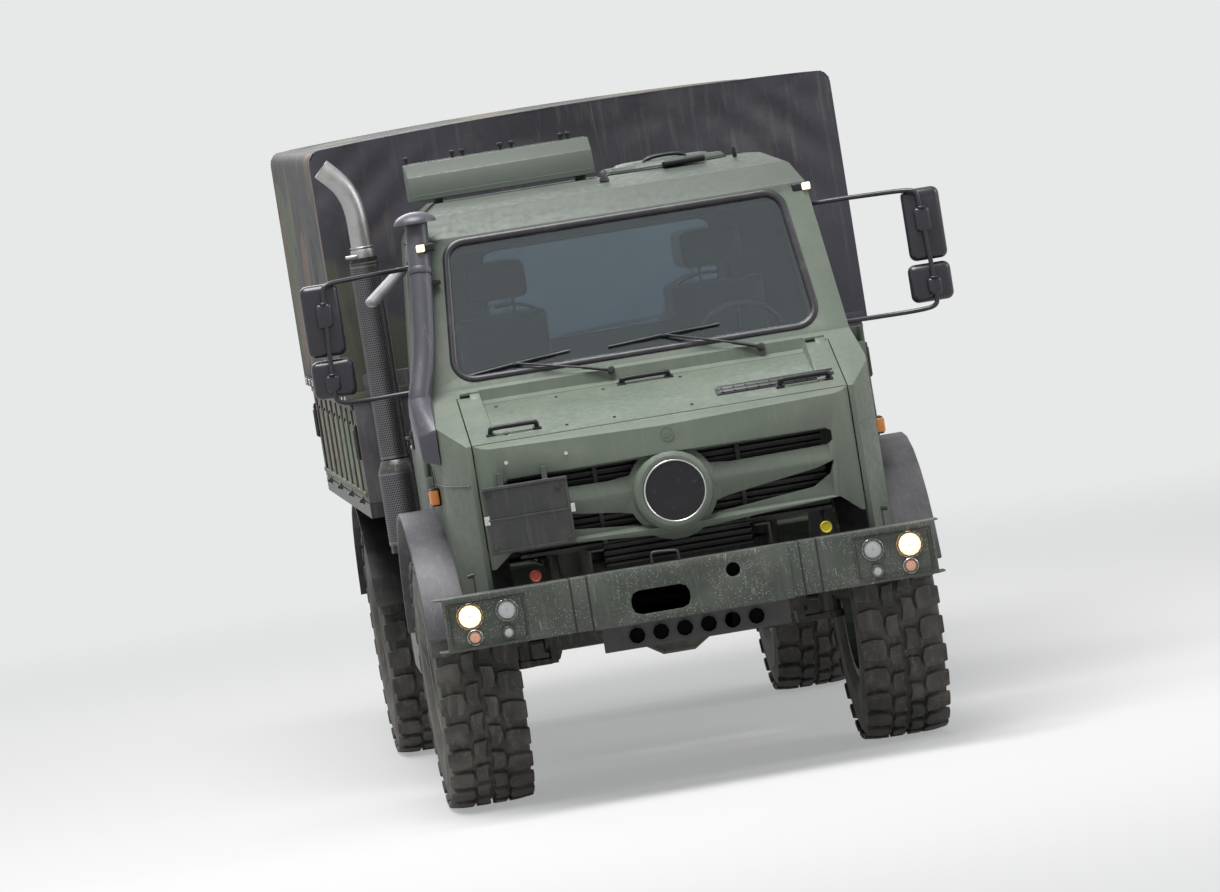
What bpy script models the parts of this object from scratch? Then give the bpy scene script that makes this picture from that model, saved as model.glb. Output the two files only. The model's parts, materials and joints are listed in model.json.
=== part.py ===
"""Four-wheel-drive military cargo truck with a canvas-covered bed, as named sub-parts in metres.

The truck faces -Y, +X is its left side, +Z is up. The origin is on the ground, midway along and across it.
Offsets called *_Y in the cab's tables are measured aft from the front axle.
"""

import math

import bmesh
import bpy
from mathutils import Matrix, Vector

# Layout along the truck
BUMPER_TO_FRONT_AXLE = 1.15
WHEELBASE = 3.85
REAR_AXLE_TO_TAIL = 1.40
OVERALL_LENGTH = BUMPER_TO_FRONT_AXLE + WHEELBASE + REAR_AXLE_TO_TAIL
NOSE_Y = -OVERALL_LENGTH / 2
TAIL_Y = OVERALL_LENGTH / 2
FRONT_AXLE_Y = NOSE_Y + BUMPER_TO_FRONT_AXLE
REAR_AXLE_Y = FRONT_AXLE_Y + WHEELBASE

# Clearances: seats that touch, shafts in hubs, shut lines, and how far a cutter overruns
SEAT_GAP = 0.0003
PIN_GAP = 0.0005
SHUT_GAP = 0.006
OVERRUN = 0.02
BITE = 0.004

# Wheels
TYRE_RADIUS = 0.590
TYRE_WIDTH = 0.395
LUG_HEIGHT = 0.024
TREAD_EDGE_X = 0.180
TREAD_GROOVE_X = 0.072
TREAD_GROOVE_WIDTH = 0.026
SIDEWALL_RADIUS = 0.45
SIDEWALL_BEAD_X = 0.150
BEAD_RADIUS = 0.268
TREAD_BLOCKS = 12
LUG_ARC_SHARE = 0.62
WHEEL_X = 0.980
RIM_HALF_WIDTH = 0.150
RIM_FLANGE_RADIUS = 0.292
RIM_FLANGE_WIDTH = 0.016
RIM_WALL = 0.014
DISC_X = 0.030
DISC_THICKNESS = 0.022
HUB_CAP_RADIUS = 0.085
HUB_CAP_X = 0.125
HUB_BOSS_RADIUS = 0.150
HUB_BOSS_X = 0.075

# Axles and steering
PORTAL_LIFT = 0.130
AXLE_Z = TYRE_RADIUS + PORTAL_LIFT
AXLE_TUBE_RADIUS = 0.070
DIFF_RADIUS = 0.165
DIFF_HALF_WIDTH = 0.150
KINGPIN_X = 0.730
KINGPIN_RADIUS = 0.050
YOKE_RADIUS = 0.062
YOKE_THICKNESS = 0.032
KNUCKLE_HALF_HEIGHT = 0.090
YOKE_ROOT_X = 0.600
PORTAL_UPPER_RADIUS = 0.085
PORTAL_LOWER_RADIUS = 0.150
PORTAL_WIDTH = 0.110
STEER_ARM_LENGTH = 0.230
STEER_ARM_WIDTH = 0.050
STEER_ARM_THICKNESS = 0.030
STEER_ARM_Z = 0.640
TIE_ROD_RADIUS = 0.018
TIE_ROD_EYE_RADIUS = 0.030
TIE_ROD_EYE_HEIGHT = 0.050
TORQUE_TUBE_RADIUS = 0.055
TORQUE_TUBE_RISE_SHARE = 0.6
SPRING_X = 0.520
SPRING_RADIUS = 0.075
SPRING_SEAT_THICKNESS = 0.020

# Ladder frame
RAIL_OUTER_X = 0.420
RAIL_TOP = 1.140
RAIL_DEPTH = 0.200
RAIL_FLANGE = 0.070
RAIL_WEB = 0.010
RAIL_FRONT_SETBACK = 0.220
RAIL_REAR_SETBACK = 0.150
CROSS_TUBE_RADIUS = 0.045
CROSS_TUBE_SHARES = (0.03, 0.42, 0.60, 0.80, 0.97)

# Engine, gearbox and radiator
ENGINE_HALF_WIDTH = 0.300
ENGINE_FRONT = -0.560
ENGINE_REAR = 0.600
ENGINE_BOTTOM = 0.985
ENGINE_TOP = 1.360
GEARBOX_HALF_WIDTH = 0.200
GEARBOX_REAR = 1.250
GEARBOX_BOTTOM = 0.840
GEARBOX_TOP = 1.180
MOUNT_PAD = 0.030
RADIATOR_HALF_WIDTH = 0.560
RADIATOR_FRONT = -0.800
RADIATOR_THICKNESS = 0.130
RADIATOR_TOP = 1.600

# Front bumper
BUMPER_HALF_WIDTH = 1.165
BUMPER_TOP = 1.040
BUMPER_BOTTOM = 0.795
BUMPER_DEPTH = 0.150
BUMPER_WALL = 0.008
BUMPER_CENTRE_HALF = 0.460
BUMPER_CENTRE_PROUD = 0.012
TOW_SLOT_X = -0.145
TOW_SLOT_Z = 0.885
TOW_SLOT_WIDTH = 0.270
TOW_SLOT_HEIGHT = 0.110
TOW_SLOT_CORNER = 0.040
SOCKET_HOLE_X = 0.200
SOCKET_HOLE_Z = 0.965
SOCKET_HOLE_RADIUS = 0.033
LAMP_BAY_X = 0.935
LAMP_BAY_WIDTH = 0.360
LAMP_BAY_HEIGHT = 0.200
LAMP_BAY_Z = 0.912
LAMP_PLATE_SETBACK = 0.003
LAMP_PLATE_THICKNESS = 0.040
GUARD_HALF_WIDTH = 0.430
GUARD_TOP = 0.815
GUARD_BOTTOM = 0.680
GUARD_SETBACK = 0.030
GUARD_THICKNESS = 0.012
GUARD_HOLE_RADIUS = 0.038
GUARD_HOLE_PITCH = 0.110
GUARD_HOLES = 6
GUARD_HOLE_Z = 0.738

# Cab shell, offsets aft of the front axle
CAB_WALL = 0.050
CAB_BOTTOM = 1.020
CAB_MOUNT_YS = (-0.400, 0.860)
CAB_BELT_Z = 1.640
CAB_HALF_WIDTH = 1.030
COWL_Y = -0.340
COWL_Z = 1.935
COWL_INSET = 0.045
COWL_HALF_WIDTH = CAB_HALF_WIDTH - COWL_INSET
GLASSHOUSE_HEIGHT = 0.855
ROOF_TOP = COWL_Z + GLASSHOUSE_HEIGHT
SCREEN_TOP_Y = -0.090
SCREEN_TOP_DROP = 0.160
SCREEN_TOP_Z = ROOF_TOP - SCREEN_TOP_DROP
SCREEN_TOP_INSET = 0.115
SCREEN_TOP_HALF_WIDTH = CAB_HALF_WIDTH - SCREEN_TOP_INSET
HOOD_FRONT_Y = -0.930
HOOD_FRONT_Z = 1.695
ROOF_FRONT_Y = 0.020
ROOF_FRONT_DROP = 0.055
ROOF_FRONT_Z = ROOF_TOP - ROOF_FRONT_DROP
ROOF_Y = 0.300
ROOF_EDGE_INSET = 0.165
ROOF_EDGE_HALF_WIDTH = CAB_HALF_WIDTH - ROOF_EDGE_INSET
ROOF_EDGE_DROP = 0.065
ROOF_EDGE_Z = ROOF_TOP - ROOF_EDGE_DROP
ROOF_FLAT_INSET = 0.260
ROOF_FLAT_HALF_WIDTH = CAB_HALF_WIDTH - ROOF_FLAT_INSET
CAB_REAR_Y = 1.070
CAB_REAR_CHAMFER = 0.070
CORNER_INSET = 0.135
CORNER_HALF_WIDTH = CAB_HALF_WIDTH - CORNER_INSET
CORNER_SIDE_INSET = 0.030
CORNER_SIDE_HALF_WIDTH = CAB_HALF_WIDTH - CORNER_SIDE_INSET
CORNER_SIDE_Y = -0.700
FIREWALL_Y = -0.420
FIREWALL_THICKNESS = 0.045
FLOOR_Z = 1.400
FLOOR_THICKNESS = 0.040
FLOOR_INSET = 0.065
FLOOR_HALF_WIDTH = CAB_HALF_WIDTH - FLOOR_INSET
DASH_DEPTH = 0.300
DASH_INSET = 0.130
DASH_HALF_WIDTH = CAB_HALF_WIDTH - DASH_INSET
DASH_BOTTOM = 1.700
DASH_TOP = 1.915
PILLAR_WIDTH = 0.123
SCREEN_BOTTOM_HALF = COWL_HALF_WIDTH - PILLAR_WIDTH
SCREEN_TOP_HALF = SCREEN_TOP_HALF_WIDTH - PILLAR_WIDTH
SCREEN_CORNER = 0.090
SCREEN_MARGIN = 0.040
GLASS_THICKNESS = 0.008
GLASS_DEPTH_SHARE = 0.45
REAR_GLASS_HALF = 0.560
REAR_GLASS_BOTTOM = 2.050
REAR_GLASS_DROP = 0.270
REAR_GLASS_TOP = ROOF_TOP - REAR_GLASS_DROP
REAR_GLASS_CORNER = 0.060
CORNER_COLUMN_WIDTH = 0.029
MASK_HALF_WIDTH = CORNER_HALF_WIDTH - CORNER_COLUMN_WIDTH
MASK_OPENING_BOTTOM = 1.000
HOOD_HALF_WIDTH = MASK_HALF_WIDTH
HOOD_THICKNESS = 0.030
HOOD_REAR_Y = -0.430
HOOD_SHOULDER_WIDTH = 0.116
HOOD_TROUGH_DEPTH = 0.050
HOOD_TROUGH_REAR_Y = -0.372
HOOD_TROUGH_FRONT_SHARE = 0.12
HOOD_TROUGH_WALL_LEAN = 0.014
HATCH_RADIUS_SHARE = 0.39
HATCH_RADIUS = ROOF_FLAT_HALF_WIDTH * HATCH_RADIUS_SHARE
HATCH_Y = 0.600
HATCH_MARGIN_SHARE = 0.18
HATCH_MARGIN = ROOF_FLAT_HALF_WIDTH * HATCH_MARGIN_SHARE
HATCH_X = ROOF_FLAT_HALF_WIDTH - HATCH_RADIUS - HATCH_MARGIN
HATCH_HEIGHT = 0.030
HATCH_LIP = 0.022

# Doors, offsets aft of the front axle
DOOR_FRONT_Y = -0.220
DOOR_REAR_Y = 0.880
DOOR_BOTTOM = 1.110
DOOR_TOP_DROP = 0.170
DOOR_TOP = ROOF_TOP - DOOR_TOP_DROP
DOOR_PILLAR_TOP_Y = 0.060
DOOR_TOP_CORNER = 0.060
WINDOW_MARGIN = 0.085
WINDOW_BOTTOM = 1.980
WINDOW_CORNER = 0.050
HINGE_RADIUS = 0.014
HINGE_OUTSET = 0.016
HINGE_LENGTH = 0.070
HINGE_REACH = 0.030
DOOR_HINGE_HEIGHTS = (1.560, 1.860)

# Wheel arches and mudguards
ARCH_CENTRE_Z = 0.600
MUDGUARD_RADIUS = 0.800
MUDGUARD_THICKNESS = 0.022
MUDGUARD_INNER_X = 0.760
MUDGUARD_OUTER_X = 1.195
ARCH_STEPS = 12
SILL_BAND = 0.060
MUDGUARD_REAR_Z = 0.800
MUDGUARD_FRONT_Z = 0.840

# Front mask
MASK_BOTTOM = 1.125
MASK_LIP_MIDDLE_Z = 1.165
MASK_LIP_OUTER_Z = 1.205
MASK_WALL = 0.035
MASK_BACK_Y = -0.895
MASK_LEDGE_Z = 1.630
MASK_TAB = 0.040
MASK_FACE_Y = -1.020
MASK_CREASE_Z = 1.655
MASK_EDGE_Y = -0.930
MASK_SHOULDER_INSET = 0.066
MASK_SHOULDER_X = MASK_HALF_WIDTH - MASK_SHOULDER_INSET
MASK_SHOULDER_Y = -0.985
MASK_BAND_Z = 1.535
MASK_RECESS_Y = -0.962
MASK_RECESS_TOP_Z = 1.520
MASK_RECESS_BOTTOM_Z = 1.215
MASK_RECESS_MARGIN = 0.085
MASK_RECESS_DRAFT = 0.030
MASK_BAR_PROUD = 0.026
MASK_BAR_Z = 1.385
MASK_BAR_TOP_Z = 1.445
MASK_BAR_BOTTOM_Z = 1.290
BADGE_Z = 1.355
BADGE_RADIUS = 0.142
BADGE_BOSS_RADIUS = 0.178
BADGE_FILLET_RADIUS = 0.225
BADGE_PROUD = 0.022
BADGE_DISH = 0.010
OPENING_ARC_RADIUS = 0.208
OPENING_ARC_POINTS = 3
UPPER_ARC_ANGLES = (52, 28)
LOWER_ARC_ANGLES = (-22, -42)
GRILLE_DEPTH = 0.060
GRILLE_FIN = 0.008
GRILLE_FIN_PITCH = 0.030
GRILLE_HALF_WIDTH = 0.720
GRILLE_BOTTOM = 1.146
GRILLE_TOP = 1.570
LOWER_GRILLE_HALF_WIDTH = 0.340
LOWER_GRILLE_BOTTOM = 1.020
PLATE_X = -0.668
PLATE_Z = 1.345
PLATE_WIDTH = 0.390
PLATE_HEIGHT = 0.300
PLATE_THICKNESS = 0.010
PLATE_Y = -1.040
PLATE_RIM = 0.008
PLATE_TAB_WIDTH = 0.024
PLATE_TAB_SHARES = (0.20, 0.72)

# Things on the cab
ROOF_BOX_LEFT = 0.000
ROOF_BOX_INSET = 0.150
ROOF_BOX_RIGHT = ROOF_BOX_INSET - CAB_HALF_WIDTH
ROOF_BOX_Y = 0.420
ROOF_BOX_DEPTH = 0.230
ROOF_BOX_HEIGHT = 0.175
ROOF_BOX_LIFT = 0.022
SNORKEL_RADIUS = 0.054
SNORKEL_TOP_DROP = 0.090
SNORKEL_TOP = ROOF_TOP - SNORKEL_TOP_DROP
SNORKEL_DUCT_BOTTOM = 1.600
SNORKEL_DUCT_WIDTH = 0.125
SNORKEL_DUCT_DEPTH = 0.165
SNORKEL_CAP_RADIUS = 0.096
SNORKEL_CAP_HEIGHT = 0.045
SNORKEL_CAP_SHARE = 0.72
MIRROR_ARM_RADIUS = 0.011
MIRROR_ARM_Y = -0.300
MIRROR_UPPER_ROOT_Y = -0.070
MIRROR_LOWER_ROOT_Y = -0.270
MIRROR_REACH = 0.290
MIRROR_UPPER_DROP = 0.270
MIRROR_UPPER_Z = ROOF_TOP - MIRROR_UPPER_DROP
MIRROR_LOWER_RISE = 0.025
MIRROR_LOWER_Z = COWL_Z + MIRROR_LOWER_RISE
MIRROR_HEAD_WIDTH = 0.205
MIRROR_HEAD_DEPTH = 0.075
MIRROR_HEAD_HEIGHT = 0.320
MIRROR_HEAD_DROP = 0.170
MIRROR_HEAD_OUTSET = 0.030
WIDE_HEAD_HEIGHT = 0.180
WIDE_HEAD_RISE = 0.120
WIDE_HEAD_OUTSET = 0.080
MIRROR_CORNER = 0.030

# Exhaust
STACK_X = -1.100
STACK_Y = 1.200
STACK_BOTTOM = 1.160
STACK_COLLAR = 1.560
STACK_ELBOW_Z = 1.066
STACK_ELBOW_RADIUS = 0.045
STACK_TOP = 2.580
STACK_LOWER_RADIUS = 0.088
STACK_UPPER_RADIUS = 0.066
TAIL_PIPE_BEND_SHARES = ((0, 0), (0, 0.45), (0.06, 0.66), (0.17, 0.84), (0.30, 0.95))
TAIL_PIPE_RADIUS = 0.050
TAIL_PIPE_TOP = 3.040

# Seats and steering wheel
SEAT_FROM_SIDE = 0.510
SEAT_X = CAB_HALF_WIDTH - SEAT_FROM_SIDE
SEAT_HALF_WIDTH = 0.250
SEAT_FRONT_Y = 0.330
SEAT_REAR_Y = 0.880
SEAT_CUSHION_TOP = 1.760
SEAT_CUSHION_THICKNESS = 0.130
SEAT_BACK_TOP = 2.480
SEAT_BACK_THICKNESS = 0.120
STEERING_X = SEAT_X
STEERING_WHEEL_RADIUS = 0.220
STEERING_WHEEL_GRIP = 0.016
STEERING_TILT = 35.0
STEERING_HUB_Y = 0.060
STEERING_HUB_Z = 1.930
STEERING_HUB_RADIUS = 0.045
COLUMN_RADIUS = 0.028

# Side boxes under the truck
BOX_FRONT_Y = 0.860
BOX_LENGTH = 0.900
BOX_ARM_SHARES = (0.35, 0.80)
BOX_OUTER_X = 1.130
BOX_INNER_X = 0.460
BOX_TOP = 1.000
BOX_BOTTOM = 0.520
TANK_RADIUS = 0.060

# Bed, canvas and hoops
BED_FRONT_SETBACK = 1.400
BED_HALF_WIDTH = 1.245
BED_FLOOR_TOP = 1.400
BED_FLOOR_THICKNESS = 0.070
BEARER_HALF_WIDTH = 0.040
BEARER_X = 0.380
SIDE_HEIGHT = 0.480
SIDE_THICKNESS = 0.035
HEADBOARD_HEIGHT = 0.620
TAIL_INSET = 0.050
CANVAS_TOP = 3.150
CANVAS_OVERHANG = 0.030
CANVAS_HALF_WIDTH = BED_HALF_WIDTH + CANVAS_OVERHANG
CANVAS_THICKNESS = 0.012
CANVAS_EDGE_CHAMFER = 0.050
CANVAS_CROWN = 0.030
FLAP_HALF_WIDTH = 0.920
FLAP_TOP = 2.900
HOOP_RADIUS = 0.018
HOOP_COUNT = 4
HOOP_INSET = 0.145
REAR_GUARD_RADIUS = 0.705
REAR_GUARD_THICKNESS = 0.012
REAR_GUARD_INNER_X = 0.800
REAR_GUARD_OUTER_X = 1.200
REAR_GUARD_END_Z = 0.800
REAR_GUARD_BRACKET = 0.060
FLAP_ROLL_RADIUS = 0.055

# Rear underrun bar and coupling
UNDERRUN_HALF_WIDTH = 1.100
UNDERRUN_HEIGHT = 0.120
UNDERRUN_DEPTH = 0.080
UNDERRUN_Z = 0.780
UNDERRUN_SETBACK = 0.220

# Lamps in each bumper bay, as (distance from the middle, height, radius) with a bezel and a sunk glass
LAMPS = (
    (1.013, 0.947, 0.060),
    (0.843, 0.950, 0.050),
    (1.004, 0.850, 0.034),
    (0.850, 0.848, 0.029),
)
LAMP_PROUD = 0.012
LAMP_BEZEL = 0.008
LAMP_GLASS_SINK = 0.008
BUMPER_END_CHAMFER = 0.060

# Entry steps ahead of the side boxes
STEP_TREAD = 0.022
STEP_INNER_X = 0.800
STEP_LENGTH = 0.200
STEP_HEIGHTS = (0.545, 0.820)

# Hinges of lids and boards
BARREL_RADIUS = 0.010
BARREL_LENGTH = 0.045
BARREL_LIFT = 0.014
BARREL_REACH = 0.024
BOARD_HINGE_SHARES = (0.12, 0.37, 0.63, 0.88)
GATE_HINGE_SHARES = (0.15, 0.5, 0.85)
HOOD_HINGE_X = HOOD_HALF_WIDTH - HOOD_SHOULDER_WIDTH / 2
HATCH_HINGE_X = 0.050

# Round pieces: sides of large, middling and small ones
MANY_SIDES = 24
SOME_SIDES = 14
FEW_SIDES = 8
FEWEST_SIDES = 6
SHARPEST_BEND_SHARE = 0.5
STRAIGHT_ENOUGH = 1e-6

AXIS_OF = {"X": Vector((1, 0, 0)), "Y": Vector((0, 1, 0)), "Z": Vector((0, 0, 1))}


def material(name, colour, roughness, metallic=0.0):
    made = bpy.data.materials.new(name)
    made.use_nodes = True
    shader = made.node_tree.nodes["Principled BSDF"]
    shader.inputs["Base Color"].default_value = (*colour, 1.0)
    shader.inputs["Roughness"].default_value = roughness
    shader.inputs["Metallic"].default_value = metallic
    return made


def clear_scene():
    for obj in list(bpy.data.objects):
        bpy.data.objects.remove(obj)


def from_bmesh(name, bm):
    bmesh.ops.recalc_face_normals(bm, faces=bm.faces)
    mesh = bpy.data.meshes.new(name)
    bm.to_mesh(mesh)
    bm.free()
    obj = bpy.data.objects.new(name, mesh)
    bpy.context.scene.collection.objects.link(obj)
    return obj


def lifted(axis, point, along):
    """The 3-D point of a 2-D outline point: (y, z) along X, (x, z) along Y, (x, y) along Z."""
    u, v = point
    return {"X": (along, u, v), "Y": (u, along, v), "Z": (u, v, along)}[axis]


def prism(name, outline, axis, low, high):
    """A closed outline extruded along an axis."""
    bm = bmesh.new()
    rings = [[bm.verts.new(lifted(axis, p, at)) for p in outline] for at in (low, high)]
    count = len(outline)
    bm.faces.new(rings[0])
    bm.faces.new(list(reversed(rings[1])))
    for i in range(count):
        j = (i + 1) % count
        bm.faces.new((rings[0][j], rings[0][i], rings[1][i], rings[1][j]))
    return from_bmesh(name, bm)


def box(name, low, high):
    outline = [(low[0], low[1]), (high[0], low[1]), (high[0], high[1]), (low[0], high[1])]
    return prism(name, outline, "Z", low[2], high[2])


def turned(name, profile, centre, axis, angles, closed=True):
    """A profile of (radius, height) points turned round an axis. A point at radius 0 is one vertex.

    A closed profile is a ring in section. An open one runs from the axis back to the axis."""
    bm = bmesh.new()
    turn = Vector((0, 0, 1)).rotation_difference(Vector(axis)).to_matrix()
    origin = Vector(centre)

    def at(radius, height, angle):
        return origin + turn @ Vector((radius * math.cos(angle), radius * math.sin(angle), height))

    rows = []
    for radius, height in profile:
        if radius == 0:
            rows.append([bm.verts.new(at(0, height, 0))])
        else:
            rows.append([bm.verts.new(at(radius, height, a)) for a in angles])
    pairs = list(zip(rows, rows[1:]))
    if closed:
        pairs.append((rows[-1], rows[0]))
    count = len(angles)
    for first, second in pairs:
        for i in range(count):
            j = (i + 1) % count
            corners = [
                first[i % len(first)],
                first[j % len(first)],
                second[j % len(second)],
                second[i % len(second)],
            ]
            unique = list(dict.fromkeys(corners))
            if len(unique) > 2:
                bm.faces.new(unique)
    return from_bmesh(name, bm)


def hull(name, points):
    """The convex solid round some points."""
    bm = bmesh.new()
    bmesh.ops.convex_hull(bm, input=[bm.verts.new(p) for p in points])
    return from_bmesh(name, bm)


def even_angles(sides):
    return [2 * math.pi * i / sides for i in range(sides)]


def tube(name, start, end, radius, sides, end_radius=None):
    """A solid cylinder, or a cone frustum, from one point to another."""
    start, end = Vector(start), Vector(end)
    length = (end - start).length
    last = radius if end_radius is None else end_radius
    profile = [(0, 0), (radius, 0), (last, length), (0, length)]
    return turned(name, profile, start, end - start, even_angles(sides), closed=False)


def pipe(name, points, radius, sides):
    """A round bar swept along a line of points, with flat ends."""
    points = [Vector(p) for p in points]
    bm = bmesh.new()
    rings = []
    side = None
    for i, point in enumerate(points):
        before = (point - points[i - 1]).normalized() if i else None
        after = (points[i + 1] - point).normalized() if i + 1 < len(points) else None
        along = (before + after).normalized() if before and after else (before or after)
        if side is None:
            side = along.orthogonal().normalized()
        side = (side - along * side.dot(along)).normalized()
        other = along.cross(side)
        stretch = 1 / max(along.dot(before or after), SHARPEST_BEND_SHARE)
        ring = []
        for angle in even_angles(sides):
            out = side * math.cos(angle) + other * math.sin(angle)
            if before and after:
                bend = after - before
                if bend.length > STRAIGHT_ENOUGH:
                    bend.normalize()
                    out = out + bend * out.dot(bend) * (stretch - 1)
            ring.append(bm.verts.new(point + out * radius))
        rings.append(ring)
    bm.faces.new(rings[0])
    bm.faces.new(list(reversed(rings[-1])))
    for first, second in zip(rings, rings[1:]):
        for i in range(sides):
            j = (i + 1) % sides
            bm.faces.new((first[i], first[j], second[j], second[i]))
    return from_bmesh(name, bm)


def triangulated(obj):
    """Triangles are always flat, so an exact Boolean of them stays closed."""
    bm = bmesh.new()
    bm.from_mesh(obj.data)
    bmesh.ops.triangulate(bm, faces=bm.faces)
    bm.to_mesh(obj.data)
    bm.free()


def boolean(base, other, operation):
    """Applies an exact Boolean and removes the other object."""
    triangulated(base)
    triangulated(other)
    modifier = base.modifiers.new(operation, "BOOLEAN")
    modifier.operation = operation
    modifier.solver = "EXACT"
    modifier.object = other
    bpy.context.view_layer.update()
    graph = bpy.context.evaluated_depsgraph_get()
    mesh = bpy.data.meshes.new_from_object(base.evaluated_get(graph))
    base.modifiers.clear()
    base.data = mesh
    bpy.data.objects.remove(other)
    return base


def union(base, *others):
    for other in others:
        boolean(base, other, "UNION")
    return base


def cut(base, *others):
    for other in others:
        boolean(base, other, "DIFFERENCE")
    return base


def common(base, *others):
    for other in others:
        boolean(base, other, "INTERSECT")
    return base


def mirrored(obj, name):
    """A copy on the other side of the truck, with its faces turned the right way."""
    mesh = obj.data.copy()
    mesh.transform(Matrix.Translation(obj.location))
    mesh.transform(Matrix.Scale(-1, 4, (1, 0, 0)))
    mesh.flip_normals()
    copy = bpy.data.objects.new(name, mesh)
    bpy.context.scene.collection.objects.link(copy)
    return copy


def finished(obj, name, surface, pivot=(0, 0, 0)):
    """Names a piece, gives it its material and puts its origin on its pivot."""
    obj.name = name
    obj.data.name = name
    obj.data.materials.clear()
    obj.data.materials.append(surface)
    obj.data.transform(Matrix.Translation(-Vector(pivot)))
    obj.location = pivot
    return obj


def arc(centre, radius, start, end, steps):
    """Points of an arc from one angle to another, in degrees."""
    points = []
    for i in range(steps + 1):
        angle = math.radians(start + (end - start) * i / steps)
        points.append((centre[0] + radius * math.cos(angle), centre[1] + radius * math.sin(angle)))
    return points


def rounded(corners, radius, steps=2):
    """A convex outline with its corners rounded by tangent arcs."""
    outline = []
    count = len(corners)
    for i in range(count):
        before, here, after = (Vector(corners[k % count]) for k in (i - 1, i, i + 1))
        back, on = (before - here).normalized(), (after - here).normalized()
        half = back.angle(on) / 2
        reach = radius / math.tan(half)
        centre = here + (back + on).normalized() * (radius / math.sin(half))
        first, last = here + back * reach - centre, here + on * reach - centre
        turn = first.angle_signed(last)
        for k in range(steps + 1):
            outline.append(tuple(centre + Matrix.Rotation(-turn * k / steps, 2) @ first))
    return outline


def inset(outline, distance):
    """An anticlockwise outline moved inwards, with mitred corners."""
    moved = []
    count = len(outline)
    for i in range(count):
        before, here, after = (Vector(outline[k % count]) for k in (i - 1, i, i + 1))
        first, second = (here - before).normalized(), (after - here).normalized()
        left, right = Vector((-first.y, first.x)), Vector((-second.y, second.x))
        moved.append(tuple(here + (left + right) * distance / (1 + left.dot(right))))
    return moved


def both_sides(outline):
    """A half outline of (x, v) points from bottom to top on the left, closed on the right."""
    return outline + [(-x, v) for x, v in reversed(outline) if x > 0]


def aft(offset):
    """The Y of an offset measured aft from the front axle."""
    return FRONT_AXLE_Y + offset


def hinge_knuckle(axis, centre, target, low, high):
    """A hinge barrel along an axis, with a strap from its centre to a point inside the piece it carries."""
    start, end = Vector(centre), Vector(target)
    along = (end - start).normalized()
    across = Vector((-along.y, along.x)) * BARREL_RADIUS / 2
    strap = prism(
        "strap",
        [tuple(p) for p in (start + across, start - across, end - across, end + across)],
        axis,
        low,
        high,
    )
    barrel = tube(
        "barrel",
        lifted(axis, centre, low + SEAT_GAP),
        lifted(axis, centre, high - SEAT_GAP),
        BARREL_RADIUS,
        FEWEST_SIDES,
    )
    return union(strap, barrel)


def hinge_pair(axis, centre, fixed, fixed_target, moving, moving_target, places):
    """Pairs of barrels along an axis: one on the fixed piece, the next on the moving one."""
    for place in places:
        union(fixed, hinge_knuckle(axis, centre, fixed_target, place - BARREL_LENGTH, place - PIN_GAP / 2))
        union(moving, hinge_knuckle(axis, centre, moving_target, place + PIN_GAP / 2, place + BARREL_LENGTH))


# Cab outlines


def cab_side(bottom):
    """The cab's side view as (y, z), anticlockwise seen from its left."""
    points = (
        (CAB_REAR_Y, bottom),
        (CAB_REAR_Y, ROOF_EDGE_Z - CAB_REAR_CHAMFER),
        (CAB_REAR_Y - CAB_REAR_CHAMFER, ROOF_TOP),
        (ROOF_Y, ROOF_TOP),
        (ROOF_FRONT_Y, ROOF_FRONT_Z),
        (SCREEN_TOP_Y, SCREEN_TOP_Z),
        (COWL_Y, COWL_Z),
        (HOOD_FRONT_Y, HOOD_FRONT_Z),
        (HOOD_FRONT_Y, bottom),
    )
    return [(aft(y), z) for y, z in points]


def cab_section(bottom):
    """The cab's front view as (x, z), anticlockwise."""
    half = [
        (CAB_HALF_WIDTH, bottom),
        (CAB_HALF_WIDTH, CAB_BELT_Z),
        (COWL_HALF_WIDTH, COWL_Z),
        (SCREEN_TOP_HALF_WIDTH, SCREEN_TOP_Z),
        (ROOF_EDGE_HALF_WIDTH, ROOF_EDGE_Z),
        (ROOF_FLAT_HALF_WIDTH, ROOF_TOP),
    ]
    return both_sides(half)


def cab_plan():
    """The cab's plan as (x, y), anticlockwise."""
    half = [
        (CORNER_HALF_WIDTH, aft(HOOD_FRONT_Y)),
        (CORNER_SIDE_HALF_WIDTH, aft(CORNER_SIDE_Y)),
        (CAB_HALF_WIDTH, aft(DOOR_FRONT_Y)),
        (CAB_HALF_WIDTH, aft(CAB_REAR_Y - CAB_REAR_CHAMFER)),
        (CAB_HALF_WIDTH - CAB_REAR_CHAMFER, aft(CAB_REAR_Y)),
    ]
    return both_sides(half)


def cab_solid(wall):
    """The cab's whole form, moved inwards by a wall and open below when it has one."""
    bottom = CAB_BOTTOM - 2 * wall
    side = inset(cab_side(bottom), wall)
    section = inset(cab_section(bottom), wall)
    plan = inset(cab_plan(), wall)
    reach = CAB_HALF_WIDTH + OVERRUN
    solid = prism("cab_form", section, "Y", aft(HOOD_FRONT_Y) - OVERRUN, aft(CAB_REAR_Y) + OVERRUN)
    common(solid, prism("cab_form_side", side, "X", -reach, reach))
    return common(solid, prism("cab_form_plan", plan, "Z", bottom - OVERRUN, ROOF_TOP + OVERRUN))


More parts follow.
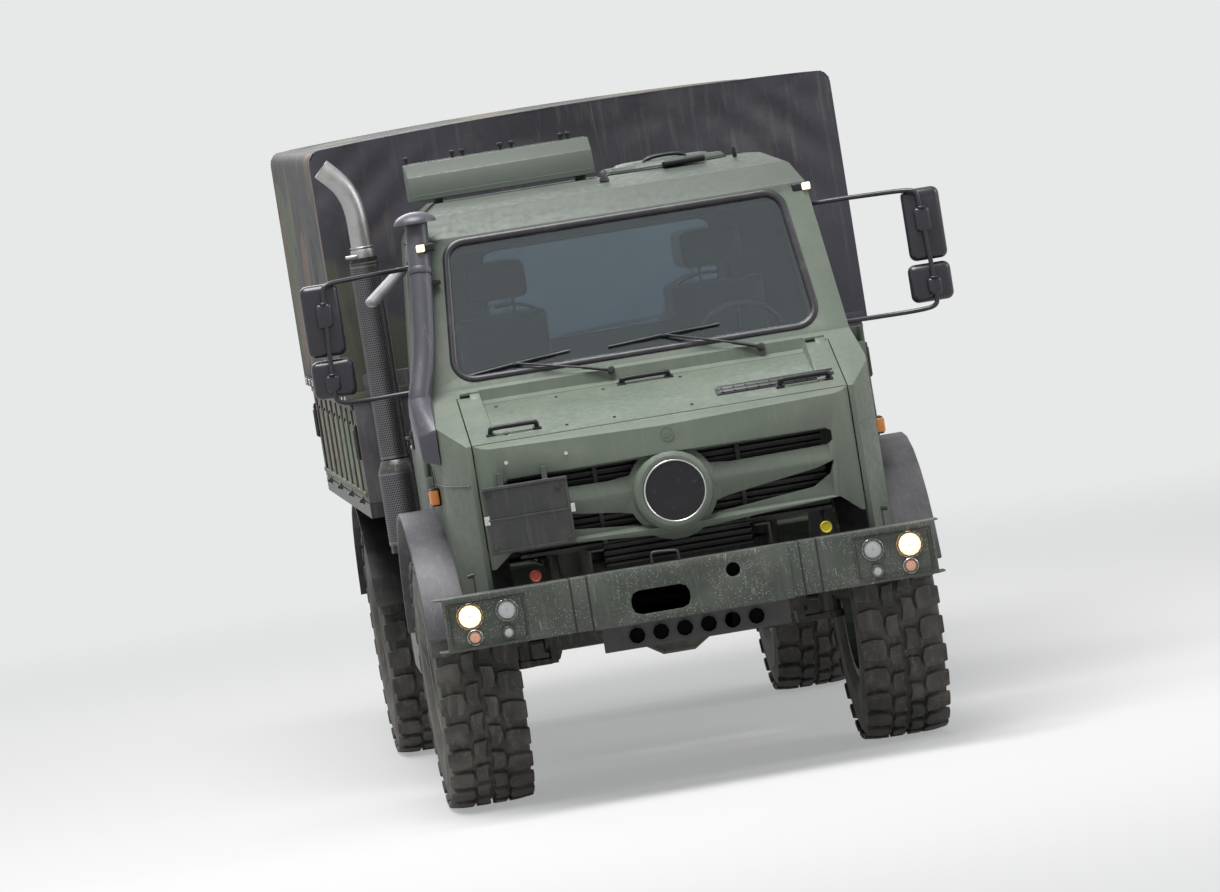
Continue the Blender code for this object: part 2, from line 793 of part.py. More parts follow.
def door_outline():
    """The door opening as (y, z), anticlockwise seen from the left, its foot cut by the arch."""
    radius = MUDGUARD_RADIUS + SILL_BAND
    rise = DOOR_BOTTOM - ARCH_CENTRE_Z
    start = math.degrees(math.asin(rise / radius))
    foot = arc((aft(0), ARCH_CENTRE_Z), radius, start, math.degrees(math.pi / 2), ARCH_STEPS // 2)
    return [
        (aft(DOOR_REAR_Y), DOOR_BOTTOM),
        (aft(DOOR_REAR_Y), DOOR_TOP - DOOR_TOP_CORNER),
        (aft(DOOR_REAR_Y - DOOR_TOP_CORNER), DOOR_TOP),
        (aft(DOOR_PILLAR_TOP_Y), DOOR_TOP),
        (aft(DOOR_FRONT_Y), COWL_Z),
        (aft(DOOR_FRONT_Y), ARCH_CENTRE_Z + radius),
    ] + list(reversed(foot))


def window_outline():
    """The door window as (y, z), anticlockwise seen from the left."""
    lean = (DOOR_PILLAR_TOP_Y - DOOR_FRONT_Y) / (DOOR_TOP - COWL_Z)
    front = DOOR_FRONT_Y + lean * (WINDOW_BOTTOM - COWL_Z) + WINDOW_MARGIN
    top = DOOR_TOP - WINDOW_MARGIN
    corners = [
        (aft(DOOR_REAR_Y - WINDOW_MARGIN), WINDOW_BOTTOM),
        (aft(DOOR_REAR_Y - WINDOW_MARGIN), top),
        (aft(front + lean * (top - WINDOW_BOTTOM)), top),
        (aft(front), WINDOW_BOTTOM),
    ]
    return rounded(corners, WINDOW_CORNER)


def screen_matrix():
    """Takes (across, up the slope, out of the face) to the windscreen's plane."""
    slope = Vector((0, SCREEN_TOP_Y - COWL_Y, SCREEN_TOP_Z - COWL_Z)).normalized()
    across = AXIS_OF["X"]
    normal = across.cross(slope)
    matrix = Matrix((across, slope, normal)).transposed().to_4x4()
    matrix.translation = Vector((0, aft(COWL_Y), COWL_Z))
    return matrix


def screen_outline():
    length = math.hypot(SCREEN_TOP_Y - COWL_Y, SCREEN_TOP_Z - COWL_Z)
    low, high = SCREEN_MARGIN, length - SCREEN_MARGIN / 2
    corners = [
        (SCREEN_BOTTOM_HALF, low),
        (SCREEN_TOP_HALF, high),
        (-SCREEN_TOP_HALF, high),
        (-SCREEN_BOTTOM_HALF, low),
    ]
    return rounded(corners, SCREEN_CORNER)


def screen_slab(name, outline, low, high):
    slab = prism(name, outline, "Z", low, high)
    slab.data.transform(screen_matrix())
    return slab


def rear_glass_outline():
    corners = [
        (REAR_GLASS_HALF, REAR_GLASS_BOTTOM),
        (REAR_GLASS_HALF, REAR_GLASS_TOP),
        (-REAR_GLASS_HALF, REAR_GLASS_TOP),
        (-REAR_GLASS_HALF, REAR_GLASS_BOTTOM),
    ]
    return rounded(corners, REAR_GLASS_CORNER)


def door_hinge_x():
    return CAB_HALF_WIDTH + HINGE_OUTSET


def door_hinge_y():
    return aft(DOOR_FRONT_Y) - HINGE_OUTSET


def hood_hinge():
    """The hood's hinge as (y, z): on its surface, just behind its rear edge."""
    share = (HOOD_REAR_Y - HOOD_FRONT_Y) / (COWL_Y - HOOD_FRONT_Y)
    surface = HOOD_FRONT_Z + share * (COWL_Z - HOOD_FRONT_Z)
    return aft(HOOD_REAR_Y), surface


def hood_pivot():
    """The hood's hinge line as (y, z), just above the shut line."""
    y, z = hood_hinge()
    return y + SHUT_GAP / 2, z + BARREL_LIFT + SHUT_GAP / 2


def hood_surface(y):
    """The height of the hood's surface at an offset aft of the front axle."""
    return HOOD_FRONT_Z + (y - HOOD_FRONT_Y) / (COWL_Y - HOOD_FRONT_Y) * (COWL_Z - HOOD_FRONT_Z)


def hood_trough():
    """What is sunk from the hood's middle: flush near its front, deepest at the wall under the windscreen."""
    half = HOOD_HALF_WIDTH - HOOD_SHOULDER_WIDTH
    first = HOOD_FRONT_Y + (HOOD_REAR_Y - HOOD_FRONT_Y) * HOOD_TROUGH_FRONT_SHARE
    last = HOOD_TROUGH_REAR_Y
    points = []
    for x in (-half, half):
        lean = math.copysign(HOOD_TROUGH_WALL_LEAN, x)
        points.append((x, aft(first), hood_surface(first)))
        points.append((x + lean, aft(first), hood_surface(first) + HOOD_TROUGH_DEPTH))
        points.append((x, aft(last), hood_surface(last) - HOOD_TROUGH_DEPTH))
        points.append((x + 2 * lean, aft(last), hood_surface(last) + HOOD_TROUGH_DEPTH))
    return hull("trough", points)


def column_direction():
    tilt = math.radians(STEERING_TILT)
    return Vector((0, math.cos(tilt), math.sin(tilt)))


def arch_outline():
    """The wheel arch as (y, z), with the mudguard's own corners moved out by the seat gap."""
    angles = guard_angles(MUDGUARD_RADIUS, MUDGUARD_FRONT_Z, MUDGUARD_REAR_Z)
    return arc((FRONT_AXLE_Y, ARCH_CENTRE_Z), MUDGUARD_RADIUS + SEAT_GAP, *angles, ARCH_STEPS)


def hinge_half(side, low, leaf):
    """A hinge barrel with a strap to the body ahead of it (leaf -1) or to the door behind it (leaf 1)."""
    x, y = door_hinge_x(), door_hinge_y()
    top = low + HINGE_LENGTH - PIN_GAP
    barrel = tube("barrel", (side * x, y, low), (side * x, y, top), HINGE_RADIUS, FEW_SIDES)
    clear = HINGE_OUTSET + SHUT_GAP + BITE
    strap = [
        (side * (x + HINGE_RADIUS / 2), y),
        (side * (x + HINGE_RADIUS / 2), y + leaf * (clear + HINGE_REACH)),
        (side * COWL_HALF_WIDTH, y + leaf * (clear + HINGE_REACH)),
        (side * COWL_HALF_WIDTH, y + leaf * clear),
        (side * (x - HINGE_OUTSET + PIN_GAP), y + leaf * clear),
        (side * (x - HINGE_OUTSET + PIN_GAP), y),
    ]
    return union(barrel, prism("strap", strap, "Z", low, top))


# Cab


def make_cab(paint, glass):
    shell = cab_solid(0)
    cut(shell, cab_solid(CAB_WALL))
    reach = CAB_HALF_WIDTH + OVERRUN
    side_low = COWL_HALF_WIDTH / 2
    for side in (-1, 1):
        ends = sorted((side * side_low, side * reach))
        cut(shell, prism("door_hole", door_outline(), "X", *ends))
    cut(shell, screen_slab("screen_hole", screen_outline(), -3 * CAB_WALL, CAB_WALL))
    rear = aft(CAB_REAR_Y)
    cut(shell, prism("rear_hole", rear_glass_outline(), "Y", rear - 2 * CAB_WALL, rear + OVERRUN))
    hinge_y, hinge_z = hood_hinge()
    mouth = box(
        "nose_hole",
        (-MASK_HALF_WIDTH - SHUT_GAP, aft(MASK_FACE_Y), MASK_OPENING_BOTTOM - OVERRUN),
        (MASK_HALF_WIDTH + SHUT_GAP, hinge_y + SHUT_GAP, hinge_z + CAB_WALL),
    )
    cut(shell, mouth)
    cut(shell, prism("arch_hole", arch_outline(), "X", -reach, reach))
    under = box(
        "under",
        (-FLOOR_HALF_WIDTH, hinge_y, CAB_BOTTOM - OVERRUN),
        (FLOOR_HALF_WIDTH, aft(CAB_REAR_Y) + OVERRUN, FLOOR_Z),
    )
    cut(shell, under)
    floor = box(
        "floor",
        (-FLOOR_HALF_WIDTH, aft(FIREWALL_Y), FLOOR_Z),
        (FLOOR_HALF_WIDTH, aft(CAB_REAR_Y) - CAB_WALL / 2, FLOOR_Z + FLOOR_THICKNESS),
    )
    firewall = box(
        "firewall",
        (-CAB_HALF_WIDTH + CAB_WALL / 2, aft(FIREWALL_Y), FLOOR_Z),
        (CAB_HALF_WIDTH - CAB_WALL / 2, aft(FIREWALL_Y) + FIREWALL_THICKNESS, hinge_z - 2 * HOOD_THICKNESS),
    )
    dash_front = aft(FIREWALL_Y) + FIREWALL_THICKNESS / 2
    dash = prism(
        "dash",
        [
            (dash_front, DASH_BOTTOM),
            (dash_front + DASH_DEPTH - CAB_WALL, DASH_BOTTOM),
            (dash_front + DASH_DEPTH, DASH_TOP - CAB_WALL),
            (dash_front + DASH_DEPTH - CAB_WALL, DASH_TOP),
            (dash_front + CAB_WALL, DASH_TOP),
            (dash_front, DASH_TOP - CAB_WALL),
        ],
        "X",
        -DASH_HALF_WIDTH,
        DASH_HALF_WIDTH,
    )
    along = column_direction()
    hub = Vector((STEERING_X, aft(STEERING_HUB_Y), STEERING_HUB_Z))
    foot = hub - along * DASH_DEPTH
    column = tube("column", foot, hub, COLUMN_RADIUS, FEW_SIDES)
    last = COWL_Y
    sunk = HOOD_TROUGH_DEPTH
    low_front, low_rear = hood_surface(HOOD_REAR_Y) - sunk, hood_surface(last) - sunk
    cowl_floor = prism(
        "cowl_floor",
        [
            (hinge_y + SHUT_GAP, low_front - FIREWALL_THICKNESS / 2),
            (aft(last), low_rear - FIREWALL_THICKNESS / 2),
            (aft(last), low_rear + BITE),
            (hinge_y + SHUT_GAP, low_front + BITE),
        ],
        "X",
        BITE - HOOD_HALF_WIDTH,
        HOOD_HALF_WIDTH - BITE,
    )
    union(shell, floor, firewall, dash, column, cowl_floor)
    cut(shell, hood_trough())
    for height in DOOR_HINGE_HEIGHTS:
        for side in (-1, 1):
            union(shell, hinge_half(side, height - HINGE_LENGTH, -1))
    hatch_hole = tube(
        "hatch_hole",
        (HATCH_X, aft(HATCH_Y), ROOF_TOP - 2 * CAB_WALL),
        (HATCH_X, aft(HATCH_Y), ROOF_TOP + OVERRUN),
        HATCH_RADIUS - HATCH_LIP,
        MANY_SIDES,
    )
    cut(shell, hatch_hole)
    for side in (-1, 1):
        ends = sorted((side * (RAIL_OUTER_X - RAIL_FLANGE), side * RAIL_OUTER_X))
        for y in CAB_MOUNT_YS:
            low = (ends[0], aft(y), RAIL_TOP + SEAT_GAP)
            high = (ends[1], aft(y) + RAIL_FLANGE, FLOOR_Z + BITE)
            union(shell, box("cab_mount", low, high))
    finished(shell, "cab_body", paint)
    make_glass(glass)
    return shell


def make_glass(glass):
    depth = CAB_WALL * GLASS_DEPTH_SHARE
    pane = inset(screen_outline(), SEAT_GAP)
    finished(screen_slab("windscreen", pane, -depth, GLASS_THICKNESS - depth), "windscreen", glass)
    rear = aft(CAB_REAR_Y) - depth
    pane = inset(rear_glass_outline(), SEAT_GAP)
    finished(prism("rear_window", pane, "Y", rear - GLASS_THICKNESS, rear), "rear_window", glass)


def make_doors(paint, glass):
    panel = cab_solid(0)
    cut(panel, cab_solid(CAB_WALL))
    reach = CAB_HALF_WIDTH + OVERRUN
    outline = inset(door_outline(), SHUT_GAP)
    common(panel, prism("door_form", outline, "X", COWL_HALF_WIDTH / 2, reach))
    cut(panel, prism("window_hole", window_outline(), "X", COWL_HALF_WIDTH / 2, reach))
    x, y = door_hinge_x(), door_hinge_y()
    for height in DOOR_HINGE_HEIGHTS:
        union(panel, hinge_half(1, height, 1))
    pivot = (x, y, DOOR_BOTTOM)
    finished(panel, "door_left", paint, pivot)
    pane = prism("pane", inset(window_outline(), SEAT_GAP), "X", 0, GLASS_THICKNESS)
    lean = (COWL_HALF_WIDTH - SCREEN_TOP_HALF_WIDTH) / (SCREEN_TOP_Z - COWL_Z)
    for vertex in pane.data.vertices:
        vertex.co.x += COWL_HALF_WIDTH - CAB_WALL / 2 - GLASS_THICKNESS / 2 - lean * (vertex.co.z - COWL_Z)
    finished(pane, "door_glass_left", glass, pivot)
    for part, name in ((panel, "door_right"), (pane, "door_glass_right")):
        finished(mirrored(part, name), name, part.data.materials[0], (-x, y, DOOR_BOTTOM))


def make_hood(paint, cab):
    hinge_y, hinge_z = hood_hinge()
    slope = Vector((COWL_Y - HOOD_FRONT_Y, COWL_Z - HOOD_FRONT_Z)).normalized()
    rise = slope.y / slope.x
    front = Vector((aft(HOOD_FRONT_Y) + SHUT_GAP, HOOD_FRONT_Z + SHUT_GAP * rise))
    swing = Vector((HOOD_THICKNESS * rise * 2, 0))
    down = Vector((0, -HOOD_THICKNESS / slope.x))
    deep = Vector((0, -HOOD_TROUGH_DEPTH))
    back = Vector((hinge_y, hinge_z))
    outline = [tuple(p) for p in (front, front + swing + down, back + down + deep, back)]
    half = HOOD_HALF_WIDTH
    hood = prism("hood", list(reversed(outline)), "X", -half, half)
    cut(hood, hood_trough())
    y, z = hood_pivot()
    rise = BARREL_REACH * slope.y / slope.x
    cowl, lid = (y + BARREL_REACH, hinge_z + rise), (y - BARREL_REACH, hinge_z - rise - BITE)
    places = (-HOOD_HINGE_X, HOOD_HINGE_X)
    hinge_pair("X", (y, z), cab, cowl, hood, lid, places)
    finished(hood, "hood", paint, (0, y, z))


def mask_front(x):
    """The Y of the mask's face at a distance from the middle."""
    return aft(MASK_FACE_Y + (MASK_SHOULDER_Y - MASK_FACE_Y) * abs(x) / MASK_SHOULDER_X)


def mask_openings():
    """The upper and lower wedge of the mask's left half, as (x, z), with arcs round the badge's boss."""
    width = MASK_SHOULDER_X - MASK_RECESS_MARGIN / 2
    recess = MASK_RECESS_TOP_Z - MASK_RECESS_BOTTOM_Z
    upper_arc = arc((0, BADGE_Z), OPENING_ARC_RADIUS, *UPPER_ARC_ANGLES, OPENING_ARC_POINTS)
    lower_arc = arc((0, BADGE_Z), OPENING_ARC_RADIUS, *LOWER_ARC_ANGLES, OPENING_ARC_POINTS)
    outer_shares = ((0.37, 0.745), (0.97, 0.760), (1.00, 0.820), (1.00, 0.960), (0.97, 1.000))
    lower_shares = ((0.30, 0.035), (0.85, 0.165), (0.96, 0.330), (0.99, 0.520), (0.88, 0.440), (0.33, 0.250))
    upper = upper_arc + [(u * width, MASK_RECESS_BOTTOM_Z + v * recess) for u, v in outer_shares]
    lower = lower_arc + [(u * width, MASK_RECESS_BOTTOM_Z + v * recess) for u, v in lower_shares]
    return [upper, lower]


def mask_recess():
    """What is sunk from the mask's face between its band and its lip, with the bar left standing in it."""
    ahead = aft(MASK_FACE_Y) - OVERRUN
    sunk = aft(MASK_RECESS_Y)
    crest = sunk - MASK_BAR_PROUD
    side = [
        (ahead, MASK_RECESS_BOTTOM_Z - MASK_BAR_PROUD),
        (sunk, MASK_RECESS_BOTTOM_Z),
        (sunk, MASK_BAR_BOTTOM_Z),
        (crest, MASK_BAR_Z - MASK_BAR_PROUD),
        (crest, MASK_BAR_Z),
        (sunk, MASK_BAR_TOP_Z),
        (sunk, MASK_RECESS_TOP_Z),
        (ahead, MASK_BAND_Z),
    ]
    half = MASK_SHOULDER_X - MASK_RECESS_MARGIN + MASK_RECESS_DRAFT
    pocket = prism("recess", side, "X", -half - MASK_RECESS_DRAFT, half + MASK_RECESS_DRAFT)
    plan = both_sides(
        [(half + MASK_RECESS_DRAFT, ahead - OVERRUN), (half - MASK_RECESS_DRAFT, sunk + OVERRUN)],
    )
    low, high = MASK_RECESS_BOTTOM_Z - 2 * MASK_BAR_PROUD, MASK_BAND_Z + OVERRUN
    return common(pocket, prism("recess_plan", plan, "Z", low, high))


def mask_boss():
    """The round boss that carries the badge, with a hollow flank and a shallow dish in its face."""
    face = aft(MASK_FACE_Y) - BADGE_PROUD
    depth = aft(MASK_RECESS_Y) - face
    back = -MASK_WALL / 4
    edge = (BADGE_RADIUS + BADGE_BOSS_RADIUS) / 2
    profile = [
        (0, back),
        (BADGE_FILLET_RADIUS, back),
        (BADGE_FILLET_RADIUS, BITE),
        (BADGE_BOSS_RADIUS + OVERRUN / 2, depth / 3),
        (BADGE_BOSS_RADIUS, depth - BADGE_DISH),
        (edge, depth),
        (BADGE_RADIUS, depth),
        (BADGE_RADIUS, depth - BADGE_DISH),
        (0, depth - BADGE_DISH),
    ]
    centre = (0, aft(MASK_RECESS_Y), BADGE_Z)
    angles = [angle + math.pi / MANY_SIDES for angle in even_angles(MANY_SIDES)]
    return turned("boss", profile, centre, (0, -1, 0), angles, closed=False)


def make_mask(paint, dark):
    back = aft(MASK_BACK_Y)
    half = [
        (MASK_HALF_WIDTH, back + OVERRUN),
        (MASK_HALF_WIDTH, aft(MASK_EDGE_Y)),
        (MASK_SHOULDER_X + MASK_SHOULDER_INSET / 2, aft(MASK_SHOULDER_Y + MASK_SHOULDER_INSET / 4)),
        (MASK_SHOULDER_X, aft(MASK_SHOULDER_Y)),
        (0, aft(MASK_FACE_Y)),
    ]
    plan = both_sides(half)
    side = [
        (back, MASK_BOTTOM),
        (back, MASK_LEDGE_Z),
        (aft(HOOD_FRONT_Y), MASK_LEDGE_Z),
        (aft(HOOD_FRONT_Y), HOOD_FRONT_Z),
        (mask_front(MASK_SHOULDER_X), MASK_CREASE_Z + MASK_WALL / 2),
        (aft(MASK_FACE_Y), MASK_CREASE_Z),
        (aft(MASK_FACE_Y), MASK_BAND_Z),
        (aft(MASK_FACE_Y), MASK_RECESS_BOTTOM_Z),
        (mask_front(MASK_SHOULDER_X), MASK_BOTTOM),
    ]
    reach = MASK_HALF_WIDTH + OVERRUN
    mask = prism("mask_form", plan, "Z", MASK_BOTTOM - OVERRUN, HOOD_FRONT_Z + OVERRUN)
    common(mask, prism("mask_side", side, "X", -reach, reach))
    hollow = [
        (back + OVERRUN, MASK_BOTTOM - OVERRUN),
        (back + OVERRUN, MASK_LEDGE_Z - MASK_WALL),
        (aft(MASK_RECESS_Y) + MASK_WALL / 2, MASK_LEDGE_Z - MASK_WALL),
        (aft(MASK_RECESS_Y) + MASK_WALL / 2, MASK_BOTTOM - OVERRUN),
    ]
    inner = MASK_SHOULDER_X
    cut(mask, prism("mask_hollow", hollow, "X", -inner, inner))
    front, rear = aft(MASK_FACE_Y) - OVERRUN, back + OVERRUN
    foot_shares = ((0.98, 0), (0.93, 0.45), (0.87, 1), (0.50, 0.80))
    rise = MASK_LIP_OUTER_Z - MASK_BOTTOM
    foot = [(u * MASK_HALF_WIDTH, MASK_BOTTOM + v * rise) for u, v in foot_shares]
    foot += [(MASK_RECESS_MARGIN, MASK_LIP_MIDDLE_Z)]
    below = [(reach, MASK_BOTTOM - 2 * OVERRUN), (reach, MASK_BOTTOM), *foot]
    right = [(-x, z) for x, z in reversed(below)]
    cut(mask, prism("foot", below + right, "Y", front - OVERRUN, rear + OVERRUN))
    cut(mask, mask_recess())
    union(mask, mask_boss())
    for slot in mask_openings():
        cut(mask, prism("slot", slot, "Y", front, rear))
        cut(mask, prism("slot", [(-x, z) for x, z in slot], "Y", front, rear))
    tab = MASK_HALF_WIDTH + SHUT_GAP - SEAT_GAP
    for z in (MASK_BOTTOM + MASK_TAB, MASK_LEDGE_Z - 2 * MASK_TAB):
        for side in (-1, 1):
            ends = sorted((side * (MASK_HALF_WIDTH - MASK_TAB / 2), side * tab))
            union(mask, box("tab", (ends[0], back - MASK_TAB / 2, z), (ends[1], back - BITE, z + MASK_TAB)))
    finished(mask, "front_mask", paint)
    make_plate(dark)


def make_plate(dark):
    """The folding cover ahead of the mask's right half, hung on two tabs from the mask's band."""
    left, right = PLATE_X - PLATE_WIDTH / 2, PLATE_X + PLATE_WIDTH / 2
    low, high = PLATE_Z - PLATE_HEIGHT / 2, PLATE_Z + PLATE_HEIGHT / 2
    face = aft(PLATE_Y)
    plate = box("plate", (left, face, low), (right, face + PLATE_THICKNESS, high))
    rim = box(
        "rim",
        (left, face - PLATE_RIM, high - PLATE_RIM),
        (right, face + PLATE_THICKNESS, high + PLATE_RIM),
    )
    union(plate, rim)
    for share in PLATE_TAB_SHARES:
        x = left + share * PLATE_WIDTH
        ends = (x, x + PLATE_TAB_WIDTH)
        seat = [(ends[1], mask_front(ends[1]) - SEAT_GAP), (ends[0], mask_front(ends[0]) - SEAT_GAP)]
        outline = [(ends[0], face + BITE), (ends[1], face + BITE), *seat]
        union(plate, prism("tab", outline, "Z", high - BITE, MASK_BAND_Z + PLATE_TAB_WIDTH))
    finished(plate, "folding_plate", dark)


# Wheels


def wheel_angles(phase_share=0.0):
    """Angles of the tyre's blocks and gaps, shared by tyre and rim so that they seat."""
    pitch = 2 * math.pi / TREAD_BLOCKS
    angles = []
    for i in range(TREAD_BLOCKS):
        angles += [pitch * (i + phase_share), pitch * (i + phase_share + LUG_ARC_SHARE)]
    return angles


def make_tyre(name, rubber, side, axle_y):
    """A tyre with three rows of blocks raised from its tread band."""
    band = TYRE_RADIUS - LUG_HEIGHT
    groove_low = TREAD_GROOVE_X - TREAD_GROOVE_WIDTH / 2
    groove_high = TREAD_GROOVE_X + TREAD_GROOVE_WIDTH / 2
    shoulder_drop = LUG_HEIGHT / 3
    # Each row: across the tyre, radius, share of a pitch that it is turned on by
    rows = [
        (SIDEWALL_BEAD_X, BEAD_RADIUS, 0),
        (TYRE_WIDTH / 2, SIDEWALL_RADIUS, 0),
        (TREAD_EDGE_X, band - shoulder_drop, 0),
        (groove_high, band, 0),
        (groove_low, band, 0.5),
        (-groove_low, band, 0.5),
        (-groove_high, band, 0),
        (-TREAD_EDGE_X, band - shoulder_drop, 0),
        (-TYRE_WIDTH / 2, SIDEWALL_RADIUS, 0),
        (-SIDEWALL_BEAD_X, BEAD_RADIUS, 0),
    ]
    bm = bmesh.new()
    rings = []
    for across, radius, phase in rows:
        ring = []
        for angle in wheel_angles(phase):
            ring.append(bm.verts.new((across, radius * math.cos(angle), radius * math.sin(angle))))
        rings.append(ring)
    block_faces = []
    count = len(rings[0])
    for k, first in enumerate(rings):
        second = rings[(k + 1) % len(rings)]
        for i in range(count):
            j = (i + 1) % count
            face = bm.faces.new((first[i], first[j], second[j], second[i]))
            if i % 2 == 0 and k in (2, 4, 6):
                block_faces.append(face)
    bmesh.ops.recalc_face_normals(bm, faces=bm.faces)
    raised = bmesh.ops.extrude_discrete_faces(bm, faces=block_faces)["faces"]
    for face in raised:
        for vertex in face.verts:
            radius = math.hypot(vertex.co.y, vertex.co.z)
            scale = (radius + LUG_HEIGHT) / radius
            vertex.co.y *= scale
            vertex.co.z *= scale
    tyre = from_bmesh(name, bm)
    tyre.data.transform(Matrix.Translation((side * WHEEL_X, axle_y, TYRE_RADIUS)))
    finished(tyre, name, rubber, (side * WHEEL_X, axle_y, TYRE_RADIUS))


def make_rim(name, paint, side, axle_y):
    seat = BEAD_RADIUS - SEAT_GAP
    inner = seat - RIM_WALL
    lip = RIM_HALF_WIDTH + RIM_FLANGE_WIDTH
    bead = SIDEWALL_BEAD_X + SEAT_GAP
    profile = [
        (0, HUB_CAP_X),
        (HUB_CAP_RADIUS, HUB_CAP_X),
        (HUB_BOSS_RADIUS, HUB_BOSS_X),
        (inner, DISC_X + DISC_THICKNESS),
        (inner, lip),
        (RIM_FLANGE_RADIUS, lip),
        (seat, bead),
        (seat, -bead),
        (RIM_FLANGE_RADIUS, -lip),
        (inner, -lip),
        (inner, DISC_X),
        (0, DISC_X),
    ]
    rim = turned(name, profile, (0, 0, 0), (1, 0, 0), wheel_angles(), closed=False)
    if side < 0:
        rim.data.transform(Matrix.Scale(-1, 4, (1, 0, 0)))
        rim.data.flip_normals()
    centre = (side * WHEEL_X, axle_y, TYRE_RADIUS)
    rim.data.transform(Matrix.Translation(centre))
    finished(rim, name, paint, centre)


# Axles and steering


def axle_beam(name, axle_y, half_length):
    """The axle tube with the differential's bulge, as one turned piece."""
    waist = (DIFF_RADIUS + AXLE_TUBE_RADIUS) / 2
    right = [
        (0, -half_length),
        (AXLE_TUBE_RADIUS, -half_length),
        (AXLE_TUBE_RADIUS, -2 * DIFF_HALF_WIDTH),
        (waist, -DIFF_HALF_WIDTH),
        (DIFF_RADIUS, -DIFF_HALF_WIDTH / 2),
    ]
    profile = right + [(radius, -x) for radius, x in reversed(right)]
    return turned(name, profile, (0, axle_y, AXLE_Z), (1, 0, 0), even_angles(SOME_SIDES), closed=False)


def add_spring_seats(beam, axle_y):
    """Spring seats on the axle with a coil up to each rail's bracket."""
    top = RAIL_TOP - SEAT_GAP
    for side in (-1, 1):
        x = side * SPRING_X
        low = AXLE_Z + AXLE_TUBE_RADIUS / 2
        seat = tube(
            "seat",
            (x, axle_y, low),
            (x, axle_y, AXLE_Z + AXLE_TUBE_RADIUS + SPRING_SEAT_THICKNESS),
            SPRING_RADIUS,
            FEW_SIDES,
        )
        union(beam, seat)
        post = tube(
            "damper",
            (x, axle_y, low + BITE),
            (x, axle_y, top - SPRING_SEAT_THICKNESS),
            SPRING_RADIUS / 3,
            FEW_SIDES,
        )
        union(beam, post)
    return beam


def make_front_axle(steel):
    half = YOKE_ROOT_X + OVERRUN
    beam = axle_beam("front_axle", FRONT_AXLE_Y, half)
    for side in (-1, 1):
        for level in (-1, 1):
            near = AXLE_Z + level * (KNUCKLE_HALF_HEIGHT + PIN_GAP)
            far = near + level * YOKE_THICKNESS
            low, high = min(near, far), max(near, far)
            plate = tube(
                "yoke",
                (side * KINGPIN_X, FRONT_AXLE_Y, low),
                (side * KINGPIN_X, FRONT_AXLE_Y, high),
                YOKE_RADIUS,
                SOME_SIDES,
            )
            x_low, x_high = sorted((side * (YOKE_ROOT_X - YOKE_THICKNESS), side * KINGPIN_X))
            arm = box(
                "yoke_arm",
                (x_low, FRONT_AXLE_Y - YOKE_RADIUS + 2 * BITE, low + BITE),
                (x_high, FRONT_AXLE_Y + YOKE_RADIUS - 2 * BITE, high - BITE),
            )
            union(arm, plate)
            union(beam, arm)
        x_low, x_high = sorted((side * (YOKE_ROOT_X - YOKE_THICKNESS - BITE), side * YOKE_ROOT_X))
        reach = KNUCKLE_HALF_HEIGHT + YOKE_THICKNESS / 2
        end = box(
            "yoke_back",
            (x_low, FRONT_AXLE_Y - YOKE_RADIUS, AXLE_Z - reach),
            (x_high, FRONT_AXLE_Y + YOKE_RADIUS, AXLE_Z + reach),
        )
        union(beam, end)
    add_spring_seats(beam, FRONT_AXLE_Y)
    joint_y = aft(GEARBOX_REAR - ENGINE_REAR)
    start = (0, FRONT_AXLE_Y + DIFF_RADIUS / 2, AXLE_Z + DIFF_RADIUS * TORQUE_TUBE_RISE_SHARE)
    union(
        beam,
        tube(
            "torque_tube",
            start,
            (0, joint_y, GEARBOX_BOTTOM - TORQUE_TUBE_RADIUS - OVERRUN),
            TORQUE_TUBE_RADIUS,
            FEW_SIDES,
        ),
    )
    finished(beam, "front_axle", steel)


def make_knuckle(name, steel, side):
    """The swivelling hub carrier: kingpin barrel, portal case inside the rim and steering arm."""
    x = side * KINGPIN_X
    barrel = tube(
        name,
        (x, FRONT_AXLE_Y, AXLE_Z - KNUCKLE_HALF_HEIGHT),
        (x, FRONT_AXLE_Y, AXLE_Z + KNUCKLE_HALF_HEIGHT),
        KINGPIN_RADIUS,
        SOME_SIDES,
    )
    hub_end = side * (WHEEL_X + DISC_X - SEAT_GAP)
    case_end = side * (WHEEL_X + DISC_X - OVERRUN)
    case_start = side * (WHEEL_X + DISC_X - OVERRUN - PORTAL_WIDTH)
    union(barrel, portal_case(case_start, case_end, FRONT_AXLE_Y))
    union(
        barrel,
        tube(
            "stub",
            (x, FRONT_AXLE_Y, AXLE_Z),
            ((case_start + case_end) / 2, FRONT_AXLE_Y, AXLE_Z),
            KINGPIN_RADIUS + BITE,
            FEW_SIDES,
        ),
    )
    union(
        barrel,
        tube(
            "hub",
            ((case_start + case_end) / 2, FRONT_AXLE_Y, TYRE_RADIUS),
            (hub_end, FRONT_AXLE_Y, TYRE_RADIUS),
            HUB_CAP_RADIUS,
            SOME_SIDES,
        ),
    )
    half = STEER_ARM_WIDTH / 2
    arm = box(
        "arm",
        (x - half, FRONT_AXLE_Y, STEER_ARM_Z),
        (x + half, FRONT_AXLE_Y + STEER_ARM_LENGTH, STEER_ARM_Z + STEER_ARM_THICKNESS),
    )
    eye = (x, FRONT_AXLE_Y + STEER_ARM_LENGTH, STEER_ARM_Z)
    union(
        arm,
        tube("eye", eye, (x, eye[1], STEER_ARM_Z + STEER_ARM_THICKNESS), TIE_ROD_EYE_RADIUS, SOME_SIDES),
    )
    union(barrel, arm)
    finished(barrel, name, steel, (x, FRONT_AXLE_Y, AXLE_Z))


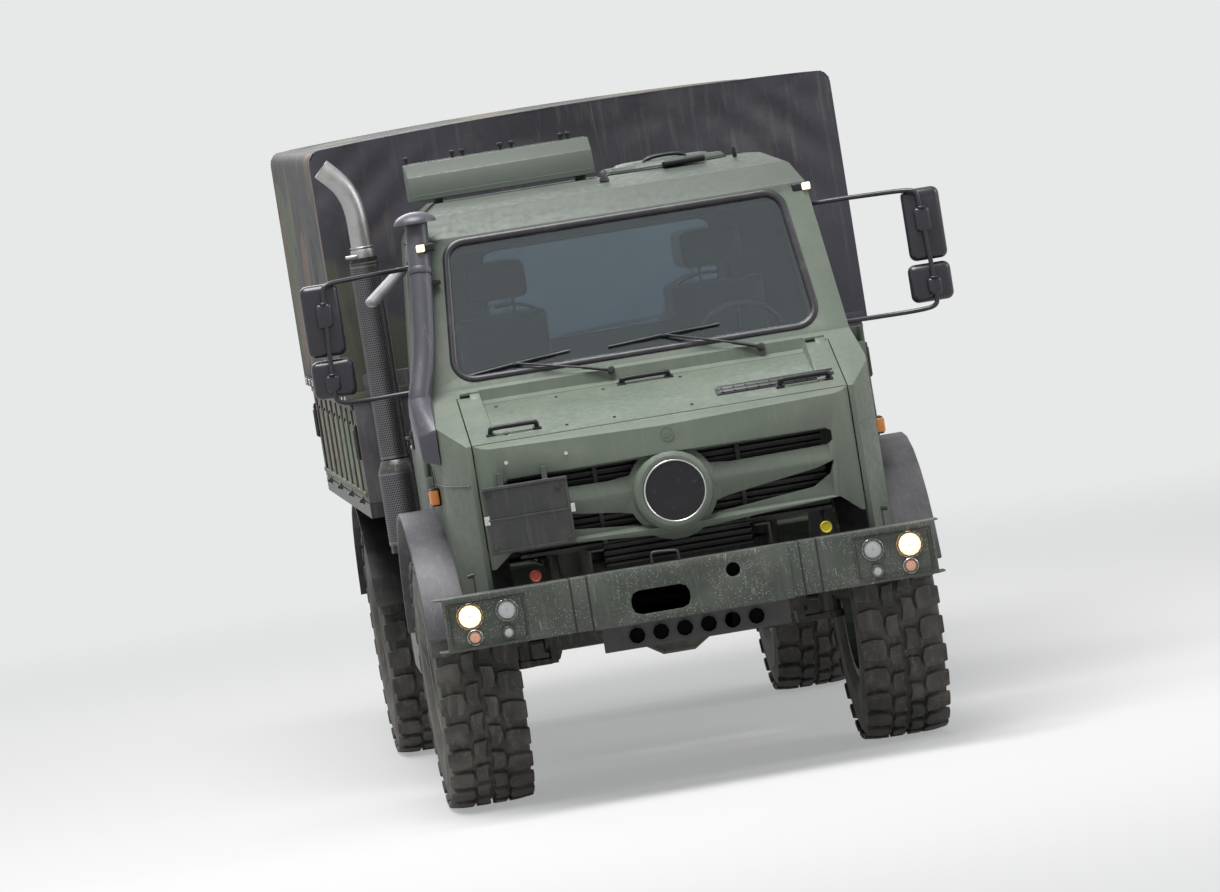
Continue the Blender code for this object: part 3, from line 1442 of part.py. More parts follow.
def portal_case(start, end, axle_y):
    """The drop gear's case between two X planes: a large round below a small one, with tangent sides."""
    lean = math.degrees(math.asin((PORTAL_LOWER_RADIUS - PORTAL_UPPER_RADIUS) / PORTAL_LIFT))
    below = arc((axle_y, TYRE_RADIUS), PORTAL_LOWER_RADIUS, 180 - lean, 360 + lean, SOME_SIDES)
    above = arc((axle_y, AXLE_Z), PORTAL_UPPER_RADIUS, lean, 180 - lean, FEW_SIDES)
    return prism("case", below + above, "X", *sorted((start, end)))


def make_tie_rod(steel):
    """The rod behind the axle, drawn from the eye on the right arm to the eye on the left one."""
    y = FRONT_AXLE_Y + STEER_ARM_LENGTH
    low = STEER_ARM_Z + STEER_ARM_THICKNESS + PIN_GAP
    z = low + TIE_ROD_EYE_HEIGHT / 2
    rod = tube("tie_rod", (-KINGPIN_X, y, z), (KINGPIN_X, y, z), TIE_ROD_RADIUS, FEW_SIDES)
    for side in (-1, 1):
        x = side * KINGPIN_X
        union(rod, tube("eye", (x, y, low), (x, y, low + TIE_ROD_EYE_HEIGHT), TIE_ROD_EYE_RADIUS, SOME_SIDES))
    finished(rod, "tie_rod", steel, (-KINGPIN_X, y, z))


def make_rear_axle(steel):
    hub_end = WHEEL_X + DISC_X - SEAT_GAP
    case_end = WHEEL_X + DISC_X - OVERRUN
    case_start = case_end - PORTAL_WIDTH
    beam = axle_beam("rear_axle", REAR_AXLE_Y, (case_start + case_end) / 2 + BITE)
    for side in (-1, 1):
        union(beam, portal_case(side * case_start, side * case_end, REAR_AXLE_Y))
        hub = tube(
            "hub",
            (side * (case_start + case_end) / 2, REAR_AXLE_Y, TYRE_RADIUS),
            (side * hub_end, REAR_AXLE_Y, TYRE_RADIUS),
            HUB_CAP_RADIUS,
            SOME_SIDES,
        )
        union(beam, hub)
    add_spring_seats(beam, REAR_AXLE_Y)
    start = (0, REAR_AXLE_Y - DIFF_RADIUS / 2, AXLE_Z)
    end = (0, aft(GEARBOX_REAR) + OVERRUN, GEARBOX_BOTTOM + TORQUE_TUBE_RADIUS)
    union(beam, tube("torque_tube", start, end, TORQUE_TUBE_RADIUS, FEW_SIDES))
    finished(beam, "rear_axle", steel)


# Frame and drive line


def make_frame(steel):
    low, high = RAIL_TOP - RAIL_DEPTH, RAIL_TOP
    outer, inner = RAIL_OUTER_X, RAIL_OUTER_X - RAIL_FLANGE
    web = RAIL_OUTER_X - RAIL_WEB
    channel = [
        (inner, low),
        (outer, low),
        (outer, high),
        (inner, high),
        (inner, high - RAIL_WEB),
        (web, high - RAIL_WEB),
        (web, low + RAIL_WEB),
        (inner, low + RAIL_WEB),
    ]
    front, rear = NOSE_Y + RAIL_FRONT_SETBACK, TAIL_Y - RAIL_REAR_SETBACK
    frame = prism("frame", channel, "Y", front, rear)
    right = prism("rail", [(-x, z) for x, z in channel], "Y", front, rear)
    middle = (low + high) / 2
    for share in CROSS_TUBE_SHARES:
        y = front + share * (rear - front)
        reach = outer - RAIL_WEB / 2
        union(frame, tube("cross", (-reach, y, middle), (reach, y, middle), CROSS_TUBE_RADIUS, FEW_SIDES))
    union(frame, right)
    bracket = SPRING_X + SPRING_RADIUS
    for axle_y in (FRONT_AXLE_Y, REAR_AXLE_Y):
        for side in (-1, 1):
            x_low, x_high = sorted((side * web, side * bracket))
            shelf = box(
                "bracket",
                (x_low, axle_y - SPRING_RADIUS, high - 2 * SPRING_SEAT_THICKNESS + SPRING_SEAT_THICKNESS),
                (x_high, axle_y + SPRING_RADIUS, high - BITE),
            )
            union(frame, shelf)
    finished(frame, "ladder_frame", steel)


def make_powertrain(iron, dark):
    block = box(
        "engine",
        (-ENGINE_HALF_WIDTH, aft(ENGINE_FRONT), ENGINE_BOTTOM),
        (ENGINE_HALF_WIDTH, aft(ENGINE_REAR), ENGINE_TOP),
    )
    gearbox = box(
        "gearbox",
        (-GEARBOX_HALF_WIDTH, aft(ENGINE_REAR) - BITE, GEARBOX_BOTTOM),
        (GEARBOX_HALF_WIDTH, aft(GEARBOX_REAR), GEARBOX_TOP),
    )
    union(block, gearbox)
    top = RAIL_TOP - RAIL_DEPTH / 2
    inner = RAIL_OUTER_X - RAIL_WEB - SEAT_GAP
    for y in (aft(ENGINE_FRONT) / 2 + aft(ENGINE_REAR) / 2, aft(GEARBOX_REAR) - 4 * MOUNT_PAD):
        union(block, box("mount", (-inner, y, top - MOUNT_PAD), (inner, y + 2 * MOUNT_PAD, top + MOUNT_PAD)))
    finished(block, "engine_and_gearbox", iron)
    bottom = RAIL_TOP + SEAT_GAP
    radiator = box(
        "radiator",
        (-RADIATOR_HALF_WIDTH, aft(RADIATOR_FRONT), bottom),
        (RADIATOR_HALF_WIDTH, aft(RADIATOR_FRONT) + RADIATOR_THICKNESS, RADIATOR_TOP),
    )
    lower = grille("lower", LOWER_GRILLE_HALF_WIDTH, LOWER_GRILLE_BOTTOM, GRILLE_BOTTOM + OVERRUN)
    union(radiator, grille("upper", GRILLE_HALF_WIDTH, GRILLE_BOTTOM, GRILLE_TOP), lower)
    finished(radiator, "radiator", dark)


def grille(name, half, bottom, top):
    """Level fins that stand forward from a thin back plate, drawn as one comb and run across the truck."""
    back = aft(RADIATOR_FRONT) + BITE
    root, tip = aft(RADIATOR_FRONT) - GRILLE_FIN, aft(RADIATOR_FRONT) - GRILLE_DEPTH
    comb = [(back, top), (root, top)]
    count = int((top - bottom) / GRILLE_FIN_PITCH)
    for i in range(count):
        z = top - GRILLE_FIN_PITCH * (i + 1 / 2)
        comb += [(root, z + GRILLE_FIN), (tip, z), (tip, z - GRILLE_FIN), (root, z - GRILLE_FIN / 2)]
    comb += [(root, bottom), (back, bottom)]
    return prism(name, comb, "X", -half, half)


# Bumper


def bumper_channel(front, depth):
    wall = BUMPER_WALL
    rear = front + depth
    return [
        (front, BUMPER_BOTTOM),
        (rear, BUMPER_BOTTOM),
        (rear, BUMPER_BOTTOM + wall),
        (front + wall, BUMPER_BOTTOM + wall),
        (front + wall, BUMPER_TOP - wall),
        (rear, BUMPER_TOP - wall),
        (rear, BUMPER_TOP),
        (front, BUMPER_TOP),
    ]


def make_bumper(paint, dark):
    face = NOSE_Y + BUMPER_CENTRE_PROUD
    bumper = prism("bumper", bumper_channel(face, BUMPER_DEPTH), "X", -BUMPER_HALF_WIDTH, BUMPER_HALF_WIDTH)
    centre = box(
        "centre",
        (-BUMPER_CENTRE_HALF, NOSE_Y, BUMPER_BOTTOM - BITE),
        (BUMPER_CENTRE_HALF, face + BUMPER_WALL / 2, BUMPER_TOP + BITE),
    )
    union(bumper, centre)
    chamfer = BUMPER_END_CHAMFER
    end = BUMPER_HALF_WIDTH + OVERRUN
    plan = both_sides(
        [
            (BUMPER_HALF_WIDTH, face + BUMPER_DEPTH + OVERRUN),
            (BUMPER_HALF_WIDTH, face + chamfer),
            (end - chamfer - OVERRUN, NOSE_Y - OVERRUN),
        ],
    )
    common(bumper, prism("plan", plan, "Z", BUMPER_BOTTOM - OVERRUN, BUMPER_TOP + OVERRUN))
    front, rear = NOSE_Y - OVERRUN, NOSE_Y + BUMPER_DEPTH / 2
    half_w, half_h = TOW_SLOT_WIDTH / 2, TOW_SLOT_HEIGHT / 2
    corners = [
        (TOW_SLOT_X + half_w, TOW_SLOT_Z - half_h),
        (TOW_SLOT_X + half_w, TOW_SLOT_Z + half_h),
        (TOW_SLOT_X - half_w, TOW_SLOT_Z + half_h),
        (TOW_SLOT_X - half_w, TOW_SLOT_Z - half_h),
    ]
    cut(bumper, prism("slot", rounded(corners, TOW_SLOT_CORNER), "Y", front, rear))
    cut(
        bumper,
        tube(
            "hole",
            (SOCKET_HOLE_X, front, SOCKET_HOLE_Z),
            (SOCKET_HOLE_X, rear, SOCKET_HOLE_Z),
            SOCKET_HOLE_RADIUS,
            SOME_SIDES,
        ),
    )
    bay_half, bay_rise = LAMP_BAY_WIDTH / 2, LAMP_BAY_HEIGHT / 2
    for side in (-1, 1):
        x = side * LAMP_BAY_X
        cut(
            bumper,
            box(
                "bay",
                (x - bay_half, front, LAMP_BAY_Z - bay_rise),
                (x + bay_half, rear, LAMP_BAY_Z + bay_rise),
            ),
        )
    guard_face = NOSE_Y + GUARD_SETBACK
    guard = box(
        "guard",
        (-GUARD_HALF_WIDTH, guard_face, GUARD_BOTTOM),
        (GUARD_HALF_WIDTH, guard_face + GUARD_THICKNESS, GUARD_TOP),
    )
    for i in range(GUARD_HOLES):
        x = (i - (GUARD_HOLES - 1) / 2) * GUARD_HOLE_PITCH
        start = (x, guard_face - OVERRUN, GUARD_HOLE_Z)
        cut(
            guard,
            tube(
                "hole",
                start,
                (x, guard_face + OVERRUN + GUARD_THICKNESS, GUARD_HOLE_Z),
                GUARD_HOLE_RADIUS,
                FEW_SIDES,
            ),
        )
    union(bumper, guard)
    rail_front = NOSE_Y + RAIL_FRONT_SETBACK
    for side in (-1, 1):
        x_low, x_high = sorted((side * (RAIL_OUTER_X - RAIL_FLANGE), side * RAIL_OUTER_X))
        mount = box(
            "horn",
            (x_low, face + BUMPER_WALL / 2, RAIL_TOP - RAIL_DEPTH),
            (x_high, rail_front - SEAT_GAP, BUMPER_TOP - BUMPER_WALL / 2),
        )
        union(bumper, mount)
    finished(bumper, "front_bumper", paint)
    for side, name in ((-1, "headlamps_right"), (1, "headlamps_left")):
        x = side * LAMP_BAY_X
        front = face + LAMP_PLATE_SETBACK
        plate = box(
            name,
            (x - bay_half + SEAT_GAP, front, LAMP_BAY_Z - bay_rise + SEAT_GAP),
            (x + bay_half - SEAT_GAP, front + LAMP_PLATE_THICKNESS, LAMP_BAY_Z + bay_rise - SEAT_GAP),
        )
        for distance, z, radius in LAMPS:
            union(plate, lamp(side * distance, front, z, radius))
        finished(plate, name, dark)


def lamp(x, plate_front, z, radius):
    """A lamp's bezel with its glass sunk in it."""
    profile = [
        (0, -LAMP_PLATE_THICKNESS / 2),
        (radius, -LAMP_PLATE_THICKNESS / 2),
        (radius, LAMP_PROUD),
        (radius - LAMP_BEZEL, LAMP_PROUD),
        (radius - LAMP_BEZEL, LAMP_PROUD - LAMP_GLASS_SINK),
        (0, LAMP_PROUD),
    ]
    return turned("lamp", profile, (x, plate_front, z), (0, -1, 0), even_angles(SOME_SIDES), closed=False)


# Mudguards


def guard_angles(radius, low_front, low_rear):
    """The angles at which a mudguard's arc ends behind and before its axle, in degrees."""
    front = 180 - math.degrees(math.asin((low_front - ARCH_CENTRE_Z) / radius))
    return math.degrees(math.asin((low_rear - ARCH_CENTRE_Z) / radius)), front


def guard_outline(axle_y, radius, thickness, low_front, low_rear):
    centre = (axle_y, ARCH_CENTRE_Z)
    rear, front = guard_angles(radius, low_front, low_rear)
    outer = arc(centre, radius, rear, front, ARCH_STEPS)
    return outer + arc(centre, radius - thickness, front, rear, ARCH_STEPS)


def make_mudguards(black):
    outline = guard_outline(
        FRONT_AXLE_Y,
        MUDGUARD_RADIUS,
        MUDGUARD_THICKNESS,
        MUDGUARD_FRONT_Z,
        MUDGUARD_REAR_Z,
    )
    guard = prism("guard", outline, "X", MUDGUARD_INNER_X, MUDGUARD_OUTER_X)
    finished(guard, "front_mudguard_left", black)
    finished(mirrored(guard, "guard"), "front_mudguard_right", black)


# Things on the cab


def pillar_half_width(z):
    """The half width of the cab at a height above its cowl."""
    lean = (COWL_HALF_WIDTH - SCREEN_TOP_HALF_WIDTH) / (SCREEN_TOP_Z - COWL_Z)
    return COWL_HALF_WIDTH - lean * (z - COWL_Z)


def before_pillar(z):
    """The point on the snorkel's axis in front of the right screen pillar at a height."""
    run, rise = SCREEN_TOP_Y - COWL_Y, SCREEN_TOP_Z - COWL_Z
    clear = (SNORKEL_RADIUS + 2 * BITE) * math.hypot(run, rise) / rise
    return Vector((-pillar_half_width(z), aft(COWL_Y + run / rise * (z - COWL_Z)) - clear, z))


def make_snorkel(black):
    """The intake pipe up the right screen pillar, with a rain cap and a bracket on the pillar."""
    side = -CAB_HALF_WIDTH - SNORKEL_RADIUS - SEAT_GAP
    bend = before_pillar(COWL_Z + 3 * SNORKEL_RADIUS)
    top = before_pillar(SNORKEL_TOP)
    knee = Vector((side + SNORKEL_RADIUS / 2, bend.y - SNORKEL_RADIUS, COWL_Z))
    low = Vector((side, knee.y, COWL_Z - SNORKEL_DUCT_DEPTH))
    snorkel = pipe("snorkel", [low, knee, bend, top], SNORKEL_RADIUS, SOME_SIDES)
    near, far = -CAB_HALF_WIDTH - SEAT_GAP, -CAB_HALF_WIDTH - SEAT_GAP - SNORKEL_DUCT_WIDTH
    slim = Vector((0, 0, SNORKEL_DUCT_DEPTH))
    corners = []
    for x in (near, far):
        for y in (knee.y - SNORKEL_DUCT_DEPTH + SNORKEL_RADIUS, knee.y + SNORKEL_RADIUS):
            corners += [(x, y, SNORKEL_DUCT_BOTTOM), (x, y, SNORKEL_DUCT_BOTTOM + SNORKEL_DUCT_WIDTH)]
    for x in (near, near - 2 * SNORKEL_RADIUS - BITE):
        for y in (low.y - SNORKEL_RADIUS - BITE, low.y + SNORKEL_RADIUS):
            corners.append(tuple(Vector((x, y, low.z)) + slim / 2))
    union(snorkel, hull("duct", corners))
    cap_low = top - Vector((OVERRUN, OVERRUN, OVERRUN))
    profile = [
        (0, 0),
        (SNORKEL_CAP_RADIUS, 0),
        (SNORKEL_CAP_RADIUS * SNORKEL_CAP_SHARE, SNORKEL_CAP_HEIGHT * SNORKEL_CAP_SHARE),
        (0, SNORKEL_CAP_HEIGHT),
    ]
    cap = turned("cap", profile, cap_low, (0, 0, 1), even_angles(SOME_SIDES), closed=False)
    middle = (bend.z + top.z) / 2
    screen_length = math.hypot(SCREEN_TOP_Y - COWL_Y, SCREEN_TOP_Z - COWL_Z)
    climb = (middle - COWL_Z) * screen_length / (SCREEN_TOP_Z - COWL_Z)
    edge = -pillar_half_width(middle)
    bracket = screen_slab(
        "bracket",
        [
            (edge + BITE, climb),
            (edge + SNORKEL_RADIUS + BITE, climb),
            (edge + SNORKEL_RADIUS + BITE, climb + SNORKEL_RADIUS),
            (edge + BITE, climb + SNORKEL_RADIUS),
        ],
        SEAT_GAP,
        SNORKEL_RADIUS,
    )
    union(snorkel, cap, bracket)
    finished(snorkel, "air_intake_snorkel", black)


def make_exhaust(dark, silver):
    x, y = STACK_X, aft(STACK_Y)
    stack = tube("stack", (x, y, STACK_BOTTOM), (x, y, STACK_COLLAR), STACK_LOWER_RADIUS, SOME_SIDES)
    upper = tube("upper", (x, y, STACK_COLLAR - OVERRUN), (x, y, STACK_TOP), STACK_UPPER_RADIUS, SOME_SIDES)
    cone = tube(
        "cone",
        (x, y, STACK_COLLAR - BITE),
        (x, y, STACK_COLLAR + 2 * OVERRUN),
        STACK_LOWER_RADIUS,
        SOME_SIDES,
        STACK_UPPER_RADIUS,
    )
    web = -RAIL_OUTER_X - SEAT_GAP
    elbow = [(x, y, STACK_BOTTOM + OVERRUN), (x, y, STACK_ELBOW_Z), (web, y, STACK_ELBOW_Z)]
    union(stack, cone, upper, pipe("elbow", elbow, STACK_ELBOW_RADIUS, FEW_SIDES))
    finished(stack, "exhaust_stack", dark)
    bottom = STACK_TOP + SEAT_GAP
    rise = TAIL_PIPE_TOP - bottom
    points = [(x - rise * out, y, bottom + rise * up) for out, up in TAIL_PIPE_BEND_SHARES]
    finished(pipe("tail", points, TAIL_PIPE_RADIUS, SOME_SIDES), "exhaust_tail_pipe", silver)


def arm_root(root_y, z, end_x, end_y):
    """Where a mirror arm's end face stands just clear of the leaning pillar, on its way to a point."""
    surface = pillar_half_width(z)
    slope = (COWL_HALF_WIDTH - SCREEN_TOP_HALF_WIDTH) / (SCREEN_TOP_Z - COWL_Z)
    lean = (root_y - end_y) / math.hypot(end_x - surface, root_y - end_y)
    return surface + SEAT_GAP + MIRROR_ARM_RADIUS * math.hypot(lean, slope), root_y, z


def mirror_frame(reach):
    """Two arms, a post and two heads on the left side."""
    y = aft(MIRROR_ARM_Y)
    post = CAB_HALF_WIDTH + reach
    arm = [
        arm_root(aft(MIRROR_UPPER_ROOT_Y), MIRROR_UPPER_Z, post - MIRROR_CORNER, y),
        (post - MIRROR_CORNER, y, MIRROR_UPPER_Z),
        (post, y, MIRROR_UPPER_Z - MIRROR_CORNER),
        (post, y, MIRROR_LOWER_Z + MIRROR_CORNER),
        (post - MIRROR_CORNER, y, MIRROR_LOWER_Z),
        arm_root(aft(MIRROR_LOWER_ROOT_Y), MIRROR_LOWER_Z, post - MIRROR_CORNER, y),
    ]
    frame = pipe("mirror", arm, MIRROR_ARM_RADIUS, FEW_SIDES)
    for x, z, height in (
        (post + MIRROR_HEAD_OUTSET, MIRROR_UPPER_Z - MIRROR_HEAD_DROP, MIRROR_HEAD_HEIGHT),
        (post + WIDE_HEAD_OUTSET, MIRROR_LOWER_Z + WIDE_HEAD_RISE, WIDE_HEAD_HEIGHT),
    ):
        half_w, half_h = MIRROR_HEAD_WIDTH / 2, height / 2
        corners = [
            (x + half_w, z - half_h),
            (x + half_w, z + half_h),
            (x - half_w, z + half_h),
            (x - half_w, z - half_h),
        ]
        head = prism(
            "head",
            rounded(corners, MIRROR_CORNER),
            "Y",
            y - MIRROR_ARM_RADIUS / 2,
            y + MIRROR_HEAD_DEPTH,
        )
        union(frame, head)
    return frame


def make_mirrors(black):
    finished(mirror_frame(MIRROR_REACH), "mirrors_left", black)
    far = mirror_frame(MIRROR_REACH)
    finished(mirrored(far, "mirror"), "mirrors_right", black)
    bpy.data.objects.remove(far)


def make_roof_fittings(paint, dark, cab):
    low = ROOF_TOP + SEAT_GAP
    y = aft(ROOF_BOX_Y)
    top = low + ROOF_BOX_LIFT + ROOF_BOX_HEIGHT
    curve = ROOF_BOX_HEIGHT / 3
    outline = [
        (y, low + ROOF_BOX_LIFT),
        (y + ROOF_BOX_DEPTH, low + ROOF_BOX_LIFT),
        (y + ROOF_BOX_DEPTH, top),
        (y + 2 * curve, top),
        (y + curve / 2, top - curve),
    ]
    locker = prism("locker", outline, "X", ROOF_BOX_RIGHT, ROOF_BOX_LEFT)
    foot_y = y + ROOF_BOX_DEPTH / 4
    for x in (-ROOF_FLAT_HALF_WIDTH + SEAT_GAP, ROOF_BOX_LEFT - 4 * ROOF_BOX_LIFT):
        foot = box(
            "foot",
            (x, foot_y, low),
            (x + 2 * ROOF_BOX_LIFT, foot_y + ROOF_BOX_DEPTH / 2, low + ROOF_BOX_LIFT + BITE),
        )
        union(locker, foot)
    finished(locker, "roof_locker", paint)
    centre = (HATCH_X, aft(HATCH_Y), ROOF_TOP + SEAT_GAP)
    profile = [
        (0, 0),
        (HATCH_RADIUS, 0),
        (HATCH_RADIUS, HATCH_HEIGHT / 2),
        (HATCH_RADIUS - HATCH_HEIGHT / 2, HATCH_HEIGHT),
        (0, HATCH_HEIGHT),
    ]
    lid = turned("hatch", profile, centre, (0, 0, 1), even_angles(MANY_SIDES), closed=False)
    y, z = aft(HATCH_Y) + HATCH_RADIUS + BARREL_LIFT, ROOF_TOP + BARREL_LIFT
    cab_target = (y + BARREL_LIFT, ROOF_TOP - BITE)
    lid_target = (y - 2 * BARREL_REACH, ROOF_TOP + HATCH_HEIGHT / 2)
    places = (HATCH_X - HATCH_HINGE_X, HATCH_X + HATCH_HINGE_X)
    hinge_pair("X", (y, z), cab, cab_target, lid, lid_target, places)
    finished(lid, "roof_hatch", dark, (HATCH_X, y, z))


# Inside the cab


def make_seats(fabric):
    low = FLOOR_Z + FLOOR_THICKNESS + SEAT_GAP
    y0, y1 = aft(SEAT_FRONT_Y), aft(SEAT_REAR_Y)
    base = SEAT_CUSHION_THICKNESS / 2
    outline = [
        (y0 + base, low),
        (y1 - 2 * base, low),
        (y1 - 2 * base, SEAT_CUSHION_TOP - SEAT_CUSHION_THICKNESS),
        (y1 - base, SEAT_CUSHION_TOP - SEAT_CUSHION_THICKNESS),
        (y1, SEAT_BACK_TOP),
        (y1 - SEAT_BACK_THICKNESS, SEAT_BACK_TOP),
        (y1 - base - SEAT_BACK_THICKNESS, SEAT_CUSHION_TOP),
        (y0, SEAT_CUSHION_TOP),
        (y0, SEAT_CUSHION_TOP - SEAT_CUSHION_THICKNESS),
        (y0 + base, SEAT_CUSHION_TOP - SEAT_CUSHION_THICKNESS),
    ]
    for side, name in ((1, "driver_seat"), (-1, "passenger_seat")):
        x = side * SEAT_X
        finished(prism(name, outline, "X", x - SEAT_HALF_WIDTH, x + SEAT_HALF_WIDTH), name, fabric)


def make_steering_wheel(black):
    along = column_direction()
    hub = Vector((STEERING_X, aft(STEERING_HUB_Y), STEERING_HUB_Z)) + along * SEAT_GAP
    grip = STEERING_WHEEL_GRIP
    ring = STEERING_WHEEL_RADIUS - grip
    profile = [(ring + grip * math.cos(a), 2 * grip + grip * math.sin(a)) for a in even_angles(FEWEST_SIDES)]
    wheel = turned("wheel", profile, hub, along, even_angles(SOME_SIDES))
    boss = tube("boss", hub, hub + along * 2 * grip, STEERING_HUB_RADIUS, SOME_SIDES)
    across = AXIS_OF["X"]
    level = hub + along * (grip + grip / 2)
    down = across.cross(along)
    for spoke in (across, -across, down, -down):
        union(boss, tube("spoke", level, level + spoke * ring, grip / 2, FEWEST_SIDES))
    union(boss, wheel)
    finished(boss, "steering_wheel", black, tuple(hub))


# Side boxes


def make_side_boxes(paint):
    front, rear = aft(BOX_FRONT_Y), aft(BOX_FRONT_Y + BOX_LENGTH)
    for side, name in ((-1, "battery_box"), (1, "fuel_tank")):
        x_low, x_high = sorted((side * BOX_INNER_X, side * BOX_OUTER_X))
        corners = [(x_high, BOX_BOTTOM), (x_high, BOX_TOP), (x_low, BOX_TOP), (x_low, BOX_BOTTOM)]
        tank = prism(name, rounded(corners, TANK_RADIUS), "Y", front + STEP_LENGTH + STEP_TREAD, rear)
        arm_low, arm_high = sorted((side * (RAIL_OUTER_X + SEAT_GAP), side * (BOX_INNER_X + OVERRUN)))
        middle = RAIL_TOP - RAIL_DEPTH / 2 - MOUNT_PAD
        for share in BOX_ARM_SHARES:
            y = front + share * (rear - front)
            union(tank, box("arm", (arm_low, y, middle - 2 * MOUNT_PAD), (arm_high, y + MOUNT_PAD, middle)))
        add_steps(tank, side, front)
        finished(tank, name, paint)


def add_steps(tank, side, front):
    """Two treads between side plates, ahead of the box."""
    rear = front + STEP_LENGTH + STEP_TREAD + TANK_RADIUS
    inner, outer = sorted((side * STEP_INNER_X, side * (BOX_OUTER_X - BITE)))
    low, high = STEP_HEIGHTS[0], BOX_TOP - TANK_RADIUS
    wall = side * STEP_INNER_X
    back = sorted((wall, wall + side * STEP_TREAD / 2))
    panel = box("panel", (back[0], front, low), (back[1], rear, high))
    union(tank, panel)
    for z in STEP_HEIGHTS:
        union(tank, box("tread", (inner, front - BITE, z - BITE), (outer, rear - STEP_TREAD, z + STEP_TREAD)))


# Bed


def bed_front():
    return aft(BED_FRONT_SETBACK)


def board_hinge_centre(outer):
    """The hinge line of a board that stands on the floor's edge, as (outwards, z)."""
    return outer + BARREL_LIFT, BED_FLOOR_TOP


def make_bed(paint, dark):
    front, rear = bed_front(), TAIL_Y - TAIL_INSET
    low = BED_FLOOR_TOP - BED_FLOOR_THICKNESS
    floor = box("floor", (-BED_HALF_WIDTH, front, low), (BED_HALF_WIDTH, rear, BED_FLOOR_TOP))
    for side in (-1, 1):
        x = side * BEARER_X
        start = (x - BEARER_HALF_WIDTH, front + OVERRUN, RAIL_TOP + SEAT_GAP)
        union(floor, box("bearer", start, (x + BEARER_HALF_WIDTH, rear - OVERRUN, low + BITE)))
    for side in (-1, 1):
        add_rear_guard(floor, side)
    headboard = box(
        "headboard",
        (-BED_HALF_WIDTH, front, BED_FLOOR_TOP + SEAT_GAP),
        (BED_HALF_WIDTH, front + SIDE_THICKNESS, BED_FLOOR_TOP + HEADBOARD_HEIGHT),
    )
    finished(headboard, "bed_headboard", paint)
    side_low, side_top = BED_FLOOR_TOP + SHUT_GAP, BED_FLOOR_TOP + SIDE_HEIGHT
    side_front, side_rear = front + SIDE_THICKNESS + SHUT_GAP, rear - SIDE_THICKNESS - SHUT_GAP
    outer, z = board_hinge_centre(BED_HALF_WIDTH)
    inner = BED_HALF_WIDTH - BARREL_LIFT
    length = side_rear - side_front
    for side, name in ((1, "side_board_left"), (-1, "side_board_right")):
        ends = sorted((side * (BED_HALF_WIDTH - SIDE_THICKNESS), side * BED_HALF_WIDTH))
        board = box("side", (ends[0], side_front, side_low), (ends[1], side_rear, side_top))
        places = [side_front + share * length for share in BOARD_HINGE_SHARES]
        floor_target, board_target = (side * inner, z - BARREL_REACH), (side * inner, z + BARREL_REACH)
        hinge_pair("Y", (side * outer, z), floor, floor_target, board, board_target, places)
        finished(board, name, paint, (side * outer, (side_front + side_rear) / 2, z))
    gate = box("gate", (-BED_HALF_WIDTH, rear - SIDE_THICKNESS, side_low), (BED_HALF_WIDTH, rear, side_top))
    outer, z = board_hinge_centre(rear)
    inner = rear - BARREL_LIFT
    places = [(2 * share - 1) * BED_HALF_WIDTH for share in GATE_HINGE_SHARES]
    hinge_pair("X", (outer, z), floor, (inner, z - BARREL_REACH), gate, (inner, z + BARREL_REACH), places)
    finished(gate, "tailgate", paint, (0, outer, z))
    finished(floor, "bed_floor", dark)


def add_rear_guard(floor, side):
    """A mudguard over the rear wheel, hung from the floor by a bracket."""
    outline = guard_outline(
        REAR_AXLE_Y,
        REAR_GUARD_RADIUS,
        REAR_GUARD_THICKNESS,
        REAR_GUARD_END_Z,
        REAR_GUARD_END_Z,
    )
    low, high = sorted((side * REAR_GUARD_INNER_X, side * REAR_GUARD_OUTER_X))
    guard = prism("guard", outline, "X", low, high)
    crown = ARCH_CENTRE_Z + REAR_GUARD_RADIUS
    half = REAR_GUARD_BRACKET
    bracket = box(
        "bracket",
        (low + half, REAR_AXLE_Y - half, crown - REAR_GUARD_THICKNESS / 2),
        (high - half, REAR_AXLE_Y + half, BED_FLOOR_TOP - BED_FLOOR_THICKNESS + BITE),
    )
    union(guard, bracket)
    union(floor, guard)


def canvas_half(inner):
    """Half of the canvas's front view from its hem to its ridge."""
    half = CANVAS_HALF_WIDTH - inner
    top = CANVAS_TOP - inner
    return [
        (half, top - CANVAS_EDGE_CHAMFER - CANVAS_CROWN),
        (half - CANVAS_EDGE_CHAMFER, top - CANVAS_CROWN),
        (0, top),
    ]


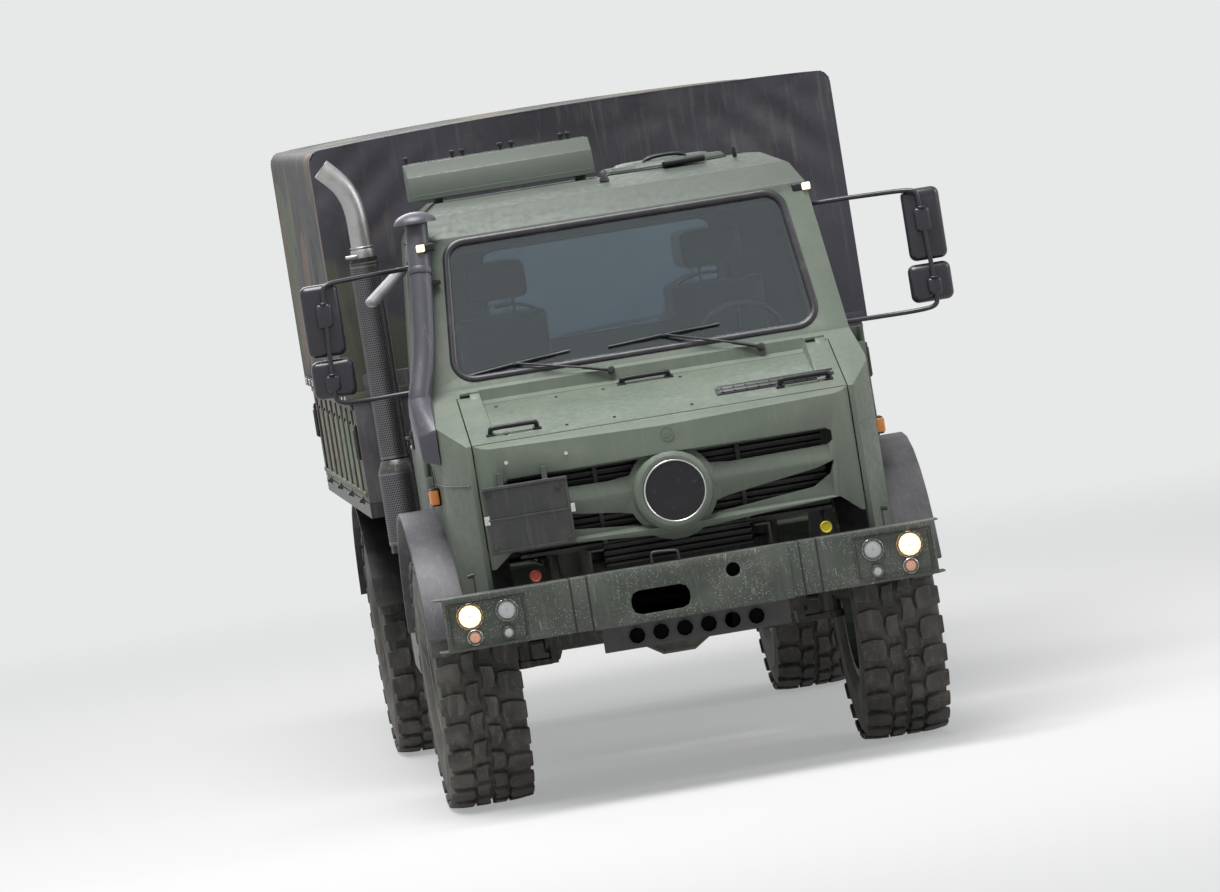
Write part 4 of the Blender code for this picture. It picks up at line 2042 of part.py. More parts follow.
def make_canvas(cloth, steel):
    hem = BED_FLOOR_TOP + SIDE_HEIGHT + 2 * SHUT_GAP
    front, rear = bed_front() - CANVAS_THICKNESS - SEAT_GAP, TAIL_Y
    outer = both_sides([(CANVAS_HALF_WIDTH, hem), *canvas_half(0)])
    under = hem - OVERRUN
    inner = both_sides([(CANVAS_HALF_WIDTH - CANVAS_THICKNESS, under), *canvas_half(CANVAS_THICKNESS)])
    canvas = prism("canvas", outer, "Y", front, rear)
    cut(canvas, prism("inside", inner, "Y", front + CANVAS_THICKNESS, rear - CANVAS_THICKNESS))
    flap = box(
        "flap",
        (-FLAP_HALF_WIDTH, rear - 2 * CANVAS_THICKNESS, under),
        (FLAP_HALF_WIDTH, rear + OVERRUN, FLAP_TOP),
    )
    cut(canvas, flap)
    roll_y, roll_z = rear - FLAP_ROLL_RADIUS, FLAP_TOP - BITE
    ends = (-FLAP_HALF_WIDTH, roll_y, roll_z), (FLAP_HALF_WIDTH, roll_y, roll_z)
    union(canvas, tube("roll", *ends, FLAP_ROLL_RADIUS, FEW_SIDES + 2))
    finished(canvas, "canvas_cover", cloth)
    hoop_half = CANVAS_HALF_WIDTH - CANVAS_THICKNESS - SEAT_GAP - HOOP_RADIUS
    foot_half = BED_HALF_WIDTH - SIDE_THICKNESS - 2 * HOOP_RADIUS - SHUT_GAP
    top = CANVAS_TOP - CANVAS_THICKNESS - CANVAS_CROWN - SEAT_GAP - HOOP_RADIUS - BITE
    first = front + HOOP_INSET
    last = rear - HOOP_INSET
    hoops = None
    stations = [first + (last - first) * i / (HOOP_COUNT - 1) for i in range(HOOP_COUNT)]
    for y in stations:
        points = [
            (foot_half, y, BED_FLOOR_TOP + SEAT_GAP),
            (foot_half, y, hem),
            (foot_half, y, top - 2 * CANVAS_EDGE_CHAMFER),
            (foot_half - CANVAS_EDGE_CHAMFER, y, top),
        ]
        points += [(-x, y_, z) for x, y_, z in reversed(points)]
        hoop = pipe("hoop", points, HOOP_RADIUS, 4)
        hoops = hoop if hoops is None else union(hoops, hoop)
    for x in (-foot_half / 2, 0, foot_half / 2):
        union(
            hoops,
            pipe("slat", [(x, first - HOOP_RADIUS, top), (x, last + HOOP_RADIUS, top)], HOOP_RADIUS / 2, 4),
        )
    finished(hoops, "canvas_hoops", steel)


def make_rear(paint):
    y = TAIL_Y - UNDERRUN_SETBACK
    bar = box(
        "bar",
        (-UNDERRUN_HALF_WIDTH, y - UNDERRUN_DEPTH, UNDERRUN_Z - UNDERRUN_HEIGHT / 2),
        (UNDERRUN_HALF_WIDTH, y, UNDERRUN_Z + UNDERRUN_HEIGHT / 2),
    )
    rail_end = TAIL_Y - RAIL_REAR_SETBACK
    low = RAIL_TOP - RAIL_DEPTH
    for side in (-1, 1):
        x_low, x_high = sorted((side * (RAIL_OUTER_X - RAIL_FLANGE), side * RAIL_OUTER_X))
        union(
            bar,
            box("leg", (x_low, y - UNDERRUN_DEPTH + BITE, UNDERRUN_Z), (x_high, y - BITE, low - SEAT_GAP)),
        )
    finished(bar, "rear_underrun_bar", paint)


def main():
    clear_scene()
    paint = material("green_paint", (0.16, 0.21, 0.15), 0.45)
    camo = material("camouflage_paint", (0.14, 0.17, 0.11), 0.6)
    black = material("black_plastic", (0.03, 0.03, 0.03), 0.55)
    dark = material("dark_metal", (0.05, 0.05, 0.05), 0.5, 0.6)
    steel = material("chassis_steel", (0.06, 0.07, 0.06), 0.55, 0.4)
    silver = material("exhaust_steel", (0.6, 0.6, 0.58), 0.35, 0.9)
    glass = material("glass", (0.6, 0.7, 0.75), 0.05)
    rubber = material("tyre_rubber", (0.02, 0.02, 0.02), 0.85)
    fabric = material("seat_fabric", (0.08, 0.08, 0.08), 0.9)
    cloth = material("canvas_cloth", (0.10, 0.11, 0.09), 0.85)

    make_frame(steel)
    make_powertrain(steel, dark)
    make_front_axle(steel)
    make_rear_axle(steel)
    make_tie_rod(steel)
    for side, word in ((-1, "right"), (1, "left")):
        make_knuckle("knuckle_" + word, steel, side)
        for axle_y, end in ((FRONT_AXLE_Y, "front"), (REAR_AXLE_Y, "rear")):
            make_tyre(f"tyre_{end}_{word}", rubber, side, axle_y)
            make_rim(f"rim_{end}_{word}", paint, side, axle_y)
    make_bumper(paint, dark)
    cab = make_cab(paint, glass)
    make_doors(paint, glass)
    make_hood(paint, cab)
    make_mask(paint, dark)
    make_mudguards(black)
    make_snorkel(black)
    make_exhaust(dark, silver)
    make_mirrors(black)
    make_roof_fittings(paint, dark, cab)
    make_seats(fabric)
    make_steering_wheel(black)
    make_side_boxes(paint)
    make_bed(camo, dark)
    make_canvas(cloth, steel)
    make_rear(paint)


main()
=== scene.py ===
# %% [markdown]
# A short-nosed four-wheel-drive army lorry with a canvas-covered load bed. The imported solids are the frame of
# the whole model: every wheel, door and panel already stands in its place, so this script only dresses them.
# It loads them first. Nothing added here may stand outside it.
# %% Load the imported solids
import json
import math

import bpy
from mathutils import Matrix, Vector

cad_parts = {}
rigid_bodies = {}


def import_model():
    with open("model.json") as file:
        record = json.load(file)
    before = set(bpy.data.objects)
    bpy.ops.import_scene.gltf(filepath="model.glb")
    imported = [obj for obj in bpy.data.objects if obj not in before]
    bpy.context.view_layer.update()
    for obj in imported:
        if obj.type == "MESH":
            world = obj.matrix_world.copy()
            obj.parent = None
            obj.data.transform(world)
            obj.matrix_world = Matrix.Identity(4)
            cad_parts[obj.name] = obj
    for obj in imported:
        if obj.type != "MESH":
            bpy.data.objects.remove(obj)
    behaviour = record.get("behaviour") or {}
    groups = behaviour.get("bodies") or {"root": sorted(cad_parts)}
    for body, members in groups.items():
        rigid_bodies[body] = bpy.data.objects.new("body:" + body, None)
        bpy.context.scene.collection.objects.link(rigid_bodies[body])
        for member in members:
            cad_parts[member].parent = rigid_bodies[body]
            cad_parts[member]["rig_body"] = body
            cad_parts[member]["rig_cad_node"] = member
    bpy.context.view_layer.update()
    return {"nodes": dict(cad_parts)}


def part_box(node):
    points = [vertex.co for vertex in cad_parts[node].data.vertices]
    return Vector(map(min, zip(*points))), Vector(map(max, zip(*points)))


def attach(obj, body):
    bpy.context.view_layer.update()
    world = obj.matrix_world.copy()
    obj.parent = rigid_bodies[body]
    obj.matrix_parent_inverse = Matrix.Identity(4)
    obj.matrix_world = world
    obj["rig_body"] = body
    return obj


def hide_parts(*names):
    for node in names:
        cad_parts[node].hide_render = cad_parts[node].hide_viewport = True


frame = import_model()
nodes = frame["nodes"]

# %% [markdown]
# The photograph is taken from far away with a long lens, a little to the lorry's right of its nose, and the frame
# is tilted. The camera's place and angles were fitted to points that both the picture and the solids show, such
# as the corners of the cab. Blender's camera looks along its own minus Z, so the three
# directions right, up and backwards fill its matrix.
# %% Camera at the photograph's viewing angle
LENS_PIXELS = 8539.7
PHOTO_WIDTH = 1220
SENSOR = 36
CAMERA_PLACE = Vector((-3.39964051, -41.63418146, 3.35733852))
yaw, pitch, roll = (math.radians(angle) for angle in (4.6640505, -2.59929798, -9.0871911))
ahead = Vector((math.sin(yaw) * math.cos(pitch), math.cos(yaw) * math.cos(pitch), math.sin(pitch)))
level_right = Vector((math.cos(yaw), -math.sin(yaw), 0))
level_up = level_right.cross(ahead)
camera_right = math.cos(roll) * level_right + math.sin(roll) * level_up
camera_up = -math.sin(roll) * level_right + math.cos(roll) * level_up

bpy.ops.object.camera_add()
camera = bpy.context.object
camera.name = "photo_camera"
camera.data.sensor_width = SENSOR
camera.data.sensor_fit = "HORIZONTAL"
camera.data.lens = LENS_PIXELS / PHOTO_WIDTH * SENSOR
camera.data.clip_end = 200
turn = Matrix((camera_right, camera_up, -ahead)).transposed().to_4x4()
camera.matrix_world = Matrix.Translation(CAMERA_PLACE) @ turn
bpy.context.scene.camera = camera
print("lens", round(camera.data.lens, 1), "mm")

# %% [markdown]
# The lorry stands on a plain pale floor that fades into the pale world behind it, as a sweep of paper does in a
# photo studio. The paleness comes from its colour and, only for the camera and for reflections, from a little
# light of its own that grows with the distance, so that the shadow under the lorry stays.
# %% Steps that floor, world and finishes share
def deselect():
    if bpy.context.object and bpy.context.object.mode != "OBJECT":
        bpy.ops.object.mode_set(mode="OBJECT")
    bpy.ops.object.select_all(action="DESELECT")


def choose(piece):
    """Makes this piece the only selected and the active one."""
    deselect()
    piece.select_set(True)
    bpy.context.view_layer.objects.active = piece


def wired(tree, kind, inputs=None, **settings):
    """A new shader node, whose inputs are given as values or as the outputs that they are linked to."""
    node = tree.nodes.new(f"ShaderNode{kind}")
    for name, value in settings.items():
        setattr(node, name, value)
    for socket, value in (inputs or {}).items():
        if isinstance(value, bpy.types.NodeSocket):
            tree.links.new(value, node.inputs[socket])
        else:
            node.inputs[socket].default_value = value
    return node


def seen_directly(tree):
    """1 for the camera and for reflections, 0 for the light that falls on things."""
    ray = wired(tree, "LightPath").outputs
    return wired(tree, "Math", {0: ray["Is Camera Ray"], 1: ray["Is Glossy Ray"]}, operation="MAXIMUM").outputs[0]


print("first helpers are ready")

# %% Floor and backdrop
PAPER_LOOK = (0.80, 0.81, 0.81, 1)
deselect()
bpy.ops.mesh.primitive_plane_add(size=120, location=(0, 0, 0))
floor = bpy.context.object
floor.name = "studio_floor"
bpy.ops.object.transform_apply(location=True, rotation=True, scale=True)
bpy.ops.object.mode_set(mode="EDIT")
bpy.ops.mesh.subdivide(number_cuts=1)
bpy.ops.object.mode_set(mode="OBJECT")

paper = bpy.data.materials.new("pale_paper")
paper.use_nodes = True
tree = paper.node_tree
tree.nodes.clear()
matt = wired(tree, "BsdfDiffuse", {"Color": (0.60, 0.60, 0.59, 1)})
glow = wired(tree, "Emission", {"Color": PAPER_LOOK})
distance = wired(tree, "VectorMath", {0: wired(tree, "TexCoord").outputs["Object"]}, operation="LENGTH")
fading = {"Value": distance.outputs["Value"], "From Min": 5.0, "From Max": 17.0, "To Min": 0.42, "To Max": 1.0}
fade = wired(tree, "MapRange", fading, interpolation_type="SMOOTHSTEP")
share = wired(tree, "Math", {0: fade.outputs["Result"], 1: seen_directly(tree)}, operation="MULTIPLY")
mixed = wired(tree, "MixShader", {0: share.outputs[0], 1: matt.outputs[0], 2: glow.outputs[0]})
wired(tree, "OutputMaterial", {"Surface": mixed.outputs[0]})
floor.data.materials.append(paper)
print("floor", tuple(round(side) for side in floor.dimensions))

# %% [markdown]
# Soft light as in a large studio tent: a pale world that the camera, glass and bright metal see as almost
# white, while the paint gets a plain level from it, and three large lamps that give the folds and panels
# their shape. The key hangs high over the hood, so that what lies flat is pale and the bumper stays dark.
# %% Light
world = bpy.data.worlds.new("studio_tent")
bpy.context.scene.world = world
world.use_nodes = True
air = world.node_tree
air.nodes.clear()
tent_light = wired(air, "Background", {"Color": (0.93, 0.96, 1, 1), "Strength": 0.28})
tent_look = wired(air, "Background", {"Color": PAPER_LOOK, "Strength": 1})
tent = wired(air, "MixShader", {0: seen_directly(air), 1: tent_light.outputs[0], 2: tent_look.outputs[0]})
wired(air, "OutputWorld", {"Surface": tent.outputs[0]})
for name, place, aim, size, watts in (
    ("key_lamp", (-2, -4.8, 13), (0, -1.5, 1.6), (8, 7), 2750),
    ("side_lamp", (10, -4, 6), (0, 0, 1.4), (5, 5), 330),
    ("back_lamp", (-3, 11, 9), (0, 1, 1.6), (8, 5), 700),
):
    bpy.ops.object.light_add(type="AREA", location=place)
    lamp = bpy.context.object
    lamp.name = name
    lamp.data.shape = "RECTANGLE"
    lamp.data.size, lamp.data.size_y = size
    lamp.data.energy = watts
    lamp.rotation_euler = (Vector(aim) - Vector(place)).to_track_quat("-Z", "Y").to_euler()
bpy.context.scene.view_settings.view_transform = "Standard"

# %% [markdown]
# Every finish is built from the same few steps, so they come first: a principled shader, a pattern that reads
# Object coordinates (every object sits at the origin, so these are real metres on the lorry), a ramp that turns
# the pattern into a mask, and a mix of two colours through that mask. Height above the road is one of the
# coordinates, and that is how mud gathers low down.
# %% Steps that every finish shares: patterns and masks
def plain(name, colour, roughness, metallic=0.0):
    material = bpy.data.materials.new(name)
    material.use_nodes = True
    tune(material, {"Base Color": (*colour, 1), "Roughness": roughness, "Metallic": metallic})
    return material


def shader_of(material):
    return material.node_tree.nodes["Principled BSDF"]


def tune(material, inputs):
    for name, value in inputs.items():
        shader_of(material).inputs[name].default_value = value


def place_on(material, stretch=(1, 1, 1)):
    where = wired(material.node_tree, "TexCoord").outputs["Object"]
    return wired(material.node_tree, "Mapping", {"Vector": where, "Scale": stretch}).outputs["Vector"]


def along(material, axis):
    return wired(material.node_tree, "SeparateXYZ", {0: place_on(material)}).outputs[axis]


def noise(material, scale, detail=4.0, stretch=(1, 1, 1), roughness=0.55, distortion=0.0):
    inputs = {"Scale": scale, "Detail": detail, "Roughness": roughness, "Distortion": distortion}
    return wired(material.node_tree, "TexNoise", {"Vector": place_on(material, stretch), **inputs}).outputs["Fac"]


def specks(material, scale):
    inputs = {"Vector": place_on(material), "Scale": scale}
    return wired(material.node_tree, "TexVoronoi", inputs).outputs["Distance"]


def height(material, low, high):
    """1 at the height low and 0 at high, with a soft change between them."""
    inputs = {"Value": along(material, "Z"), "From Min": low, "From Max": high, "To Min": 1, "To Max": 0}
    return wired(material.node_tree, "MapRange", inputs, interpolation_type="SMOOTHSTEP").outputs["Result"]


def mask(material, pattern, start, end, top=1.0):
    """0 where the pattern is below start and top where it is above end. Start may be the larger."""
    inputs = {"Value": pattern, "From Min": start, "From Max": end, "To Max": top}
    return wired(material.node_tree, "MapRange", inputs).outputs["Result"]


def sums(material, what, first, second):
    return wired(material.node_tree, "Math", {0: first, 1: second}, operation=what, use_clamp=True).outputs[0]


print("patterns and masks are ready")


# %% Steps that every finish shares: layers
def over(material, colour, where):
    """Lays a colour over what the material's colour is so far, where the mask says."""
    socket = shader_of(material).inputs["Base Color"]
    below = socket.links[0].from_socket if socket.is_linked else socket.default_value
    inputs = {0: where, 6: below, 7: (*colour, 1)}
    mix = wired(material.node_tree, "Mix", inputs, data_type="RGBA")
    material.node_tree.links.new(mix.outputs[2], socket)


def stain(material, colour, pattern, start, end, top=1.0):
    over(material, colour, mask(material, pattern, start, end, top))


def matter(material, where, low, high):
    """Roughness from low to high by the mask."""
    band = wired(material.node_tree, "MapRange", {"Value": where, "To Min": low, "To Max": high})
    material.node_tree.links.new(band.outputs["Result"], shader_of(material).inputs["Roughness"])


def relief(material, pattern, strength, depth):
    """Adds a bump to those that the material has."""
    socket = shader_of(material).inputs["Normal"]
    bump = wired(material.node_tree, "Bump", {"Strength": strength, "Distance": depth, "Height": pattern})
    if socket.is_linked:
        material.node_tree.links.new(socket.links[0].from_socket, bump.inputs["Normal"])
    material.node_tree.links.new(bump.outputs["Normal"], socket)


print("layers are ready")

# %% [markdown]
# Road dirt is the same on every finish, so one function lays it on: pale dust in clouds, thin vertical runs
# where rain took it down, a spray of small dried drops, and brown mud that fades out with height. Each finish
# says how much it gets.
# %% Dust, runs, splashes and mud
DUST = (0.30, 0.275, 0.23)
MUD = (0.145, 0.108, 0.075)
DRIED_DROPS = (0.42, 0.39, 0.33)


def road_dirt(material, dust=0.35, drops=0.6, mud_top=1.1, mud=0.8):
    clouds = mask(material, noise(material, 3.5, 8, roughness=0.65), 0.46, 0.72, dust)
    runs = mask(material, noise(material, 5, 6, stretch=(7, 7, 0.55)), 0.52, 0.78, dust)
    over(material, DUST, sums(material, "MAXIMUM", clouds, runs))
    low = height(material, 0.35, mud_top)
    spray = mask(material, specks(material, 75), 0.16, 0.10, drops)
    patchy = mask(material, noise(material, 2.6, 5), 0.44, 0.62)
    over(material, DRIED_DROPS, sums(material, "MULTIPLY", spray, sums(material, "MULTIPLY", patchy, low)))
    caked = sums(material, "ADD", noise(material, 7, 9, roughness=0.7), low)
    caked = sums(material, "MULTIPLY", mask(material, caked, 0.98, 1.28, mud), mask(material, low, 0.02, 0.35))
    over(material, MUD, caked)
    return caked


def grained(name, colour, roughness, metallic, grain, dirt):
    """A finish with a fine grain (scale, detail, strength, depth) and its share of road dirt."""
    material = plain(name, colour, roughness, metallic)
    relief(material, noise(material, *grain[:2]), *grain[2:])
    road_dirt(material, *dirt)
    return material


print("road dirt is ready")

# %% [markdown]
# The cab's paint is a matt army green with a faint satin sheen. Real paint of this kind shows a slightly
# lighter bloom on flat panels, a fine orange-peel grain, and dust that dulls it lower down. The top of the cab is
# painted darker as painted shade. The bumper is a darker green, partly dirt and partly painted shade, with
# splashes and dried runs, and its three lengths meet at doubled joints, which show as dark lines. Its guard plate
# low down is painted almost black as painted shade.
# %% Cab and bumper paint
def army_paint(name, colour, bloom, mud_top, mud):
    material = plain(name, colour, 0.46)
    stain(material, bloom, noise(material, 1.7, 6), 0.35, 0.7, 0.55)
    caked = road_dirt(material, 0.16, 0.55, mud_top, mud)
    dull = sums(material, "MAXIMUM", caked, mask(material, noise(material, 30, 4), 0.3, 0.8))
    matter(material, dull, 0.40, 0.72)
    relief(material, noise(material, 650, 2), 0.12, 0.0006)
    tune(material, {"Specular IOR Level": 0.42})
    return material


cab_paint = army_paint("cab_green_paint", (0.098, 0.120, 0.094), (0.114, 0.138, 0.110), 1.15, 0.75)
# Painted shade: the top of the cab, above about 2.6 m, is painted darker.
over(cab_paint, (0.046, 0.056, 0.048), sums(cab_paint, "MULTIPLY", height(cab_paint, 2.66, 2.56), 0.72))

# The bumper's darker green is partly dirt and partly painted shade.
bumper_paint = army_paint("bumper_green_paint", (0.046, 0.056, 0.045), (0.057, 0.067, 0.056), 1.30, 0.40)
splashes = mask(bumper_paint, specks(bumper_paint, 110), 0.22, 0.12)
splashed = mask(bumper_paint, noise(bumper_paint, 6, 4), 0.42, 0.52)
over(bumper_paint, (0.45, 0.45, 0.43), sums(bumper_paint, "MULTIPLY", splashes, splashed))
stain(bumper_paint, (0.38, 0.38, 0.37), noise(bumper_paint, 16, 6, stretch=(6, 6, 0.7)), 0.61, 0.76, 0.55)
for joint in (-0.543, -0.466, 0.512, 0.592):
    x = along(bumper_paint, "X")
    left_of, right_of = [mask(bumper_paint, x, joint + way * 0.006, joint + way * 0.0035) for way in (1, -1)]
    over(bumper_paint, (0.012, 0.012, 0.012), sums(bumper_paint, "MULTIPLY", left_of, right_of))
# Painted shade: the guard plate below about 0.79 m is painted almost black.
over(bumper_paint, (0.026, 0.027, 0.026), height(bumper_paint, 0.785, 0.797))
print("paints", cab_paint.name, bumper_paint.name)

# %% [markdown]
# The load bed and its boards carry the same green under large brown and black patches. These lie under the dirt,
# so their mixes are put in before the first layer of the paint.
# %% Camouflage paint
camouflage = army_paint("camouflage_paint", (0.072, 0.094, 0.056), (0.082, 0.104, 0.064), 1.0, 0.7)
brown = noise(camouflage, 1.25, 2.5, distortion=0.4)
black = noise(camouflage, 1.25 * 1.15, 2, stretch=(1, 1.3, 0.8), distortion=0.3)
first_layer = shader_of(camouflage).inputs["Base Color"].links[0].from_node
while first_layer.inputs[6].is_linked:
    first_layer = first_layer.inputs[6].links[0].from_node
below = tuple(first_layer.inputs[6].default_value)
for colour, pattern, start, end in (
    ((0.080, 0.056, 0.038, 1), brown, 0.51, 0.525),
    ((0.018, 0.018, 0.018, 1), black, 0.57, 0.585),
):
    where = mask(camouflage, pattern, start, end)
    below = wired(camouflage.node_tree, "Mix", {0: where, 6: below, 7: colour}, data_type="RGBA").outputs[2]
camouflage.node_tree.links.new(below, first_layer.inputs[6])
print("camouflage has three colours")

# %% [markdown]
# The metal and plastic underneath: the frame and axles are painted black-green and caked with mud, castings are
# rougher, plastic parts such as mudguards and mirror shells are a greyed black with a moulded grain that dust
# settles in, and the exhaust is black enamel with a bare steel pipe above it.
# %% Chassis, plastic, exhaust and tyres
FINE_GRAIN = (300, 3, 0.2, 0.0012)
chassis_steel = grained("chassis_steel", (0.035, 0.038, 0.034), 0.55, 0, FINE_GRAIN, (0.35, 0.6, 1.25, 0.85))
cast_metal = grained("cast_metal", (0.050, 0.050, 0.046), 0.6, 0.3, (160, 6, 0.45, 0.003), (0.45, 0.7, 1.1, 0.9))
dark_metal = grained("dark_metal", (0.020, 0.022, 0.021), 0.42, 0.2, (420, 3, 0.15, 0.001), (0.14, 0.4, 1.2, 0.55))
black_plastic = grained(
    "black_plastic", (0.022, 0.023, 0.025), 0.5, 0, (900, 3, 0.35, 0.0008), (0.24, 0.75, 1.25, 0.6)
)
exhaust_black = grained(
    "exhaust_black", (0.012, 0.011, 0.012), 0.42, 0.3, (260, 3, 0.15, 0.001), (0.09, 0.4, 1.2, 0.3)
)
scuffed_plastic = plain("scuffed_plastic", (0.034, 0.033, 0.041), 0.5)
scuffs = noise(scuffed_plastic, 9, 7, stretch=(9, 1.2, 0.35), roughness=0.7)
stain(scuffed_plastic, (0.15, 0.14, 0.165), scuffs, 0.54, 0.78, 0.45)
road_dirt(scuffed_plastic, 0.20, 0.6, 1.05, 0.5)
rubber = plain("tyre_rubber", (0.028, 0.028, 0.028), 0.72)
stain(rubber, (0.075, 0.070, 0.062), noise(rubber, 6, 8), 0.42, 0.68, 0.7)
relief(rubber, noise(rubber, 220, 4), 0.25, 0.0012)
road_dirt(rubber, 0.4, 0.8, 0.95, 0.85)
print("finishes", len(bpy.data.materials))

# %% [markdown]
# What is never muddy: the panes are laminated glass with a faint green-blue tint that lets the seats show, and its
# blue is partly a painted reflection of a blue sky; seats are woven cloth, and handles, seals and small bright parts
# only have a little dust in places.
# %% Glass, seats and small parts
# The blue-green colour of the panes is partly their tint and partly a painted reflection of a blue sky.
window_glass = plain("window_glass", (0.52, 0.66, 0.76), 0.0)
tune(window_glass, {"Transmission Weight": 1, "IOR": 1.5, "Coat Weight": 0.6, "Coat Roughness": 0.02})
lamp_body = plain("lamp_body", (0.06, 0.06, 0.06), 0.3, 0.4)
stain(lamp_body, DUST, noise(lamp_body, 60, 4), 0.5, 0.8, 0.4)
seat_cloth = plain("seat_cloth", (0.045, 0.047, 0.050), 0.85)
weave = noise(seat_cloth, 700, 2)
relief(seat_cloth, weave, 0.5, 0.001)
stain(seat_cloth, (0.075, 0.078, 0.082), weave, 0.4, 0.65, 0.8)
tune(seat_cloth, {"Sheen Weight": 0.25})
mirror_silver = plain("mirror_silver", (0.80, 0.82, 0.84), 0.04, 1.0)
bright_metal = plain("bright_metal", (0.58, 0.58, 0.57), 0.28, 1.0)
stain(bright_metal, DUST, noise(bright_metal, 50, 4), 0.55, 0.8, 0.4)
handle_black = plain("handle_black", (0.011, 0.011, 0.013), 0.38)
tune(handle_black, {"Specular IOR Level": 0.32})
relief(handle_black, noise(handle_black, 800, 2), 0.2, 0.0006)
stain(handle_black, DUST, noise(handle_black, 30, 5), 0.6, 0.85, 0.15)
seal_rubber = plain("seal_rubber", (0.020, 0.019, 0.024), 0.36)
relief(seal_rubber, noise(seal_rubber, 500, 2), 0.15, 0.0008)
stain(seal_rubber, DUST, noise(seal_rubber, 14, 6), 0.55, 0.8, 0.12)
print("finishes", len(bpy.data.materials))

# %% [markdown]
# Lamp glasses are clear or coloured acrylic over a patterned reflector. The lit ones carry a glow of their own.
# %% Lamp glasses
def lamp_lens(name, colour, glow=0.0, clear=0.5):
    material = plain(name, colour, 0.12)
    tune(material, {"Transmission Weight": clear, "IOR": 1.49})
    relief(material, specks(material, 90), 0.3, 0.002)
    if glow:
        tune(material, {"Emission Color": (*colour, 1), "Emission Strength": glow})
    return material


clear_lens = lamp_lens("clear_lamp_lens", (0.80, 0.82, 0.82))
lit_lens = lamp_lens("lit_lamp_lens", (1.0, 0.80, 0.55), 1.0, 0.1)
amber_lens = lamp_lens("amber_lamp_lens", (0.75, 0.26, 0.06), 0.12, 0.2)
pink_lens = lamp_lens("pale_amber_lens", (0.80, 0.42, 0.28), 0.10, 0.3)
warm_rim = lamp_lens("warm_lamp_rim", (0.85, 0.42, 0.14), 0.55, 0.1)
red_lens = lamp_lens("red_lamp_lens", (0.50, 0.03, 0.02), 0.05, 0.2)
print("finishes", len(bpy.data.materials))

# %% [markdown]
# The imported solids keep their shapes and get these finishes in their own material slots. Which solid has which
# finish follows the record's slots, so a solid that gets a new slot later changes here by itself.
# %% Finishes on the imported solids
FINISHES = {
    "camouflage_paint": camouflage, "chassis_steel": chassis_steel, "cast_metal": cast_metal,
    "dark_metal": dark_metal, "black_plastic": black_plastic, "lamp_glass": bumper_paint,
    "window_glass": window_glass, "exhaust_black": exhaust_black, "seat_cloth": seat_cloth,
    "canvas": seat_cloth, "tyre_rubber": rubber,
}
for solid in nodes.values():
    for slot in solid.material_slots:
        slot.material = FINISHES.get(slot.material.name.split(".")[0], cab_paint)
    solid.data.polygons.foreach_set("use_smooth", [False] * len(solid.data.polygons))
for node, finish in (
    ("front_bumper", bumper_paint), ("bed_floor", dark_metal), ("bed_headboard", scuffed_plastic),
    ("front_mudguard_left", scuffed_plastic), ("front_mudguard_right", scuffed_plastic),
):
    nodes[node].material_slots[0].material = finish
print({slot.material.name for solid in nodes.values() for slot in solid.material_slots})

# %% [markdown]
# New pieces start as a primitive at its size and place, are shaped in edit mode, and end as an object that sits
# at the origin with its place in its mesh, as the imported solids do. These few functions are the steps that
# every piece repeats: add a block or a rod, bend a wire, pick faces by the way they face, and settle the piece.
# %% Steps that every piece shares: blocks, rods, rings and wires
BEVEL_ANGLE = math.radians(38)
BOTH = ((1, "left"), (-1, "right"))
ALONG_Y = (0, 1, 0)
UPWARD = (0, 0, 1)


def with_modifier(piece, kind, **settings):
    """Gives the piece a modifier and applies it at once."""
    choose(piece)
    modifier = piece.modifiers.new(kind.lower(), kind)
    for key, value in settings.items():
        setattr(modifier, key, value)
    bpy.ops.object.modifier_apply(modifier=modifier.name)
    return piece


def applied(piece, bevel=0.0, segments=2):
    choose(piece)
    bpy.ops.object.transform_apply(location=True, rotation=True, scale=True)
    if bevel:
        limit = {"limit_method": "ANGLE", "angle_limit": BEVEL_ANGLE}
        with_modifier(piece, "BEVEL", width=bevel, segments=segments, **limit)
    return piece


def block(place, size, bevel=0.003, turn=(0, 0, 0), segments=2):
    deselect()
    bpy.ops.mesh.primitive_cube_add(size=1, location=place, rotation=turn, scale=size)
    return applied(bpy.context.object, bevel, segments)


def rod(start, end, radius, sides=20, bevel=0.0, end_radius=None):
    deselect()
    axis = Vector(end) - Vector(start)
    turn = axis.to_track_quat("Z", "Y").to_euler()
    middle = (Vector(start) + Vector(end)) / 2
    top = radius if end_radius is None else end_radius
    bpy.ops.mesh.primitive_cone_add(
        vertices=sides, radius1=radius, radius2=top, depth=axis.length, location=middle, rotation=turn
    )
    return applied(bpy.context.object, bevel)


def ring(place, facing, radius, thick, sides=48, thick_sides=10):
    deselect()
    turn = Vector(facing).to_track_quat("Z", "Y").to_euler()
    bpy.ops.mesh.primitive_torus_add(
        location=place, rotation=turn, major_radius=radius, minor_radius=thick,
        major_segments=sides, minor_segments=thick_sides,
    )
    return applied(bpy.context.object)


def wire(points, radius, closed=False, smooth=True, sides=4):
    """A bent rod through or near these points."""
    line = bpy.data.curves.new("wire", "CURVE")
    line.dimensions = "3D"
    spline = line.splines.new("NURBS" if smooth else "POLY")
    spline.points.add(len(points) - 1)
    for point, place in zip(spline.points, points):
        point.co = (*place, 1)
    spline.use_cyclic_u = closed
    spline.order_u = 3
    spline.use_endpoint_u = not closed
    spline.resolution_u = 5
    line.bevel_depth = radius
    line.bevel_resolution = sides
    line.use_fill_caps = not closed
    bent = bpy.data.objects.new("wire", line)
    bpy.context.scene.collection.objects.link(bent)
    choose(bent)
    bpy.ops.object.convert(target="MESH")
    return bpy.context.object


